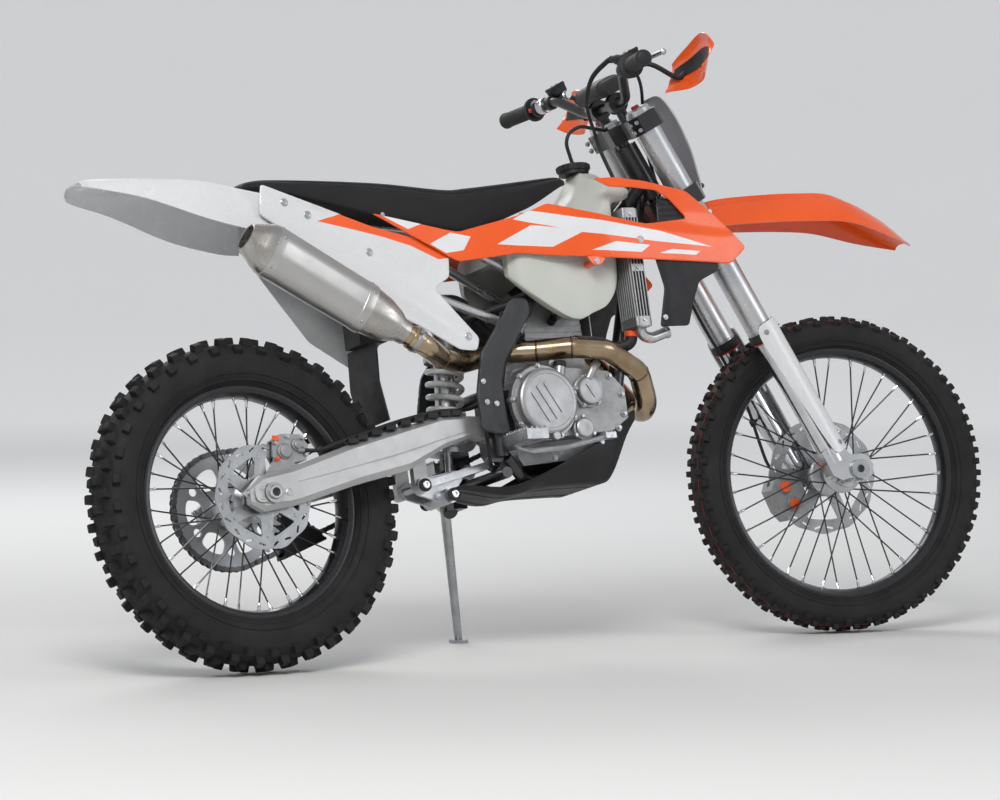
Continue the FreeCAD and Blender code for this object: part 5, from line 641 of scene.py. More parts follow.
def wave_disc(name, radius, band, line, waves, place, body, node, look):
    """A brake disc with a waved edge, slots through its band and a bolted carrier with six arms."""
    shape = Shape()
    edge = []
    for number in range(waves * 12):
        angle = 2 * math.pi * number / (waves * 12)
        edge.append(((radius - 2.2 + 2.0 * math.cos(waves * angle)) * math.cos(angle),
                     (radius - 2.2 + 2.0 * math.cos(waves * angle)) * math.sin(angle)))
    holes = []
    inner = radius - band
    arms = 6
    for number in range(arms):
        middle = 2 * math.pi * number / arms
        window = []
        half_turn = math.pi / arms
        for share in (-0.80, -0.5, -0.2, 0.1, 0.4, 0.70):
            angle = middle + share * half_turn
            reach = inner - 2 - 2.5 * math.cos(share * math.pi)
            window.append((reach * math.cos(angle), reach * math.sin(angle)))
        for share in (0.46, 0.1, -0.3):
            angle = middle + share * half_turn
            window.append((46 * math.cos(angle), 46 * math.sin(angle)))
        holes.append(rounded(window, 6, 3))
    for number in range(waves * 2):
        angle = 2 * math.pi * (number + 0.5) / (waves * 2)
        slot_middle = radius - band * 0.48
        tilt = 0.5 if number % 2 else -0.25
        c = Vector((slot_middle * math.cos(angle), slot_middle * math.sin(angle)))
        along = Vector((-math.sin(angle + tilt), math.cos(angle + tilt))) * (band * 0.30)
        across = Vector((math.cos(angle + tilt), math.sin(angle + tilt))) * (band * 0.085)
        holes.append(rounded([tuple(c + along + across), tuple(c + along - across), tuple(c - along - across),
                              tuple(c - along + across)], band * 0.08, 3))
    holes.append(circle((0, 0), 24, 32))
    shape.add(plate(edge, holes, line - 2, line + 2))
    side = 1 if line > 0 else -1
    for number in range(arms):
        angle = 2 * math.pi * (number + 0.5) / arms
        spot = Vector((30.5 * math.cos(angle), line + side * 2, 30.5 * math.sin(angle)))
        shape.add(cap_screw(spot, (0, side, 0), 5.2, 4), 1)
        ear = Vector(((inner - 4) * math.cos(angle), line + side * 2, (inner - 4) * math.sin(angle)))
        shape.add(rod(ear, ear + Vector((0, side * 1.4, 0)), 4.6, 14), 1)
    return shape.piece(name, place, [look, grey_steel], body, "grey_steel", [node], angle=30)


wave_disc("rear_disc_detail", 110, 26, -84.3, 10, REAR_WHEEL, "rear_wheel", "rear_disc", grey_steel)
wave_disc("front_disc_detail", 130, 28, 69.3, 12, FRONT_WHEEL, "front_wheel", "front_disc", grey_steel)

CHAIN_PITCH = 15.875
sprocket_silver = surface("sprocket_silver", (0.40, 0.415, 0.42), (0.34, 0.35, 0.36), 0.36, 0.06, metal=0.8, grain=1200,
                          depth=0.00006)


def sprocket_edge(teeth, pitch_radius, root, tip):
    edge = []
    for number in range(teeth):
        middle = 2 * math.pi * number / teeth
        step = 2 * math.pi / teeth
        for share, radius in ((-0.5, root), (-0.30, root + 0.6), (-0.14, tip - 1.2), (0.0, tip), (0.14, tip - 1.2), (0.30, root + 0.6)):
            angle = middle + share * step
            edge.append((radius * math.cos(angle), radius * math.sin(angle)))
    return edge


rear_pitch = CHAIN_PITCH / 2 / math.sin(math.pi / 48)
shape = Shape()
holes = [circle((0, 0), 30, 40)]
for number in range(6):
    angle = 2 * math.pi * number / 6
    holes.append(rounded([(math.cos(angle + turn) * radius, math.sin(angle + turn) * radius) for turn, radius in
                          ((-0.30, 92), (-0.1, 95), (0.1, 95), (0.30, 92), (0.36, 66), (0.16, 54), (-0.16, 54), (-0.36, 66))], 9, 3))
    angle += math.pi / 6
    holes.append(circle((84 * math.cos(angle), 84 * math.sin(angle)), 9, 20))
shape.add(plate(sprocket_edge(48, rear_pitch, rear_pitch - 6.2, rear_pitch + 4.0), holes, 75.4, 80.6))
for number in range(6):
    angle = 2 * math.pi * (number + 0.5) / 6
    shape.add(bolt(Vector((30.5 * math.cos(angle), 80.6, 30.5 * math.sin(angle))) * 1.0, (0, 1, 0), 6, 6), 1)
    shape.add(rod((38 * math.cos(angle), 74.7, 38 * math.sin(angle)), (38 * math.cos(angle), 75.4, 38 * math.sin(angle)), 6), 1)
shape.piece("rear_sprocket_detail", REAR_WHEEL, [sprocket_silver, grey_steel], "rear_wheel", "grey_steel",
            ["rear_sprocket"], angle=30)

# Chain, from its pitch line round both sprockets

COUNTERSHAFT = Vector((640, 0, 480))
REAR_AXLE = Vector((0, 0, 341))
front_pitch = CHAIN_PITCH / 2 / math.sin(math.pi / 14)


def chain_line(count):
    """Evenly spaced points on the chain's pitch line, and their directions."""
    span = COUNTERSHAFT - REAR_AXLE
    slope = math.atan2(span.z, span.x)
    lean = math.asin((rear_pitch - front_pitch) / span.length)
    top, low = slope + math.pi / 2 - lean, slope - math.pi / 2 + lean
    run = math.sqrt(span.length ** 2 - (rear_pitch - front_pitch) ** 2)
    front_arc = top - low
    rear_arc = 2 * math.pi - front_arc
    total = 2 * run + front_arc * front_pitch + rear_arc * rear_pitch

    def on(centre, radius, angle):
        return centre + Vector((radius * math.cos(angle), 0, radius * math.sin(angle)))

    spots = []
    for number in range(count):
        along = total * number / count
        if along < run:
            spots.append(on(REAR_AXLE, rear_pitch, top).lerp(on(COUNTERSHAFT, front_pitch, top), along / run))
        elif along < run + front_arc * front_pitch:
            spots.append(on(COUNTERSHAFT, front_pitch, top - (along - run) / front_pitch))
        elif along < 2 * run + front_arc * front_pitch:
            part = (along - run - front_arc * front_pitch) / run
            spots.append(on(COUNTERSHAFT, front_pitch, low).lerp(on(REAR_AXLE, rear_pitch, low), part))
        else:
            part = along - 2 * run - front_arc * front_pitch
            spots.append(on(REAR_AXLE, rear_pitch, low - part / rear_pitch))
    return spots


def chain_links():
    shape = Shape()
    span = (COUNTERSHAFT - REAR_AXLE).length
    count = 2 * round((2 * span + math.pi * (rear_pitch + front_pitch)) / CHAIN_PITCH / 2)
    spots = chain_line(count)
    for index, spot in enumerate(spots):
        after = spots[(index + 1) % count]
        way = (after - spot).normalized()
        up = Vector((-way.z, 0, way.x))
        outline = []
        for x, z in ((-5.4, 0), (-4.0, 4.0), (0, 5.6), (4.4, 4.9), (7.9, 3.9), (11.5, 4.9), (15.9, 5.6), (19.9, 4.0), (21.3, 0),
                     (19.9, -4.0), (15.9, -5.6), (11.5, -4.9), (7.9, -3.9), (4.4, -4.9), (0, -5.6), (-4.0, -4.0)):
            outline.append(spot + way * x + up * z)
        inner = index % 2
        for side in (-1, 1):
            low = 78 + side * (3.6 if inner else 5.4)
            high = low + side * 1.6
            shape.add(loop_loft([[point + Vector((0, low, 0)) for point in outline],
                                 [point + Vector((0, high, 0)) for point in outline]]), inner)
        shape.add(rod(spot + Vector((0, 70.4, 0)), spot + Vector((0, 85.6, 0)), 2.3, 8), 0)
        shape.add(rod(spot + Vector((0, 74.4, 0)), spot + Vector((0, 81.6, 0)), 4.6, 10), 1)
    return shape


chain_grey = surface("chain_grey", (0.16, 0.16, 0.165), (0.10, 0.10, 0.105), 0.4, 0.1, metal=0.85, grain=900, depth=0.0001)
chain_links().piece("chain_detail", BIKE, [chain_grey, dark_steel], "chassis", "grey_steel", ["chain"], angle=40)

# Moulded panels


def inside(point, loop):
    x, z = point
    hit = False
    for index, (bx, bz) in enumerate(loop):
        ax, az = loop[index - 1]
        if (az > z) != (bz > z) and x < (bx - ax) * (z - az) / (bz - az) + ax:
            hit = not hit
    return hit


def edge_distance(point, loop):
    spot = Vector(point)
    best = 1e9
    for index, end in enumerate(loop):
        start, end = Vector(loop[index - 1]), Vector(end)
        run = end - start
        share = min(max((spot - start).dot(run) / max(run.length_squared, 1e-9), 0), 1)
        best = min(best, (spot - start - run * share).length)
    return best


def divided(loop, longest):
    """A loop with its long edges divided."""
    result = []
    for index, end in enumerate(loop):
        start, end = Vector(loop[index - 1]), Vector(end)
        steps = max(1, math.ceil((end - start).length / longest))
        result += [tuple(start.lerp(end, step / steps)) for step in range(1, steps + 1)]
    return result


def side_surface(stations, levels, rear, length, bottom, height, half):
    """How far out a panel stands at a place of its side view."""
    def out_at(x, z):
        along = min(max((x - rear) / length, stations[0][0]), stations[-1][0])
        up = (z - bottom) / height
        row = stations[-1][1]
        for (first, low), (second, high) in zip(stations, stations[1:]):
            if along <= second:
                share = (along - first) / (second - first)
                row = [a + (b - a) * share for a, b in zip(low, high)]
                break
        if up >= levels[1]:
            return half * (row[1] + (row[0] - row[1]) * (up - levels[1]) / (levels[0] - levels[1]))
        return half * (row[2] + (row[1] - row[2]) * (up - levels[2]) / (levels[1] - levels[2]))
    return out_at


def skin(shape, outline, out_at, wall, graphics=(), grid=11, side=-1, soft=1.3):
    """A panel with its painted fields as faces of their own, soft at its edges and closed behind."""
    border = divided(outline, grid)
    points = [Vector(point) for point in border]
    faces_in = [list(range(len(points)))]
    edges = []
    for mark, field in graphics:
        start = len(points)
        field = divided(field, grid)
        points += [Vector(point) for point in field]
        edges += [(start + index, start + (index + 1) % len(field)) for index in range(len(field))]
    turn = 1 if sum(a[0] * b[1] - b[0] * a[1] for a, b in zip(border, border[1:] + border[:1])) > 0 else -1
    for index, point in enumerate(border):
        way = Vector(border[(index + 1) % len(border)]) - Vector(border[index - 1])
        way.normalize()
        spot = Vector(point) + Vector((-way.y, way.x)) * turn * soft * 1.6
        if inside(spot, border) and edge_distance(spot, border) > soft * 1.2:
            points.append(spot)
    low_x, high_x = min(p[0] for p in border), max(p[0] for p in border)
    low_z, high_z = min(p[1] for p in border), max(p[1] for p in border)
    x = low_x + grid / 2
    row = 0
    while x < high_x:
        z = low_z + grid * (0.5 if row % 2 else 0.95)
        while z < high_z:
            if inside((x, z), border) and edge_distance((x, z), border) > grid * 0.55:
                points.append(Vector((x, z)))
            z += grid
        x += grid
        row += 1
    result = delaunay_2d_cdt(points, edges, faces_in, 1, 0.01, False)
    spots, triangles = result[0], result[2]
    kept, marks = [], []
    for face in triangles:
        centre = sum((spots[index] for index in face), Vector((0, 0))) / len(face)
        if not inside(centre, border):
            continue
        mark = 0
        for number, field in graphics:
            if inside(centre, field):
                mark = number
        kept.append(face)
        marks.append(mark)
    used = {}
    for face in kept:
        for index in range(len(face)):
            edge = (face[index - 1], face[index])
            used[edge] = used.get(edge, 0) + 1
    rim_edges = [edge for edge in used if (edge[1], edge[0]) not in used]
    on_rim = {index for edge in rim_edges for index in edge}
    outer, inner = [], []
    for index, spot in enumerate(spots):
        out = out_at(spot.x, spot.y)
        outer.append(Vector((spot.x, side * (out - (soft if index in on_rim else 0)), spot.y)))
        inner.append(Vector((spot.x, side * (out - wall), spot.y)))
    count = len(spots)
    all_faces = [list(face) for face in kept]
    all_faces += [[index + count for index in reversed(face)] for face in kept]
    all_faces += [[edge[1], edge[0], edge[0] + count, edge[1] + count] for edge in rim_edges]
    all_marks = marks + [0] * (len(kept) + len(rim_edges))
    return shape.add((outer + inner, all_faces), all_marks)


def shares_loop(shares, rear, length, bottom, height, radius=8):
    return rounded([(rear + along * length, bottom + up * height) for along, up in shares], radius)


def dished_screw(shape, spot, way, mark, radius=7):
    """A flat screw with its socket, sunk in a shallow washer."""
    spot, way = Vector(spot), Vector(way).normalized()
    shape.add(spool(spot - way * 1.5, spot + way * 1.2, [(0, radius), (0.8, radius), (1, radius * 0.9)], 20), mark)
    shape.add(cap_screw(spot + way * 1.0, way, radius * 0.62, 1.6), mark)


# Shrouds

SHROUD_STATIONS = [(-0.01, (0.585, 0.60, 0.63)), (0.20, (0.575, 0.59, 0.62)), (0.37, (0.64, 0.69, 0.71)),
                   (0.46, (0.72, 0.78, 0.80)), (0.60, (0.84, 0.90, 0.93)), (0.74, (0.89, 0.94, 0.96)),
                   (0.84, (0.93, 0.97, 0.98)), (1.01, (0.98, 1.0, 1.0))]
shroud_flat = side_surface(SHROUD_STATIONS, (1.0, 0.5, -0.05), 320, 880, 780, 220, 186)
SHROUD_OUTLINE = [(0, 0.64), (0.22, 0.16), (0.28, 0.18), (0.38, 0.22), (0.46, 0.18), (0.60, 0.13), (0.84, 0.07),
                  (0.95, 0.04), (1, 0.20), (0.96, 0.38), (0.91, 0.57), (0.85, 0.78), (0.74, 0.89), (0.66, 0.935),
                  (0.60, 0.93), (0.64, 0.84), (0.70, 0.83), (0.765, 0.80), (0.80, 0.70), (0.84, 0.50), (0.72, 0.455),
                  (0.63, 0.54), (0.47, 0.70), (0.40, 0.60), (0.23, 0.45)]
shroud_loop = shares_loop(SHROUD_OUTLINE, 320, 880, 780, 220, 9)
BAND_CREASE = [(560, 868), (700, 884), (830, 890), (940, 878), (1056, 862), (1150, 850)]


def crease_height(x):
    for (first, low), (second, high) in zip(BAND_CREASE, BAND_CREASE[1:]):
        if first <= x <= second:
            return low + (high - low) * (x - first) / (second - first)
    return BAND_CREASE[0][1] if x < 560 else BAND_CREASE[-1][1]


def shroud_surface(x, z):
    """The flat surface with a raised band whose upper edge is a clear crease, and a pressed horn above."""
    ridge = crease_height(x)
    fade = min(max((x - 560) / 160, 0), 1) * min(max((1185 - x) / 60, 0), 1)
    lift = 2.6 * min(max((z - ridge + 64) / 64, 0), 1) if z < ridge else 2.6 - 4.2 * min((z - ridge) / 10, 1)
    horn = 0.0
    if x > 830 and z > ridge + 24:
        horn = 2.0 * min((z - ridge - 24) / 16, 1) * min((x - 830) / 60, 1)
    return shroud_flat(x, z) + lift * fade + horn * fade


MAIN_STRIPE = [(690, 920), (987, 863), (1112, 826), (973, 841), (799, 866), (729, 837), (606, 849), (688, 887),
               (749, 877), (651, 902)]
SMALL_STRIPES = [[(815, 826), (875, 843), (957, 833), (934, 818)], [(979, 815), (1010, 823), (1080, 817), (1068, 809)]]
REAR_PATCHES = [[(341, 916), (435, 897), (402, 886)], [(450, 854), (503, 878), (548, 868), (528, 839), (486, 834)]]
graphic_white = surface("graphic_white", (0.80, 0.81, 0.83), (0.78, 0.79, 0.81), 0.2, 0.03, grain=900, depth=0.00002,
                        coat=0.4)
graphic_orange = surface("graphic_orange", ORANGE, (0.90, 0.10, 0.007), 0.2, 0.03, grain=900, depth=0.00002, coat=0.4)
stripes = [(1, loop) for loop in [MAIN_STRIPE] + SMALL_STRIPES + REAR_PATCHES]
shape = Shape()
for side in (-1, 1):
    skin(shape, shroud_loop, shroud_surface, 4, stripes, 10, side)
    boss = 780 + 0.295 * 220
    shape.add(rod((935, side * 150.3, boss), (935, side * 176, boss), 9), 0)
    dished_screw(shape, (935, side * (shroud_surface(935, boss) + 0.4), boss), (0, side, 0), 2, 7.5)
    ear = rounded([(800, 812), (808, 800), (817, 793), (829, 793), (838, 799), (850, 812)], 4)
    ear_out = shroud_flat(822, 800)
    shape.add(plate(ear, [], side * (ear_out - 4), side * ear_out), 0)
    shape.add(rod((822, side * 112, 801), (822, side * (ear_out - 2), 801), 7), 0)
    dished_screw(shape, (822, side * (ear_out + 0.6), 801), (0, side, 0), 2, 6.5)
    for x, z in ((1120, 905), (345, 917)):
        dished_screw(shape, (x, side * (shroud_surface(x, z) + 0.4), z), (0, side, 0), 2, 5)
shape.piece("shrouds_detail", BIKE, [orange_plastic, graphic_white, grey_steel], "chassis", "orange_plastic",
            ["shrouds"], angle=24)

# Side panels

PANEL_STATIONS = [(-0.04, (0.86, 0.94, 0.98)), (0.30, (0.86, 0.94, 0.98)), (0.60, (0.82, 0.92, 0.98)),
                  (0.90, (0.80, 0.90, 0.98)), (1.02, (0.80, 0.90, 0.98))]
panel_flat = side_surface(PANEL_STATIONS, (1.0, 0.5, -0.02), 50, 500, 600, 400, 118)


def panel_surface(x, z):
    """A step along the upper edge and a pressed ridge from the middle to the lower corner."""
    step = 2.4 if z > 968 - 0.26 * (x - 60) else 0.0
    start, end = Vector((300, 792)), Vector((528, 640))
    run = end - start
    share = min(max((Vector((x, z)) - start).dot(run) / run.length_squared, 0), 1)
    away = (Vector((x, z)) - start - run * share).length
    ridge = 3.2 * max(0, 1 - away / 26) * min(share * 5, 1)
    return panel_flat(x, z) + step + ridge


RIGHT_PANEL = [(0.02, 0.80), (0.04, 0.96), (0.28, 0.85), (0.54, 0.735), (0.90, 0.62), (0.88, 0.46), (0.80, 0.40),
               (0.98, 0.13), (0.96, 0.06), (0.88, 0.07), (0.70, 0.20), (0.56, 0.28), (0.30, 0.56)]
LEFT_PANEL = [(0.02, 0.80), (0.04, 0.96), (0.28, 0.85), (0.54, 0.735), (0.90, 0.62), (0.88, 0.46), (0.84, 0.30),
              (0.76, 0.22), (0.66, 0.05), (0.42, 0.24), (0.14, 0.72)]
WEDGE = [(190, 905), (323, 940), (440, 870), (500, 846), (500, 826), (470, 822), (407, 852), (340, 872), (270, 888)]
shape = Shape()
for side, shares in ((-1, RIGHT_PANEL), (1, LEFT_PANEL)):
    skin(shape, shares_loop(shares, 50, 500, 600, 400, 9), panel_surface, 3, [(1, WEDGE)], 10, side)
    screws = [(120, 945), (170, 918), (304, 838), (512, 655)] if side < 0 else [(120, 945), (170, 918), (304, 838), (392, 650)]
    for x, z in screws:
        dished_screw(shape, (x, side * (panel_surface(x, z) + 0.4), z), (0, side, 0), 2, 8.5)
    rail = 898 + (928 - 898) * (315 - 240) / (315 - 130)
    shape.add(rod((240, side * 66, rail - 6), (240, side * (panel_flat(240, rail) - 1), rail - 6), 8), 0)
shape.piece("side_panels_detail", BIKE, [white_plastic, graphic_orange, grey_steel], "chassis", "white_plastic",
            ["side_panels"], angle=24)


# Fenders

def fender_shell(shape, rows, rear, length, bottom, height, half, wall, section, steps=7):
    """An arched fender: rows of (along, top, half, drop) shares, and a section of (out, fall) shares."""
    knots = [Vector((rear + along * length, 0, bottom + top * height)) for along, top, wide, drop in rows]
    spans = [Vector((wide * half, drop * height, 0)) for along, top, wide, drop in rows]
    tops = curve_through(knots, steps)
    sides = curve_through(spans, steps)
    rings = []
    for index, (top, span) in enumerate(zip(tops, sides)):
        share = index / (len(tops) - 1)
        outer, inner = [], []
        for out, fall in section(share):
            outer.append(Vector((top.x, out * span.x, top.z - fall * span.y)))
            inner.append(Vector((top.x, out * (span.x - wall), top.z - fall * span.y - wall * (1.1 - 0.9 * abs(out)))))
        rings.append(outer + inner[::-1])
    shape.add(loop_loft(rings))
    return tops, sides


def rear_section(share):
    """A flat spine between two raised edges, then steep sides that roll in at their feet."""
    right = [(0.0, 0.02), (0.22, 0.0), (0.34, -0.02), (0.40, 0.05), (0.56, 0.06), (0.68, 0.07), (0.74, 0.16), (0.84, 0.34),
             (0.92, 0.62), (0.975, 0.86), (1.0, 1.0)]
    return [(-out, fall) for out, fall in right[:0:-1]] + right


REAR_ROWS_SHARES = [(0.00, 0.785, 0.40, 0.07), (0.04, 0.795, 0.60, 0.13), (0.20, 0.80, 0.76, 0.25),
                    (0.42, 0.78, 0.90, 0.47), (0.605, 0.677, 0.92, 0.50), (0.69, 0.632, 0.90, 0.48)]
shape = Shape()
fender_shell(shape, REAR_ROWS_SHARES, -303, 600, 850, 200, 110, 3, rear_section)
shape.piece("rear_fender_detail", BIKE, [white_plastic], "chassis", "white_plastic", ["rear_fender"], angle=26)


def front_section(share):
    """A raised spine with a groove each side and rolled edges, deeper over the wheel."""
    spine = 0.14 * math.sin(math.pi * min(share * 1.15, 1))
    right = [(0.0, -0.02 - spine * 0.3), (0.16, -0.02 - spine * 0.3), (0.24, spine), (0.34, 0.05 + spine), (0.50, 0.10 + spine),
             (0.62, 0.20), (0.72, 0.34), (0.82, 0.52), (0.90, 0.70), (0.96, 0.88), (1.0, 1.0)]
    return [(-out, fall) for out, fall in right[:0:-1]] + right


FRONT_SHARES = [(0, 0.34, 0.58, 0.24), (0.10, 0.52, 0.64, 0.28), (0.18, 0.60, 0.66, 0.30), (0.32, 0.63, 0.80, 0.32),
                (0.54, 0.64, 0.92, 0.34), (0.70, 0.60, 0.98, 0.34), (0.86, 0.36, 0.80, 0.24), (1, 0.06, 0.40, 0.06)]
shape = Shape()
fender_shell(shape, FRONT_SHARES, -300, 570, 520, 200, 100, 3, front_section)
shape.piece("front_fender_detail", LEVEL, [orange_plastic], "steering", "orange_plastic", ["front_fender"], angle=24)

# Seat, a tight cover over foam with a sewn seam round its shoulder

SEAT_ROWS = [(0.00, 0.72, 0.80, 0.46, 0.36), (0.06, 0.66, 0.86, 0.80, 0.62), (0.36, 0.24, 0.80, 1.00, 0.80),
             (0.58, 0.02, 0.70, 1.00, 0.76), (0.66, 0.05, 0.73, 0.93, 0.70), (0.76, 0.24, 0.80, 0.80, 0.60),
             (0.86, 0.44, 0.88, 0.64, 0.44), (0.97, 0.76, 0.96, 0.44, 0.30), (1.00, 0.83, 0.94, 0.30, 0.20)]


def sampled(rows, steps):
    """Rows of numbers with smooth rows between them."""
    count = len(rows[0])
    result = []
    for index in range(len(rows) - 1):
        p1, p2 = rows[index], rows[index + 1]
        p0 = rows[index - 1] if index else p1
        p3 = rows[index + 2] if index + 2 < len(rows) else p2
        for step in range(steps):
            t = step / steps
            h = (2 * t ** 3 - 3 * t * t + 1, t ** 3 - 2 * t * t + t, -2 * t ** 3 + 3 * t * t, t ** 3 - t * t)
            result.append([h[0] * p1[k] + h[1] * (p2[k] - p0[k]) / 2 + h[2] * p2[k] + h[3] * (p3[k] - p1[k]) / 2
                           for k in range(count)])
    result.append(list(rows[-1]))
    return result


def seat_profile(low, top, low_half, top_half):
    tall = top - low
    knots = [(low_half * 0.86, low + 1), (low_half * 0.985, low + 3), (low_half * 0.992, low + tall * 0.36),
             (low_half * 0.95, low + tall * 0.66), (top_half * 1.10, top - tall * 0.17), (top_half * 1.04, top - tall * 0.08),
             (top_half * 0.90, top - 0.5), (top_half * 0.5, top + 2.5), (0, top + 3.5)]
    return [(point.x, point.y) for point in curve_through([Vector((a, b, 0)) for a, b in knots], 4)]


seat_rings, seam_right, seam_left = [], [], []
for along, low, top, low_half, top_half in sampled(SEAT_ROWS, 9):
    place = 60 + along * 800
    profile = seat_profile(885 + low * 140, 885 + top * 140, low_half * 90, top_half * 90)
    groove = 18
    ring = []
    for index, (out, up) in enumerate(profile):
        dip = 1.5 if index == groove else 0.7 if abs(index - groove) == 1 else 0.0
        ring.append((out - dip, up - dip * 0.3))
    right = [Vector((place, -out, up)) for out, up in ring]
    left = [Vector((place, out, up)) for out, up in ring[-2::-1]]
    seat_rings.append(right + left)
    seam_right.append(Vector((place, -profile[groove - 2][0] - 0.3, profile[groove - 2][1])))
    seam_left.append(Vector((place, profile[groove - 2][0] + 0.3, profile[groove - 2][1])))
shape = Shape()
shape.add(loop_loft(seat_rings))
for seam in (seam_right, seam_left):
    for start, end in zip(seam[2:-3], seam[3:-2]):
        for first, last in ((0.08, 0.42), (0.58, 0.92)):
            shape.add(rod(start.lerp(end, first), start.lerp(end, last), 0.75, 6), 1)
for side in (-1, 1):
    edge = [Vector((ring[0].x, side * (abs(ring[1].y) + 0.4), ring[1].z + 1.5)) for ring in seat_rings[4:-6]]
    shape.add(sweep(edge, 1.6, 8), 2)
thread = surface("seat_thread", (0.05, 0.05, 0.052), (0.035, 0.035, 0.037), 0.6, 0.05, grain=900, depth=0.0001)
seat_piece = shape.piece("seat_detail", BIKE, [seat_cover, thread, black_plastic], "chassis", "seat_cover", ["seat"], 38)

# Tank, its lobes smooth, with the moulding's parting line

tank_plastic = surface("tank_plastic", (0.60, 0.62, 0.575), (0.55, 0.57, 0.52), 0.40, 0.06, grain=900, depth=0.00008,
                       patch=5, coat=0.1)
set_input(tank_plastic.node_tree.nodes["Principled BSDF"], "Subsurface Weight", 0.25)
set_input(tank_plastic.node_tree.nodes["Principled BSDF"], "Subsurface Scale", 0.01)
TANK_ROWS = [(0.00, 0.60, 0.34, 0.80, 0.46, 0.30, 0.42), (0.11, 0.62, 0.40, 0.98, 0.50, 0.18, 0.43),
             (0.40, 0.68, 0.46, 1.00, 0.52, 0.02, 0.46), (0.58, 0.75, 0.45, 1.00, 0.57, 0.06, 0.51),
             (0.70, 0.84, 0.44, 1.00, 0.62, 0.12, 0.57), (0.785, 0.99, 0.345, 0.98, 0.74, 0.28, 0.62),
             (0.815, 1.00, 0.34, 0.95, 0.80, 0.70, 0.70), (0.93, 0.98, 0.36, 0.90, 0.82, 0.76, 0.745),
             (1.00, 0.90, 0.36, 0.80, 0.83, 0.79, 0.78)]
tank_rings, parting = [], []
for along, top, shoulder, flank, shoulder_up, low, tunnel in sampled(TANK_ROWS, 6):
    place = 640 + along * 330
    top_up, shoulder_z, low_z, tunnel_z = (680 + share * 350 for share in (top, shoulder_up, low, tunnel))
    low_z = min(low_z, shoulder_z - 12)
    half = 126
    lobe_in = min(101, flank * half * 0.84)
    wide = half * flank
    knots = [(0, top_up + 1), (half * shoulder * 0.55, top_up), (half * shoulder * 0.96, top_up - 14),
             (wide * 0.80, shoulder_z + (top_up - shoulder_z) * 0.42), (wide * 0.99, shoulder_z + 4),
             (wide, (shoulder_z + low_z) / 2), (wide * 0.985, low_z + 10), (wide * 0.96, low_z + 1.5), (lobe_in + 6, low_z),
             (lobe_in, low_z + 3)]
    curve = [(point.x, point.y) for point in curve_through([Vector((a, b, 0)) for a, b in knots], 4)]
    curve.append((lobe_in * 0.96, max(tunnel_z, low_z + 5)))
    right = [Vector((place, -out, up)) for out, up in curve]
    left = [Vector((place, out, up)) for out, up in curve[:0:-1]]
    tank_rings.append(right + left)
    parting.append(Vector((place, -wide * 1.0 - 0.2, shoulder_z + (low_z - shoulder_z) * 0.32)))
shape = Shape()
shape.add(loop_loft(tank_rings))
for side in (-1, 1):
    line = [Vector((point.x, point.y * -side, point.z)) for point in parting[2:-14]]
    shape.add(sweep(line, 1.5, 6), 0)
shape.piece("fuel_tank_detail", BIKE, [tank_plastic], "chassis", "tank_plastic", ["fuel_tank"], 30)

shape = Shape()
cap_profile = [(0, 33), (0.30, 33), (0.34, 35.5), (0.45, 36), (0.9, 36), (0.97, 34.5), (1, 31), (0.93, 29), (0.93, 16),
               (1.0, 14), (1.0, 5), (0.98, 0.1)]
shape.add(spool((905, 0, 1030.4), (905, 0, 1052.3), cap_profile, 48))
for number in range(24):
    angle = 2 * math.pi * number / 24
    way = Vector((math.cos(angle), math.sin(angle), 0))
    spot = Vector((905, 0, 1040.5)) + way * 35.4
    shape.add(rod(spot, spot + Vector((0, 0, 9)), 2.2, 8))
shape.add(rod((905, 0, 1051), (905, 0, 1060), 5.5, 16, 1))
shape.piece("fuel_cap_detail", BIKE, [black_plastic], "chassis", "black_plastic", ["fuel_cap"], 35)

# Silencer: a faceted sleeve with riveted bands, a front cone and a brushed end cap

sleeve_metal = surface("sleeve_metal", (0.50, 0.495, 0.48), (0.44, 0.435, 0.42), 0.34, 0.05, metal=0.9, grain=1800,
                       depth=0.00008, patch=6)
brushed_metal = surface("brushed_metal", (0.46, 0.445, 0.42), (0.37, 0.35, 0.325), 0.30, 0.08, metal=1.0, grain=500,
                        depth=0.0001, patch=14, stretch=(1, 8, 1))
# A dark sooty brown for bores closed a little way in: soot colour and painted shade in the silencer's outlet, painted
# shade alone in the hollow axle.
painted_bore_shade = surface("painted_bore_shade", (0.03, 0.026, 0.022), (0.05, 0.04, 0.03), 0.8, 0.1, grain=500, depth=0.0002)
end_spot = Vector((53, -158, 824))
front_spot_low = Vector((53 + 330 * 0.85, -158, 656))
silencer_back = (end_spot - front_spot_low).normalized()
sleeve_start = end_spot - silencer_back * 330
silencer_up = Vector((silencer_back.z, 0, -silencer_back.x))
if silencer_up.z < 0:
    silencer_up = -silencer_up
SLEEVE_OUTLINE = [(-0.20, 0.995), (-0.72, 0.80), (-1.0, 0.42), (-0.985, -0.30), (-0.62, -0.82), (-0.16, -1.0),
                  (0.40, -0.93), (0.86, -0.52), (1.0, 0.0), (0.95, 0.55), (0.55, 0.93)]
sleeve_loop = rounded([(a * 41, b * 59) for a, b in SLEEVE_OUTLINE], 13, 5)


def silencer_ring(distance, scale, round_share=0.0, round_radius=0.0, squash=0.0):
    ring = []
    for out, up in sleeve_loop:
        flat = Vector((out * scale, up * scale))
        if round_share:
            circle_spot = flat.normalized() * round_radius
            flat = flat.lerp(circle_spot, round_share)
        centre = sleeve_start + silencer_back * distance
        ring.append(centre + Vector((0, 1, 0)) * flat.x + silencer_up * flat.y)
    return ring


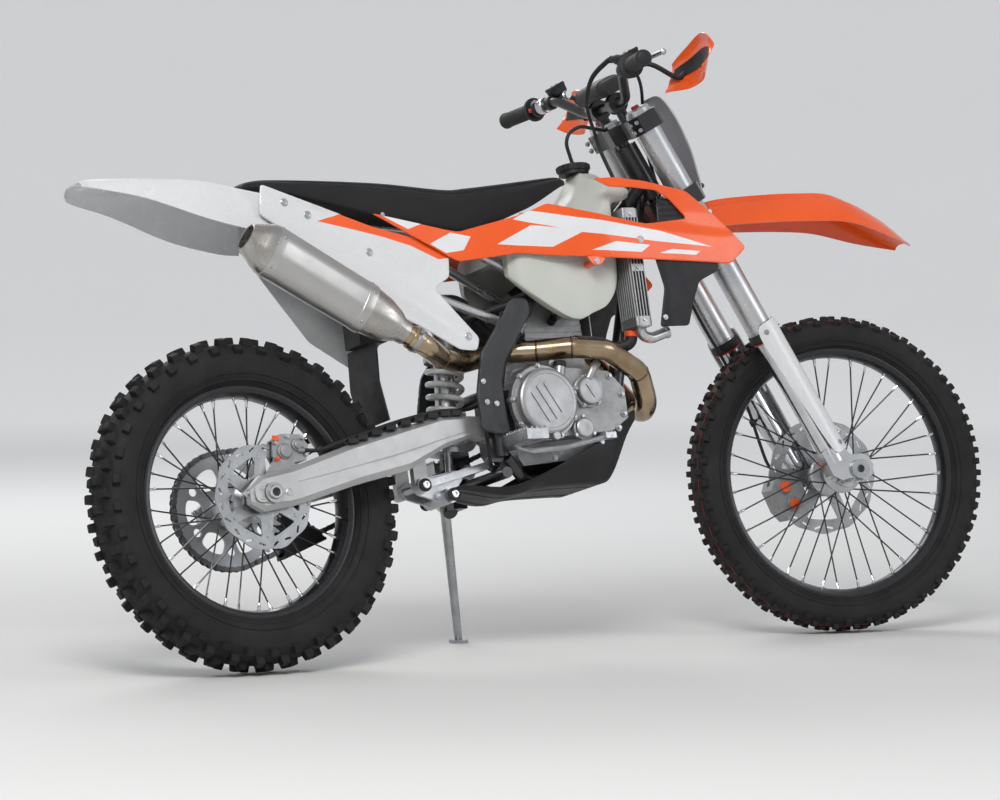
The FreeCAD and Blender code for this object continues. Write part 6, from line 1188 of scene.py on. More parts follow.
shape = Shape()
cone = [(2, 0.9, 1.0, 25.5), (16, 0.9, 1.0, 26.5), (34, 0.74, 0.75, 35), (62, 0.84, 0.35, 45), (88, 0.90, 0.1, 45), (104, 0.925, 0, 0)]
shape.add(loop_loft([silencer_ring(*row) for row in cone]), 1)
sleeve_rows = [(100, 0.93), (101, 0.955), (103, 0.965), (118, 0.97), (121, 0.965), (122, 0.95), (326, 0.992), (327, 0.998),
               (328, 1.0), (343, 1.0), (345, 0.995), (346, 0.97)]
shape.add(loop_loft([silencer_ring(*row) for row in sleeve_rows]), 0)
cap_rows = [(340, 0.975), (346, 0.975), (352, 0.97), (368, 0.90, 0.1, 30), (384, 0.76, 0.35, 31), (396, 0.66, 0.7, 31),
            (401, 0.62, 1.0, 30), (402, 0.6, 1.0, 27.5), (401, 0.5, 1.0, 25.5), (384, 0.5, 1.0, 24.5)]
shape.add(loop_loft([silencer_ring(*row) for row in cap_rows], closed_ends=False), 1)
# The outlet's inner wall and the disc closing it 28 mm in are dark: soot colour and painted shade of the deep outlet.
shape.add(loop_loft([silencer_ring(384, 0.5, 1.0, 24.5), silencer_ring(370, 0.5, 1.0, 24), silencer_ring(356, 0.5, 1.0, 23.5)],
                    closed_ends=True), 2)
for distance, scale in ((111, 0.97), (336, 1.0)):
    ring = silencer_ring(distance, scale)
    for index in range(3, len(ring), 11):
        way = (ring[index] - (sleeve_start + silencer_back * distance)).normalized()
        shape.add(spool(ring[index] - way * 1.5, ring[index] + way * 1.8, [(0, 3.4), (0.5, 3.2), (0.8, 2.4), (1, 1.0)], 12), 1)
for side_up in (0.30, -0.2):
    spot = sleeve_start + silencer_back * 222 + Vector((0, 39, 0)) + silencer_up * side_up * 40
    shape.add(rod(spot, spot + Vector((0, 38, 0)), 7, 14), 3)
shape.piece("silencer_detail", BIKE, [sleeve_metal, brushed_metal, painted_bore_shade, black_paint], "chassis",
            "brushed_silencer", ["silencer"], 22)

# Header, heat-tinted, with its weld beads


def heated(name, first, second, third):
    material, tree, shader = new_material(name)
    vector = coordinates(tree)
    tone = blend_colours(tree, spread(tree, noise(tree, vector, 7, 3), 0.38, 0.62, 0, 1), first, second)
    node = tree.nodes.new("ShaderNodeMix")
    node.data_type = "RGBA"
    node.inputs["B"].default_value = (*third, 1)
    tree.links.new(tone, node.inputs["A"])
    tree.links.new(spread(tree, noise(tree, vector, 18, 5), 0.55, 0.78, 0, 0.8), node.inputs["Factor"])
    tree.links.new(node.outputs["Result"], shader.inputs["Base Color"])
    tree.links.new(spread(tree, noise(tree, vector, 60, 5), 0.3, 0.7, 0.16, 0.30), shader.inputs["Roughness"])
    tree.links.new(bump_of(tree, noise(tree, vector, 900, 2), 0.00003), shader.inputs["Normal"])
    set_input(shader, "Metallic", 1.0)
    return material


heated_steel = heated("heated_steel", (0.46, 0.36, 0.24), (0.33, 0.235, 0.14), (0.24, 0.20, 0.17))
weld_steel = heated("weld_steel", (0.20, 0.10, 0.05), (0.16, 0.11, 0.10), (0.10, 0.10, 0.14))
HEADER_ROUTE = [(837.3, 18, 655), (872, 18, 655), (922, 48, 622), (974, 43, 555), (984, -20, 494), (964, -74, 510),
                (930, -108, 572), (823, -150, 614), (750, -140, 622), (690, -88, 626), (612, -46, 632), (564, -56, 620),
                (515, -74, 608), (440, -112, 612)]
header_points = [Vector(point) for point in HEADER_ROUTE]
header_points += [sleeve_start - silencer_back * 50, sleeve_start + silencer_back * 4]
header_path = arc_route(header_points, 55, 7)
shape = Shape()
shape.add(sweep(header_path, 23, 28))
for share in (0.10, 0.24, 0.40, 0.545, 0.60, 0.72, 0.90):
    index = int(share * (len(header_path) - 2))
    spot, way = header_path[index], (header_path[index + 1] - header_path[index]).normalized()
    shape.add(spool(spot - way * 2.6, spot + way * 2.6, [(0, 22.9), (0.25, 23.9), (0.5, 24.2), (0.75, 23.9), (1, 22.9)], 28), 1)
joint = sleeve_start - silencer_back * 26
shape.add(spool(joint - silencer_back * 13, joint + silencer_back * 15, [(0, 24.6), (0.1, 26.2), (0.9, 26.2), (1, 24.8)], 28), 0)
shape.add(spool(joint - silencer_back * 5, joint + silencer_back * 5, [(0, 26.6), (0.2, 27.6), (0.8, 27.6), (1, 26.6)], 28), 2)
shape.add(rod(joint + Vector((0, -26, 8)), joint + Vector((0, -34, 10)), 4.5, 12, 0.8), 2)
shape.add(spool((835.6, 18, 655), (846, 18, 655), [(0, 31), (0.8, 31), (1, 29)], 28), 2)
for up in (-1, 1):
    shape.add(bolt((846, 18 + up * 27, 655), (1, 0, 0), 5.5, 7), 2)
strip = []
top_run = [header_points[7].lerp(header_points[8], share) for share in (0.10, 0.35, 0.6, 0.9)]
for spot in top_run:
    ring = []
    for angle, reach in ((38, 24.6), (65, 25.6), (92, 25.6), (118, 24.6), (118, 23.2), (92, 23.2), (65, 23.2), (38, 23.2)):
        turn = math.radians(angle)
        ring.append(spot + Vector((0, -math.cos(turn), math.sin(turn))) * reach)
    strip.append(ring)
shape.add(loop_loft(strip), 3)
shape.piece("exhaust_header_detail", BIKE, [heated_steel, weld_steel, grey_steel, dark_steel], "chassis", "heated_steel",
            ["exhaust_header"], 30)

# Engine covers

cover_metal = surface("cover_metal", (0.40, 0.40, 0.405), (0.33, 0.33, 0.335), 0.36, 0.06, metal=0.8, grain=1600,
                      depth=0.00015, patch=16)


def round_cover(shape, x, z, seat, out, radius, screws, ribs=(), mark=0):
    """A bolted rim with bosses round it, a turned dome and a shallow raised face with cast ribs."""
    side = 1 if out > seat else -1
    deep = abs(out - seat)
    profile = [(0, radius), (0.36, radius), (0.40, radius - 1.2), (0.42, radius * 0.90), (0.78, radius * 0.885),
               (0.90, radius * 0.87), (0.97, radius * 0.84), (1.0, radius * 0.80), (1.0, radius * 0.735), (0.965, radius * 0.72),
               (0.965, radius * 0.02)]
    shape.add(spool((x, seat, z), (x, out, z), profile, 72), mark)
    for number in range(screws):
        angle = 2 * math.pi * (number + 0.35) / screws
        spot = Vector((x + (radius - 2.5) * math.cos(angle), seat, z + (radius - 2.5) * math.sin(angle)))
        shape.add(spool(spot, spot + Vector((0, side * deep * 0.44, 0)), [(0, 7.2), (0.9, 7.2), (1, 6.4)], 16), mark)
        shape.add(bolt(spot + Vector((0, side * deep * 0.44, 0)), (0, side, 0), 4.2, 4.6), 1)
    slant = Vector((0.50, 0, -0.866))
    rise = Vector((0.866, 0, 0.50))
    for up, reach, wide in ribs:
        middle = Vector((x, out - side * deep * 0.035, z)) + rise * up * radius
        outline = [middle + slant * a * reach * radius + rise * b * wide for a, b in
                   ((-1, -0.8), (-0.97, -1), (0.97, -1), (1, -0.8), (1, 0.8), (0.97, 1), (-0.97, 1), (-1, 0.8))]
        top = [point + Vector((0, side * 2.2, 0)) for point in outline]
        shape.add(loop_loft([outline, top]), mark)


shape = Shape()
round_cover(shape, 660, 505, -128.3, -163.6, 80, 9, ((-0.30, 0.46, 4.5), (-0.06, 0.52, 4.5), (0.18, 0.46, 4.5)))
filler_base = Vector((660 + 0.62 * 76, -143, 505 + 0.78 * 76))
shape.add(rod(filler_base - Vector((6, 0, 14)), filler_base + Vector((2, 0, 16)), 12.5, 20, 1.5))
shape.add(spool(filler_base + Vector((2, 0, 16)), filler_base + Vector((3, 0, 28)), [(0, 13.5), (0.8, 13.5), (1, 11.5)], 12), 2)
shape.add(rod((668, -150, 430), (668, -164, 430), 9, 18, 1.5))
round_cover(shape, 776, 527, -128.3, -149.9, 34, 5, ((0.0, 0.5, 3.0),))
pump_pipe = arc_route([(776, -142, 552), (790, -146, 575), (812, -128, 588)], 18, 5)
shape.add(sweep(pump_pipe, 9, 14))
shape.add(spool((752, -128.3, 448), (752, -147, 448), [(0, 25), (0.5, 25), (0.6, 22), (0.9, 21), (1, 18), (1, 8), (0.9, 0.1)], 32))
for x, z in ((752, 474), (775, 436), (730, 434)):
    shape.add(bolt((x, -138, z), (0, -1, 0), 4.2, 5), 1)
round_cover(shape, 778, 492, 104.3, 129.5, 66, 7, ((0.0, 0.5, 5.0),))
shape.piece("engine_covers_detail", BIKE, [cover_metal, grey_steel, black_plastic], "chassis", "cast_aluminium",
            ["engine_covers"], 28)

# Screws, lines and fittings on the case, the cylinder and the head

shape = Shape()
for x, z in ((624, 442), (624, 545), (640, 574), (700, 590), (838, 560), (864, 520), (864, 478), (846, 448), (700, 440)):
    shape.add(spool((x, -127, z), (x, -131, z), [(0, 8), (0.8, 8), (1, 7)], 14), 0)
    shape.add(bolt((x, -131, z), (0, -1, 0), 4.5, 5), 1)
for x, z in ((716, 548), (736, 430), (846, 436), (842, 545)):
    shape.add(bolt((x, 104, z), (0, 1, 0), 4.5, 5), 1)
for side in (-1, 1):
    for x, z in ((712, 752), (818, 748), (765, 757)):
        shape.add(spool((x, side * 40, z), (x, side * 53.5, z), [(0, 8), (0.9, 8), (1, 7)], 14), 0)
        shape.add(bolt((x, side * 53.5, z), (0, side, 0), 4.5, 5), 1)
    for x in (706, 828):
        shape.add(bolt((x, side * 52, 712), (0, side, 0), 6, 6), 1)
    for z in (622, 635, 648, 661, 674, 687):
        fin = rounded([(688, -54.5), (838, -54.5), (841, 0), (838, 54.5), (688, 54.5), (686, 0)], 8)
        if side < 0:
            shape.add(plate(fin, [circle((764, 0), 46, 32)], z - 1.2, z + 1.2, "Z"), 0)
hanger = rounded([(772, 700), (800, 700), (806, 716), (800, 762), (786, 776), (770, 770), (764, 716)], 6)
for side in (-1, 1):
    shape.add(plate(hanger, [circle((786, 712), 6, 16)], side * 54, side * 60), 2)
    shape.add(spool((786, side * 58, 752), (786, side * 67, 752), [(0, 12), (0.8, 12), (1, 10), (1, 6), (0.8, 5), (0.8, 0.1)], 20), 2)
    shape.add(bolt((774, side * 60, 722), (0, side, 0), 5.5, 6), 1)
shape.add(rod((760, -52, 694), (760, -66, 700), 9, 18, 1), 3)
plug_lead = arc_route([(760, -66, 700), (758, -84, 706), (742, -84, 742), (730, -60, 772)], 14, 5)
shape.add(sweep(plug_lead, 4, 10), 3)
shape.piece("engine_fittings", BIKE, [cast_silver, grey_steel, satin_silver, soft_rubber], "chassis", "cast_aluminium",
            [], 30)

# Frame guards, with their long ridge and three screws

GUARD_SHARES = [(0.03, 0.04), (0.02, 0.30), (0.14, 0.58), (0.66, 0.97), (0.84, 0.96), (0.88, 0.86), (0.44, 0.52),
                (0.36, 0.40), (0.36, 0.24), (0.38, 0.10), (0.40, 0.02), (0.28, 0.0)]
guard_loop = shares_loop([(a if a < 0.45 else a, b) for a, b in GUARD_SHARES], 505, 180, 442, 300, 9)
guard_line = [(560, 470), (562, 540), (580, 600), (628, 668), (655, 722)]


def line_distance(x, z, line):
    best = 1e9
    for start, end in zip(line, line[1:]):
        start, end = Vector(start), Vector(end)
        run = end - start
        share = min(max((Vector((x, z)) - start).dot(run) / run.length_squared, 0), 1)
        best = min(best, (Vector((x, z)) - start - run * share).length)
    return best


def guard_surface(x, z):
    return 129.5 + 3.6 * max(0, 1 - (line_distance(x, z, guard_line) / 16) ** 2)


shape = Shape()
for side in (-1, 1):
    skin(shape, guard_loop, guard_surface, 8, (), 8, side, 1.6)
    for x, z in ((525, 556), (528, 512), (550, 508)):
        dished_screw(shape, (x, side * (guard_surface(x, z) + 0.3), z), (0, side, 0), 1, 6)
shape.piece("frame_guards_detail", BIKE, [grey_plastic, grey_steel], "chassis", "grey_plastic", ["frame_guards"], 24)

# Handlebar fittings, in the fork's frame


def bar_spot(share, side):
    part = (share - 0.47) / 0.53
    return Vector((12 - 55 * (0.28 + 0.72 * part), side * share * 405, 955 + 71 * (0.86 + 0.14 * part)))


shape = Shape()
for side in (-1, 1):
    end = bar_spot(1.0, side)
    inward = (bar_spot(0.8, side) - end).normalized()
    profile = [(0, 15.5), (0.015, 18.4), (0.045, 18.4), (0.05, 17)]
    for number in range(24):
        base = 0.06 + number * 0.0355
        profile += [(base, 15.9), (base + 0.006, 17.2), (base + 0.024, 17.2), (base + 0.030, 15.9)]
    profile += [(0.93, 17.5), (0.945, 26), (0.955, 27), (0.99, 27), (1.0, 25)]
    shape.add(spool(end, end + inward * 128, profile, 28))
    shape.add(spool(end, end - inward * 2.2, [(0, 14), (0.6, 13), (1, 10)], 24), 1)
shape.piece("grips_detail", FORK, [soft_rubber, black_plastic], "steering", "soft_rubber", ["grips"], 30)

PAD_SECTION = [(0.10, 0.0), (0.0, 0.55), (0.16, 1.0), (0.74, 1.0), (1.0, 0.62), (0.92, 0.0)]
pad_loop = rounded([((a - 0.45) * 78, b * 37.2) for a, b in PAD_SECTION], 12, 5)
pad_rings = []
for number in range(-14, 15):
    share = number / 14
    scale = 0.70 + 0.30 * (1 - abs(share) ** 5)
    if abs(number) == 14:
        scale *= 0.93
    crown = 1 + 0.03 * math.cos(share * math.pi / 2)
    pad_rings.append([Vector((12 + a * scale * crown, share * 82, 978.6 + b * scale * crown)) for a, b in pad_loop])
shape = Shape()
shape.add(loop_loft(pad_rings))
for number in (4, 24):
    ring = [point + Vector((0, 0, 0.3)) for point in pad_rings[number]]
    centre = sum(ring, Vector()) / len(ring)
    shape.add(sweep([centre + (point - centre) * 1.012 for point in ring], 1.1, 8, closed=True), 1)
pad_piece = shape.piece("bar_pad_detail", FORK, [soft_rubber, thread], "steering", "soft_rubber", ["bar_pad"], 35)

# Levers, pumps, throttle and switches

shape = Shape()
for side in (-1, 1):
    start = bar_spot(0.575, side)
    out = (bar_spot(1.0, side) - start).normalized()
    shape.add(spool(start, start + out * 22, [(0, 15.5), (0.06, 17.5), (0.94, 17.5), (1, 15.5)], 28), 0)
    for gap in (5, 17):
        shape.add(cap_screw(start + out * gap + Vector((-12, 0, 16)), (0, 0, 1), 3.6, 4), 2)
    body_start = start + out * 2 + Vector((26, 0, -2))
    body_end = body_start - out * 52 + Vector((4, 0, 2))
    shape.add(spool(body_start, body_end, [(0, 9), (0.05, 11), (0.85, 11), (0.9, 8), (1, 8)], 20), 0)
    shape.add(rod(start + out * 11, body_start + out * 4, 9, 16, 1), 0)
    tank_base = body_start.lerp(body_end, 0.42) + Vector((0, 0, 8))
    box = rounded([(-17, -23), (17, -23), (17, 23), (-17, 23)], 7)
    box_rings = []
    for up, scale in ((0, 0.82), (3, 0.95), (17, 1.0), (18, 1.04), (22, 1.04), (23.5, 0.98)):
        box_rings.append([tank_base + Vector((a * scale, b * scale, up)) for a, b in box])
    shape.add(loop_loft(box_rings), 1)
    for turn in (-14, 14):
        shape.add(cap_screw(tank_base + Vector((0, turn, 23)), (0, 0, 1), 3, 2.4), 2)
    pivot = start + out * 12 + Vector((34, 0, -4))
    blade = curve_through([pivot, bar_spot(0.655, side) + Vector((47, 0, -5)), bar_spot(0.72, side) + Vector((45, 0, -6)),
                           bar_spot(0.80, side) + Vector((45, 0, -7)), bar_spot(0.88, side) + Vector((49, 0, -8)),
                           bar_spot(0.93, side) + Vector((54, 0, -9))], 6)
    count = len(blade)
    radii = [8.5 - 3.6 * min(index / (count * 0.45), 1) for index in range(count)]
    shape.add(sweep(blade, radii, 14, 0.62, (0, 0, 1)), 0)
    tip = blade[-1]
    shape.add(spool(tip - (blade[-1] - blade[-2]).normalized() * 6, tip + (blade[-1] - blade[-2]).normalized() * 7,
                    [(0, 3), (0.2, 6.2), (0.5, 7.4), (0.8, 6.2), (1, 2.5)], 16), 0)
    shape.add(spool(pivot + Vector((0, 0, -9)), pivot + Vector((0, 0, 9)), [(0, 6.5), (0.15, 8), (0.85, 8), (1, 6.5)], 18), 0)
    shape.add(bolt(pivot + Vector((0, 0, 9)), (0, 0, 1), 4.5, 4), 2)
    housing = bar_spot(0.635, side)
    if side < 0:
        shape.add(spool(housing, housing + out * 15, [(0, 21), (0.08, 25), (0.9, 26), (1, 24)], 28), 1)
        shape.add(spool(housing + out * 7 + Vector((-6, 0, 18)), housing + out * 7 + Vector((-16, 26, 34)),
                        [(0, 12), (0.5, 11), (0.8, 7), (1, 6)], 16), 1)
    else:
        shape.add(spool(housing, housing + out * 15, [(0, 17), (0.1, 20), (0.9, 20), (1, 17)], 24), 1)
        shape.add(rod(housing + out * 7 + Vector((-19, 0, 4)), housing + out * 7 + Vector((-24, 0, 5)), 5, 16, 0.8), 3)
shape.piece("controls_detail", FORK, [satin_silver, black_plastic, grey_steel, red_paint], "steering", "silver_aluminium",
            ["controls"], 32)

# Hand guards, with a dark centre band

HAND_ROWS = [(0.0, 0.0, 0.12, 0.50), (0.12, 0.18, 0.08, 0.57), (0.35, 0.45, 0.0, 0.67), (0.55, 0.60, 0.0, 0.75),
             (0.72, 0.62, 0.05, 0.77), (0.88, 0.50, 0.17, 0.68), (0.97, 0.40, 0.30, 0.52)]
shape = Shape()
for side in (-1, 1):
    rings, bands = [], []
    rows = sampled(HAND_ROWS, 5)
    for index, (out_share, ahead_share, low_share, high_share) in enumerate(rows):
        out = side * (230.2 + out_share * 190)
        ahead = 68 + ahead_share * 50
        low, high = 915.6 + low_share * 120, 915.6 + high_share * 120
        outer, inner, band = [], [], []
        for step in range(13):
            share = step / 12
            bulge = 8.5 * math.sin(math.pi * share) ** 0.8
            crease = 2.0 if 0.3 < share < 0.7 else 0.0
            lean = 48 * (share - 0.5)
            outer.append(Vector((ahead + lean + bulge - crease, out, low + (high - low) * share)))
            inner.append(Vector((ahead + lean - 3 + bulge - crease, out, low + (high - low) * share)))
        rings.append(outer + inner[::-1])
        for share in (0.33, 0.42, 0.5, 0.58, 0.67):
            bulge = 8.5 * math.sin(math.pi * share) ** 0.8
            lean = 48 * (share - 0.5)
            band.append(Vector((ahead + lean - 1.2 + bulge, out, low + (high - low) * share)))
        back = [Vector((point.x - 4.8, out, point.z)) for point in band[::-1]]
        bands.append(band + back)
    shape.add(loop_loft(rings), 0)
    shape.add(loop_loft(bands[3:-4]), 1)
    clamp_spot = bar_spot(0.51, side) + Vector((15, 0, 0))
    reach_end = Vector((86, side * 276, 948))
    shape.add(sweep(curve_through([clamp_spot, clamp_spot + Vector((42, side * 12, -18)), reach_end + Vector((-18, -side * 12, 0)),
                                   reach_end], 5), 5.5, 12), 1)
    shape.add(spool(bar_spot(0.505, side), bar_spot(0.545, side), [(0, 14), (0.1, 16), (0.9, 16), (1, 14)], 20), 1)
    shape.add(cap_screw(reach_end + Vector((4, 0, 0)), (1, 0, 0), 6, 3), 2)
shape.piece("hand_guards_detail", FORK, [orange_plastic, black_plastic, grey_steel], "steering", "orange_plastic",
            ["hand_guards"], 30)

# Front plate, its middle left bare

PLATE_ROWS = [(690, 58, 84), (705, 68, 86), (740, 80, 90), (781, 91, 95), (820, 93, 99), (860, 88, 104), (893, 76, 108),
              (912, 62, 110), (922, 46, 112), (925, 30, 112.4)]
plate_rings = []
for up, half, ahead in sampled(PLATE_ROWS, 4):
    front, back = [], []
    for step in range(-8, 9):
        share = step / 8
        bow = half * 0.17 * (1 - abs(share) ** 2.2) + (2.0 if abs(share) < 0.62 else 0.0)
        front.append(Vector((ahead + bow, share * half, up)))
        back.append(Vector((ahead + bow - 3, share * (half - 1), up)))
    plate_rings.append(front + back[::-1])
shape = Shape()
shape.add(loop_loft(plate_rings))
for side in (-1, 1):
    shape.add(rod((36, side * 90, 705), (94, side * 52, 705), 6, 14), 1)
    strap = curve_through([(-20, side * 132, 905), (30, side * 140, 900), (80, side * 110, 890), (108, side * 70, 885)], 5)
shape.piece("front_plate_detail", FORK, [pale_plastic, black_plastic], "steering", "white_plastic", ["front_plate"], 26)

# Fork guards, wiper rings, caps and clamp screws

shape = Shape()
GUARD_ROWS = [(386, 8, 96), (383, -4, 112), (374, -14, 122), (350, -20, 126), (300, -25, 122), (200, -34, 113),
              (120, -44, 105), (75, -52, 98), (60, -50, 90), (57, -40, 76)]
for side in (-1, 1):
    rings = []
    for up, low, high in sampled(GUARD_ROWS, 4):
        outer, inner = [], []
        for step in range(17):
            angle = math.radians(low + (high - low) * step / 16)
            lift = 1.4 * math.exp(-((math.degrees(angle) - 45) / 9) ** 2)
            for ring, reach in ((outer, 40 + lift), (inner, 37)):
                ring.append(Vector((22 + reach * math.cos(angle), side * (103 + reach * math.sin(angle)), up)))
        rings.append(outer + inner[::-1])
    shape.add(loop_loft(rings), 0)
    for up, angle in ((366, 20), (366, 100), (76, 60), (92, 20)):
        turn = math.radians(angle)
        way = Vector((math.cos(turn), side * math.sin(turn), 0))
        dished_screw(shape, Vector((22, side * 103, up)) + way * 40.6, way, 1, 5.5)
    boss = Vector((22, side * 124.3, 65))
    shape.add(rod(boss, boss + Vector((0, side * 14, 0)), 8, 16), 0)
shape.piece("fork_guards_detail", FORK, [white_plastic, grey_steel], "steering", "white_plastic", ["fork_guards"], 30)

shape = Shape()
for side in (-1, 1):
    foot = Vector((22, side * 103, 0))
    up = Vector((0, 0, 1))
    shape.add(spool(foot + up * 349, foot + up * 369, [(0, 27), (0.1, 32.4), (0.42, 33.2), (0.5, 32.4), (0.95, 32.4), (1, 30)], 40), 0)
    shape.add(spool(foot + up * 344, foot + up * 349, [(0, 25), (0.2, 28.8), (0.8, 28.8), (1, 27)], 40), 1)
    shape.add(spool(foot + up * 371, foot + up * 374, [(0, 29.5), (0.3, 30.4), (0.7, 30.4), (1, 29.5)], 40), 2)
    shape.add(spool(foot + up * 662, foot + up * 668, [(0, 29.5), (0.3, 30.2), (0.7, 30.2), (1, 29.5)], 40), 2)
    shape.add(spool(foot + up * 917.5, foot + up * 927, [(0, 28), (0.6, 28), (0.8, 26), (1, 24), (1, 15), (0.8, 14), (0.8, 0.1)], 36), 2)
    shape.add(spool(foot + up * 924, foot + up * 934, [(0, 9.5), (0.8, 9.5), (1, 8)], 8), 1)
    for base in (685, 872):
        for gap in (11, 29):
            screw = Vector((-16, side * 124, base + gap))
            shape.add(cap_screw(screw, (-1, 0, 0), 5.6, 6), 3)
            shape.add(cap_screw(screw + Vector((6, side * 14.4, 0)), (0, side, 0), 4.6, 5), 3)
    for gap in (-14, 14):
        shape.add(cap_screw((32, side * 103 + gap * 0.7, -10), (0, 0, -1), 4.5, 5), 3)
shape.add(spool((0, 0, 911.7), (0, 0, 924), [(0, 19), (0.5, 19), (0.6, 16), (1, 15), (1, 8), (0.6, 8), (0.6, 0.1)], 6), 3)
shape.piece("fork_trim", FORK, [soft_rubber, red_paint, satin_silver, grey_steel], "steering", "silver_aluminium", [], 32)

# Radiators: flat tubes with fin packs between them, and welded end tanks

core_metal = surface("core_metal", (0.42, 0.425, 0.43), (0.34, 0.345, 0.35), 0.38, 0.06, metal=0.85, grain=1500, depth=0.0001)
# The fin pack is near-black with lighter and darker bands along Z: painted shade of the deep fin gaps, and painted
# light and shade on fin folds that are not modelled.
fin_shade_material, fin_shade_tree, fin_shade_shader = new_material("fin_painted_shade")
fin_shade_bands = fin_shade_tree.nodes.new("ShaderNodeTexWave")
fin_shade_bands.wave_type = "BANDS"
fin_shade_bands.bands_direction = "Z"
fin_shade_bands.inputs["Scale"].default_value = 90
fin_shade_tree.links.new(coordinates(fin_shade_tree), fin_shade_bands.inputs["Vector"])
fin_shade_tree.links.new(blend_colours(fin_shade_tree, fin_shade_bands.outputs["Fac"], (0.008, 0.008, 0.009), (0.045, 0.045, 0.047)),
                   fin_shade_shader.inputs["Base Color"])
set_input(fin_shade_shader, "Metallic", 0.7)
set_input(fin_shade_shader, "Roughness", 0.5)


def block(low, high, radius=3):
    """A box with rounded upright edges."""
    loop = rounded([(low[0], low[1]), (high[0], low[1]), (high[0], high[1]), (low[0], high[1])], radius)
    return loop_loft([[Vector((a, b, low[2])) for a, b in loop], [Vector((a, b, high[2])) for a, b in loop]])


shape = Shape()
for side in (-1, 1):
    ys = sorted((side * 84, side * 150))
    for number in range(8):
        y = ys[0] + 4.6 + number * (66 - 9.2) / 7
        shape.add(block((915, y - 1.6, 682), (955, y + 1.6, 902), 1.2), 0)
    # The fin pack block between the tubes, coloured with the painted fin shade.
    shape.add(block((918.5, ys[0] + 2, 684), (951.5, ys[1] - 2, 900), 0.5), 1)
    for rib in range(5):
        rib_x = 919 + rib * 7.6
        shape.add(block((rib_x, side * 149 - 2, 684), (rib_x + 2.6, side * 149 + 1, 900), 0.6), 0)
    for low, high in ((662, 686), (898, 922)):
        shape.add(block((914.9, ys[0], low + 2), (955.1, ys[1], high - 2), 7), 0)
        shape.add(block((918, ys[0] + 3, low), (952, ys[1] - 3, high), 6), 0)
    for z in (676, 790, 908):
        shape.add(block((921, side * 150 - 1, z - 8), (949, side * 150 + 1, z + 8), 1), 0)
        shape.add(cap_screw((935, side * 151, z), (0, side, 0), 4, 2.5), 2)
    shape.add(rod((935, side * 84, 880), (935, side * 74, 880), 6, 14), 2)
shape.piece("radiators_detail", BIKE, [core_metal, fin_shade_material, grey_steel], "chassis", "silver_aluminium", ["radiators"], 32)

# Coolant lines: a bare neck under the right core, and black hoses with their clips

clip_orange = surface("clip_orange", ORANGE, (0.85, 0.09, 0.006), 0.35, 0.05, grain=800, depth=0.00005)
shape = Shape()
neck = arc_route([(940, -122, 664), (942, -124, 646), (962, -126, 640), (1000, -128, 652)], 16, 6)
shape.add(sweep(neck, 12, 18), 1)
shape.add(spool(neck[-1] - (neck[-1] - neck[-2]).normalized() * 4, neck[-1] + (neck[-1] - neck[-2]).normalized() * 5,
                [(0, 12), (0.4, 14), (0.9, 14), (1, 11)], 20), 1)
hose = arc_route([(928, -104, 662), (926, -102, 634), (886, -76, 626), (850, -40, 640), (839, -34, 640)], 30, 8)
shape.add(sweep(hose, 13, 18), 0)
shape.add(spool((928, -104, 661), (927, -103, 648), [(0, 13.5), (0.1, 15), (0.9, 15), (1, 13.5)], 24), 2)
shape.add(rod((946, -124, 640), (952, -130, 634), 6, 12, 1), 2)
cross = arc_route([(922, -90, 906), (898, -70, 912), (892, 0, 916), (898, 70, 912), (922, 90, 906)], 26, 8)
shape.add(sweep(cross, 9, 14), 0)
shape.piece("coolant_hoses", BIKE, [soft_rubber, satin_silver, clip_orange], "chassis", "soft_rubber", [], 35)

# Guards ahead of the radiators, louvred where the shroud is open

GUARD_OUTLINE = [(0.10, 0.50), (0.16, 0.30), (0.04, 0.02), (0.44, 0.02), (0.56, 0.20), (0.68, 0.34), (1.0, 0.42), (1.0, 0.47),
                 (0.86, 0.66), (0.52, 0.92), (0.24, 0.96), (0.18, 0.70), (0.10, 0.60)]


def radiator_guard_surface(x, z):
    base = shroud_flat(x, max(z, 769)) - 5.0
    crease = 5.0 * min(max((985 - x) / 20, 0), 1)
    louvre = 0.0
    if z > 800:
        louvre = 2.6 * ((z - 800) / 13 % 1.0)
    return base - crease - louvre


shape = Shape()
guard_outline = shares_loop(GUARD_OUTLINE, 955.3, 170, 650, 300, 8)
for side in (-1, 1):
    skin(shape, guard_outline, radiator_guard_surface, 3, (), 6.5, side, 1.2)
    dished_screw(shape, (975, side * (radiator_guard_surface(975, 676) + 0.3), 676), (0, side, 0), 1, 6)
shape.piece("radiator_guards_detail", BIKE, [black_plastic, grey_steel], "chassis", "black_plastic", ["radiator_guards"], 24)

# Spring, as a round wire, between its collars

away = [BIKE.inverted() @ vertex.co / MM for vertex in nodes["shock_spring"].data.vertices]
shock_low = Vector((492, 0, 372))
coil_middle = sum(away, Vector()) / len(away)
shock_way = Vector((coil_middle.x - 492, 0, coil_middle.z - 372)).normalized()
heights = [(point - shock_low).dot(shock_way) for point in away]
coil_low, coil_high = min(heights) + 6, max(heights) - 6
shock_across = shock_way.cross(Vector((0, 1, 0))).normalized()
path = []
turns = 6.5
for number in range(int(turns * 32) + 1):
    angle = 2 * math.pi * number / 32
    share = number / (turns * 32)
    spot = shock_low + shock_way * (coil_low + (coil_high - coil_low) * share)
    path.append(spot + shock_across * 36 * math.cos(angle) + Vector((0, 36 * math.sin(angle), 0)))
shape = Shape()
shape.add(sweep(path, 5.9, 12, up_hint=shock_way))
shape.piece("shock_spring_detail", BIKE, [white_paint], "chassis", "white_paint", ["shock_spring"], 40)
shape = Shape()
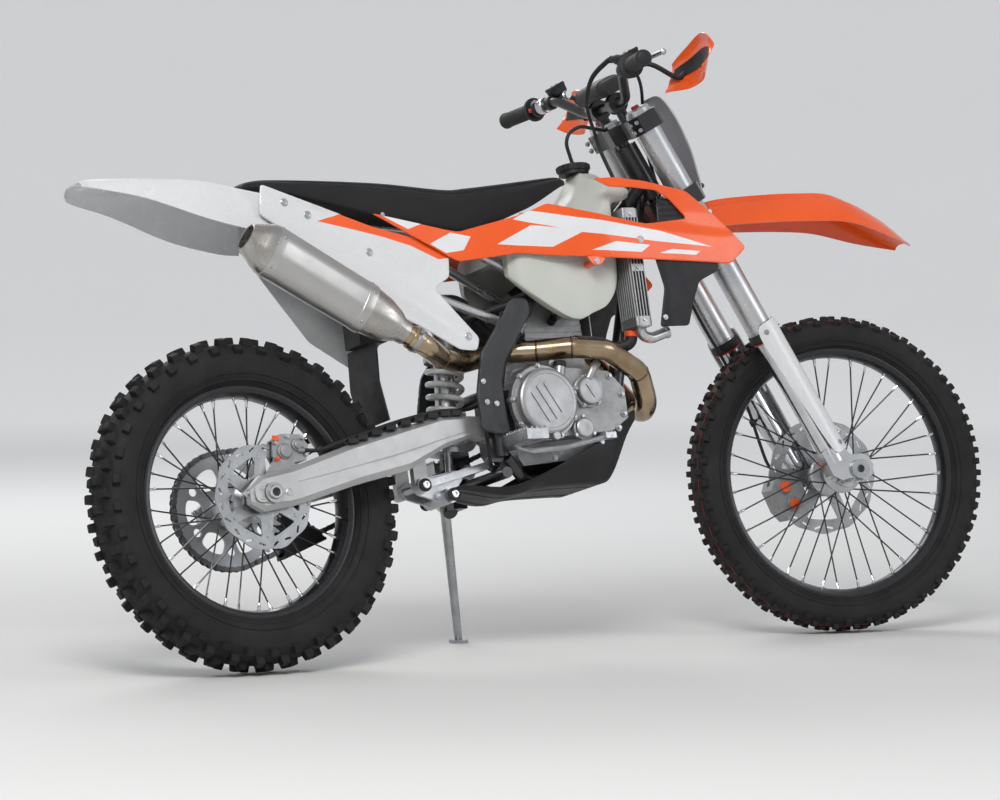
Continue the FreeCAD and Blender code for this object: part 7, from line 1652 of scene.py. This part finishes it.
for share, radius in ((coil_high + 14, 43), (coil_high + 22, 42)):
    spot = shock_low + shock_way * share
    ring = []
    for number in range(48):
        angle = 2 * math.pi * number / 48
        reach = radius if number % 4 < 2 else radius - 2.5
        ring.append(spot + shock_across * reach * math.cos(angle) + Vector((0, reach * math.sin(angle), 0)))
    shape.add(loop_loft([[point - shock_way * 3 for point in ring], [point + shock_way * 3 for point in ring]]))
shape.piece("shock_rings", BIKE, [grey_steel], "chassis", "grey_steel", [], 30)

# Swingarm fittings: axle blocks and hollow axle, adjusters, hose guard, pivot caps and linkage bolts

shape = Shape()
for side in (-1, 1):
    face = side * 128.2
    block_loop = rounded([(-34, 323), (40, 323), (48, 331), (48, 351), (40, 359), (-34, 359), (-42, 350), (-42, 332)], 6)
    shape.add(plate(block_loop, [circle((0, 341), 22, 40)], face, face + side * 3.2), 0)
    shape.add(spool((0, face + side * 8.4, 341), (0, face + side * 13.5, 341), [(0, 14.5), (0.5, 14.5), (1, 13), (1, 9), (0.1, 8.6)], 32), 1)
    # A dark disc inside the hollow axle's bore: painted shade.
    shape.add(spool((0, face + side * 8.3, 341), (0, face + side * 9.0, 341), [(0, 8.6), (1, 8.5)], 24), 3)
    shape.add(bolt((34, face + side * 3.2, 341), (0, side, 0), 6.5, 5), 1)
    for z in (331, 351):
        shape.add(cap_screw((-27, face + side * 3.2, z), (0, side, 0), 3.8, 3), 1)
    shape.add(rod((-47, side * 112, 346), (-62, side * 112, 344), 4.5, 12, 0.8), 1)
    shape.add(bolt((-52, side * 112, 345.4), (-1, 0, -0.1), 6.5, 6), 1)
seam = [(60, -128.1, 362), (160, -127.2, 381), (300, -122, 410), (420, -112, 440), (500, -95, 460)]
shape.add(sweep(curve_through(seam, 6), 0.9, 6), 0)
shape.add(sweep(curve_through([(p[0], -p[1], p[2]) for p in seam], 6), 0.9, 6), 0)
hose_points = [(96, -101, 430), (128, -110, 428), (171, -117, 441), (260, -113, 465), (335, -108, 484), (428, -100, 501), (505, -86, 506),
               (548, -84, 520)]
shape.add(sweep(curve_through(hose_points, 8), 4.2, 12), 2)
for number in range(9):
    x = 196 + number * 34
    spot = curve_through(hose_points, 8)
    near = min(spot, key=lambda point: abs(point.x - x))
    shape.add(block((near.x - 12, near.y - 9, near.z - 12), (near.x + 12, near.y + 9, near.z - 2), 2), 2)
for x, z, out in ((463, 333, 59), (396, 355, 59), (570, 395, 59)):
    for side in (-1, 1):
        shape.add(spool((x, side * (out - 2), z), (x, side * (out + 4), z), [(0, 14), (0.8, 14), (1, 12.5)], 24), 2)
        shape.add(spool((x, side * (out + 4), z), (x, side * (out + 8), z), [(0, 8.5), (0.7, 8.5), (1, 7), (1, 4), (0.2, 3.5)], 20), 1)
shape.piece("swingarm_fittings", BIKE, [arm_silver, bright_steel, black_plastic, painted_bore_shade], "chassis", "silver_aluminium",
            [], 32)

# Caliper pistons, screws and lines

shape = Shape()
centre = Vector((67.6, -97.8, 434))
for dx, dz, radius in ((-14, -4, 15), (16, 8, 11)):
    spot = centre + Vector((dx, 0, dz))
    shape.add(spool(spot, spot + Vector((0, -9, 0)), [(0, radius + 2), (0.4, radius + 1), (0.5, radius - 1), (0.9, radius - 2), (1, radius - 4)], 28), 0)
for dx, dz in ((-34, 14), (34, -12), (-4, 26), (30, 22)):
    shape.add(bolt(centre + Vector((dx, 0, dz)), (0, -1, 0), 4.6, 5), 1)
shape.add(rod(centre + Vector((-30, -3, -18)), centre + Vector((-38, -7, -22)), 4, 12, 0.8), 2)
shape.add(block((28, -103, 452), (42, -97.5, 462), 2), 2)
shape.add(rod((96, -101, 430), (82, -100, 432), 6, 12), 1)
shape.piece("rear_caliper_fittings", BIKE, [cast_silver, grey_steel, clip_orange], "chassis", "cast_aluminium", [], 32)
shape = Shape()
for dx, dz in ((-48, 30), (-48, -14)):
    for side, face in ((-1, 41.2), (1, 97.4)):
        spot = Vector((dx, face, dz))
        shape.add(spool(spot, spot + Vector((0, side * 7, 0)), [(0, 17), (0.4, 16), (0.5, 14.5), (1, 13)], 28), 0)
        shape.add(spool(spot + Vector((0, side * 7, 0)), spot + Vector((0, side * 9, 0)), [(0, 12), (0.8, 12), (1, 10)], 24), 2)
for dx, dz in ((-20, 46), (-20, -30), (-74, 8)):
    shape.add(bolt((dx, 97.4, dz), (0, 1, 0), 5, 6), 1)
brake_line = curve_through([(-30, 92, 54), (-34, 90, 90), (-26, 88, 140), (-14, 76, 230), (-12, 72, 330), (-14, 70, 450),
                            (-6, 68, 570), (24, 60, 660), (40, 40, 745), (44, 0, 830), (48, -60, 900), (52, -120, 965),
                            (36, -165, 1012), (20, -184, 1018)], 8)
shape.add(sweep(brake_line, 3.6, 12), 3)
for index in (20, 34):
    spot = brake_line[index]
    shape.add(spool(spot - Vector((0, 0, 7)), spot + Vector((0, 0, 7)), [(0, 6.5), (0.1, 7.5), (0.9, 7.5), (1, 6.5)], 14), 3)
    shape.add(rod(spot, Vector((spot.x + 16, 92, spot.z)), 3.2, 10), 3)
shape.piece("front_caliper_fittings", FORK, [cast_silver, grey_steel, clip_orange, soft_rubber], "steering", "cast_aluminium",
            [], 32)

# Pegs' teeth and the pedal's ribs

shape = Shape()
for side in (-1, 1):
    for edge_x in (551.5, 598.5):
        for number in range(9):
            y = side * (152 + number * 9.6)
            shape.add(spool((edge_x, y, 434), (edge_x, y, 441), [(0, 4.2), (0.4, 3.2), (1, 1.2)], 8), 0)
    for y in (150, 232):
        for number in range(3):
            shape.add(spool((563 + number * 12, side * y, 434), (563 + number * 12, side * y, 440), [(0, 3.6), (0.4, 2.8), (1, 1.2)], 8), 0)
    shape.add(bolt((575, side * 121, 446), (0, 0, 1), 5, 5), 0)
for number in range(4):
    shape.add(rod((780 + number * 7, -179, 431), (780 + number * 7, -157, 431), 1.6, 8), 0)
shape.piece("foot_control_teeth", BIKE, [grey_steel], "chassis", "grey_steel", [], 32)

# Cables from the bar down to the frame, and the cap's breather hose up to the steering stem


def from_fork(point):
    return (BIKE.inverted() @ (FORK @ (Vector(point) * MM))) / MM


cable_points = [from_fork(point) for point in ((-27, -232, 1046), (-36, -214, 1048), (-57, -150, 1030), (-76, -105, 986),
                                               (-75, -66, 924))]
cable_points += [from_fork((-80, -56, 880)), Vector((988, -62, 946)), Vector((984, -60, 936))]
shape = Shape()
for shift in (Vector((0, 0, 0)), Vector((-5, -7, 3))):
    path = curve_through([point + shift for point in cable_points], 9)
    shape.add(sweep(path, 3.6, 12), 0)
    shape.add(sweep(path[:6], 4.8, 12), 1)
mesh_piece = shape.piece("throttle_cables", BIKE, [soft_rubber, black_plastic], "steering", "soft_rubber", [], 40)


def across_joint(thing):
    """Frees a piece from its body, baking its place into its mesh."""
    spot = thing.matrix_world.copy()
    thing.parent = None
    thing.matrix_world = spot
    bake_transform(thing)


across_joint(mesh_piece)
breather = [Vector((905, 0, 1058)), Vector((900, -2, 1074)), Vector((892, -8, 1100)), Vector((900, -14, 1122)),
            Vector((925, -20, 1134)), Vector((955, -22, 1130)), from_fork((-24, -8, 915)), from_fork((-14, -2, 916))]
shape = Shape()
shape.add(sweep(curve_through(breather, 9), 4, 12), 0)
hose_piece = shape.piece("breather_hose", BIKE, [soft_rubber], "chassis", "soft_rubber", [], 40)
across_joint(hose_piece)

# Skid plate: a pressed black shell with screws, and slots under it

SKID_ROWS = [(0.00, 0.12, 0.40, 0.15, 0.46), (0.06, 0.12, 0.427, 0.17, 0.493), (0.26, 0.02, 0.56, 0.12, 0.66),
             (0.42, 0.078, 0.66, 0.24, 0.90), (0.66, 0.096, 0.70, 0.50, 0.96), (0.745, 0.10, 0.68, 0.58, 0.92),
             (0.82, 0.20, 0.64, 0.70, 0.84), (0.94, 0.66, 0.52, 0.92, 0.62), (1.0, 0.86, 0.50, 0.99, 0.54)]
rings = []
for along, low, low_half, high, top_half in sampled(SKID_ROWS, 5):
    x, floor_z, rim_z = 466 + along * 470, 320 + low * 180, 320 + high * 180
    low_out, top_out = low_half * 120, top_half * 120
    rise = rim_z - floor_z
    right = [(0.0, floor_z), (low_out * 0.45, floor_z), (low_out * 0.5, floor_z + 2), (low_out * 0.62, floor_z + 2),
             (low_out * 0.67, floor_z), (low_out * 0.9, floor_z), (low_out, floor_z + rise * 0.06)]
    right += [(low_out + (top_out - low_out) * 0.62, floor_z + rise * 0.50), (top_out - 0.3, floor_z + rise * 0.90),
              (top_out, rim_z)]
    outer = [(-a, b) for a, b in right[:0:-1]] + right
    inner = [(a - math.copysign(min(abs(a), 4), a), b + (4 if abs(a) < low_out * 0.95 else 0)) for a, b in outer]
    rings.append([Vector((x, a, b)) for a, b in outer] + [Vector((x, a, b)) for a, b in inner[::-1]])
shape = Shape()
shape.add(loop_loft(rings), 0)
for side in (-1, 1):
    for x, out, z in ((688, 113.5, 392), (812, 110.5, 422)):
        shape.add(bolt((x, side * (out - 2), z), (0, side, 0.1), 6, 4), 1)
shape.piece("skid_plate_detail", BIKE, [black_plastic, grey_steel], "chassis", "black_plastic", ["skid_plate"], 24)

# Floor, backdrop and light: one seamless pale sweep behind the bike

floor_material, floor_tree, floor_shader = new_material("pale_floor")
floor_tone = noise(floor_tree, coordinates(floor_tree), 1.2, 3)
floor_tree.links.new(blend_colours(floor_tree, floor_tone, (0.72, 0.715, 0.705), (0.75, 0.745, 0.735)),
                     floor_shader.inputs["Base Color"])
floor_shader.inputs["Roughness"].default_value = 0.9
far_spot = floor_tree.nodes.new("ShaderNodeVectorMath")
far_spot.operation = "LENGTH"
floor_tree.links.new(coordinates(floor_tree), far_spot.inputs[0])
far_share = spread(floor_tree, far_spot.outputs["Value"], 1.5, 9.0, 0.0, 0.34)
seen = floor_tree.nodes.new("ShaderNodeLightPath")
seen_sum = floor_tree.nodes.new("ShaderNodeMath")
seen_sum.operation = "MAXIMUM"
floor_tree.links.new(seen.outputs["Is Camera Ray"], seen_sum.inputs[0])
floor_tree.links.new(seen.outputs["Is Glossy Ray"], seen_sum.inputs[1])
far_glow = floor_tree.nodes.new("ShaderNodeMath")
far_glow.operation = "MULTIPLY"
floor_tree.links.new(far_share, far_glow.inputs[0])
floor_tree.links.new(seen_sum.outputs["Value"], far_glow.inputs[1])
floor_tree.links.new(far_glow.outputs["Value"], floor_shader.inputs["Emission Strength"])
floor_shader.inputs["Emission Color"].default_value = (0.97, 0.98, 1.0, 1)
floor_mesh = bpy.data.meshes.new("floor")
floor_points, floor_faces = [], []
for number in range(97):
    turn = 2 * math.pi * number / 96
    for reach, up in ((0.0, 0.0), (22.0, 0.0), (24.0, 0.4), (26.4, 1.7), (28.3, 4.1), (29.6, 7.3), (30.0, 11.8), (30.0, 23.6)):
        floor_points.append((reach * math.cos(turn), reach * math.sin(turn), up))
for number in range(96):
    for step in range(7):
        base = number * 8 + step
        floor_faces.append((base, base + 1, base + 9, base + 8))
floor_mesh.from_pydata(floor_points, [], floor_faces)
floor_mesh.shade_smooth()
floor_mesh.materials.append(floor_material)
floor = bpy.data.objects.new("floor", floor_mesh)
bpy.context.scene.collection.objects.link(floor)

world = bpy.data.worlds.new("studio")
bpy.context.scene.world = world
world.use_nodes = True
background = world.node_tree.nodes["Background"]
background.inputs["Color"].default_value = (0.88, 0.91, 0.96, 1)
background.inputs["Strength"].default_value = 0.55


def area_light(name, spot, target, width, height, power, colour=(1, 1, 1)):
    data = bpy.data.lights.new(name, "AREA")
    data.shape = "RECTANGLE"
    data.size = width
    data.size_y = height
    data.energy = power
    data.color = colour
    lamp = bpy.data.objects.new(name, data)
    bpy.context.scene.collection.objects.link(lamp)
    lamp.location = spot
    lamp.rotation_mode = "QUATERNION"
    lamp.rotation_quaternion = (Vector(target) - Vector(spot)).to_track_quat("-Z", "Y")
    return lamp


area_light("key", (-2.6, -3.4, 4.2), (0, 0, 0.6), 2.4, 1.8, 165, (1.0, 0.985, 0.96))
area_light("fill", (3.8, -4.2, 2.4), (0.2, 0, 0.6), 2.5, 2.0, 42, (0.95, 0.97, 1.0))
area_light("back", (0.5, 4.5, 3.6), (0, 0, 0.8), 4.0, 2.0, 110, (1.0, 1.0, 1.0))
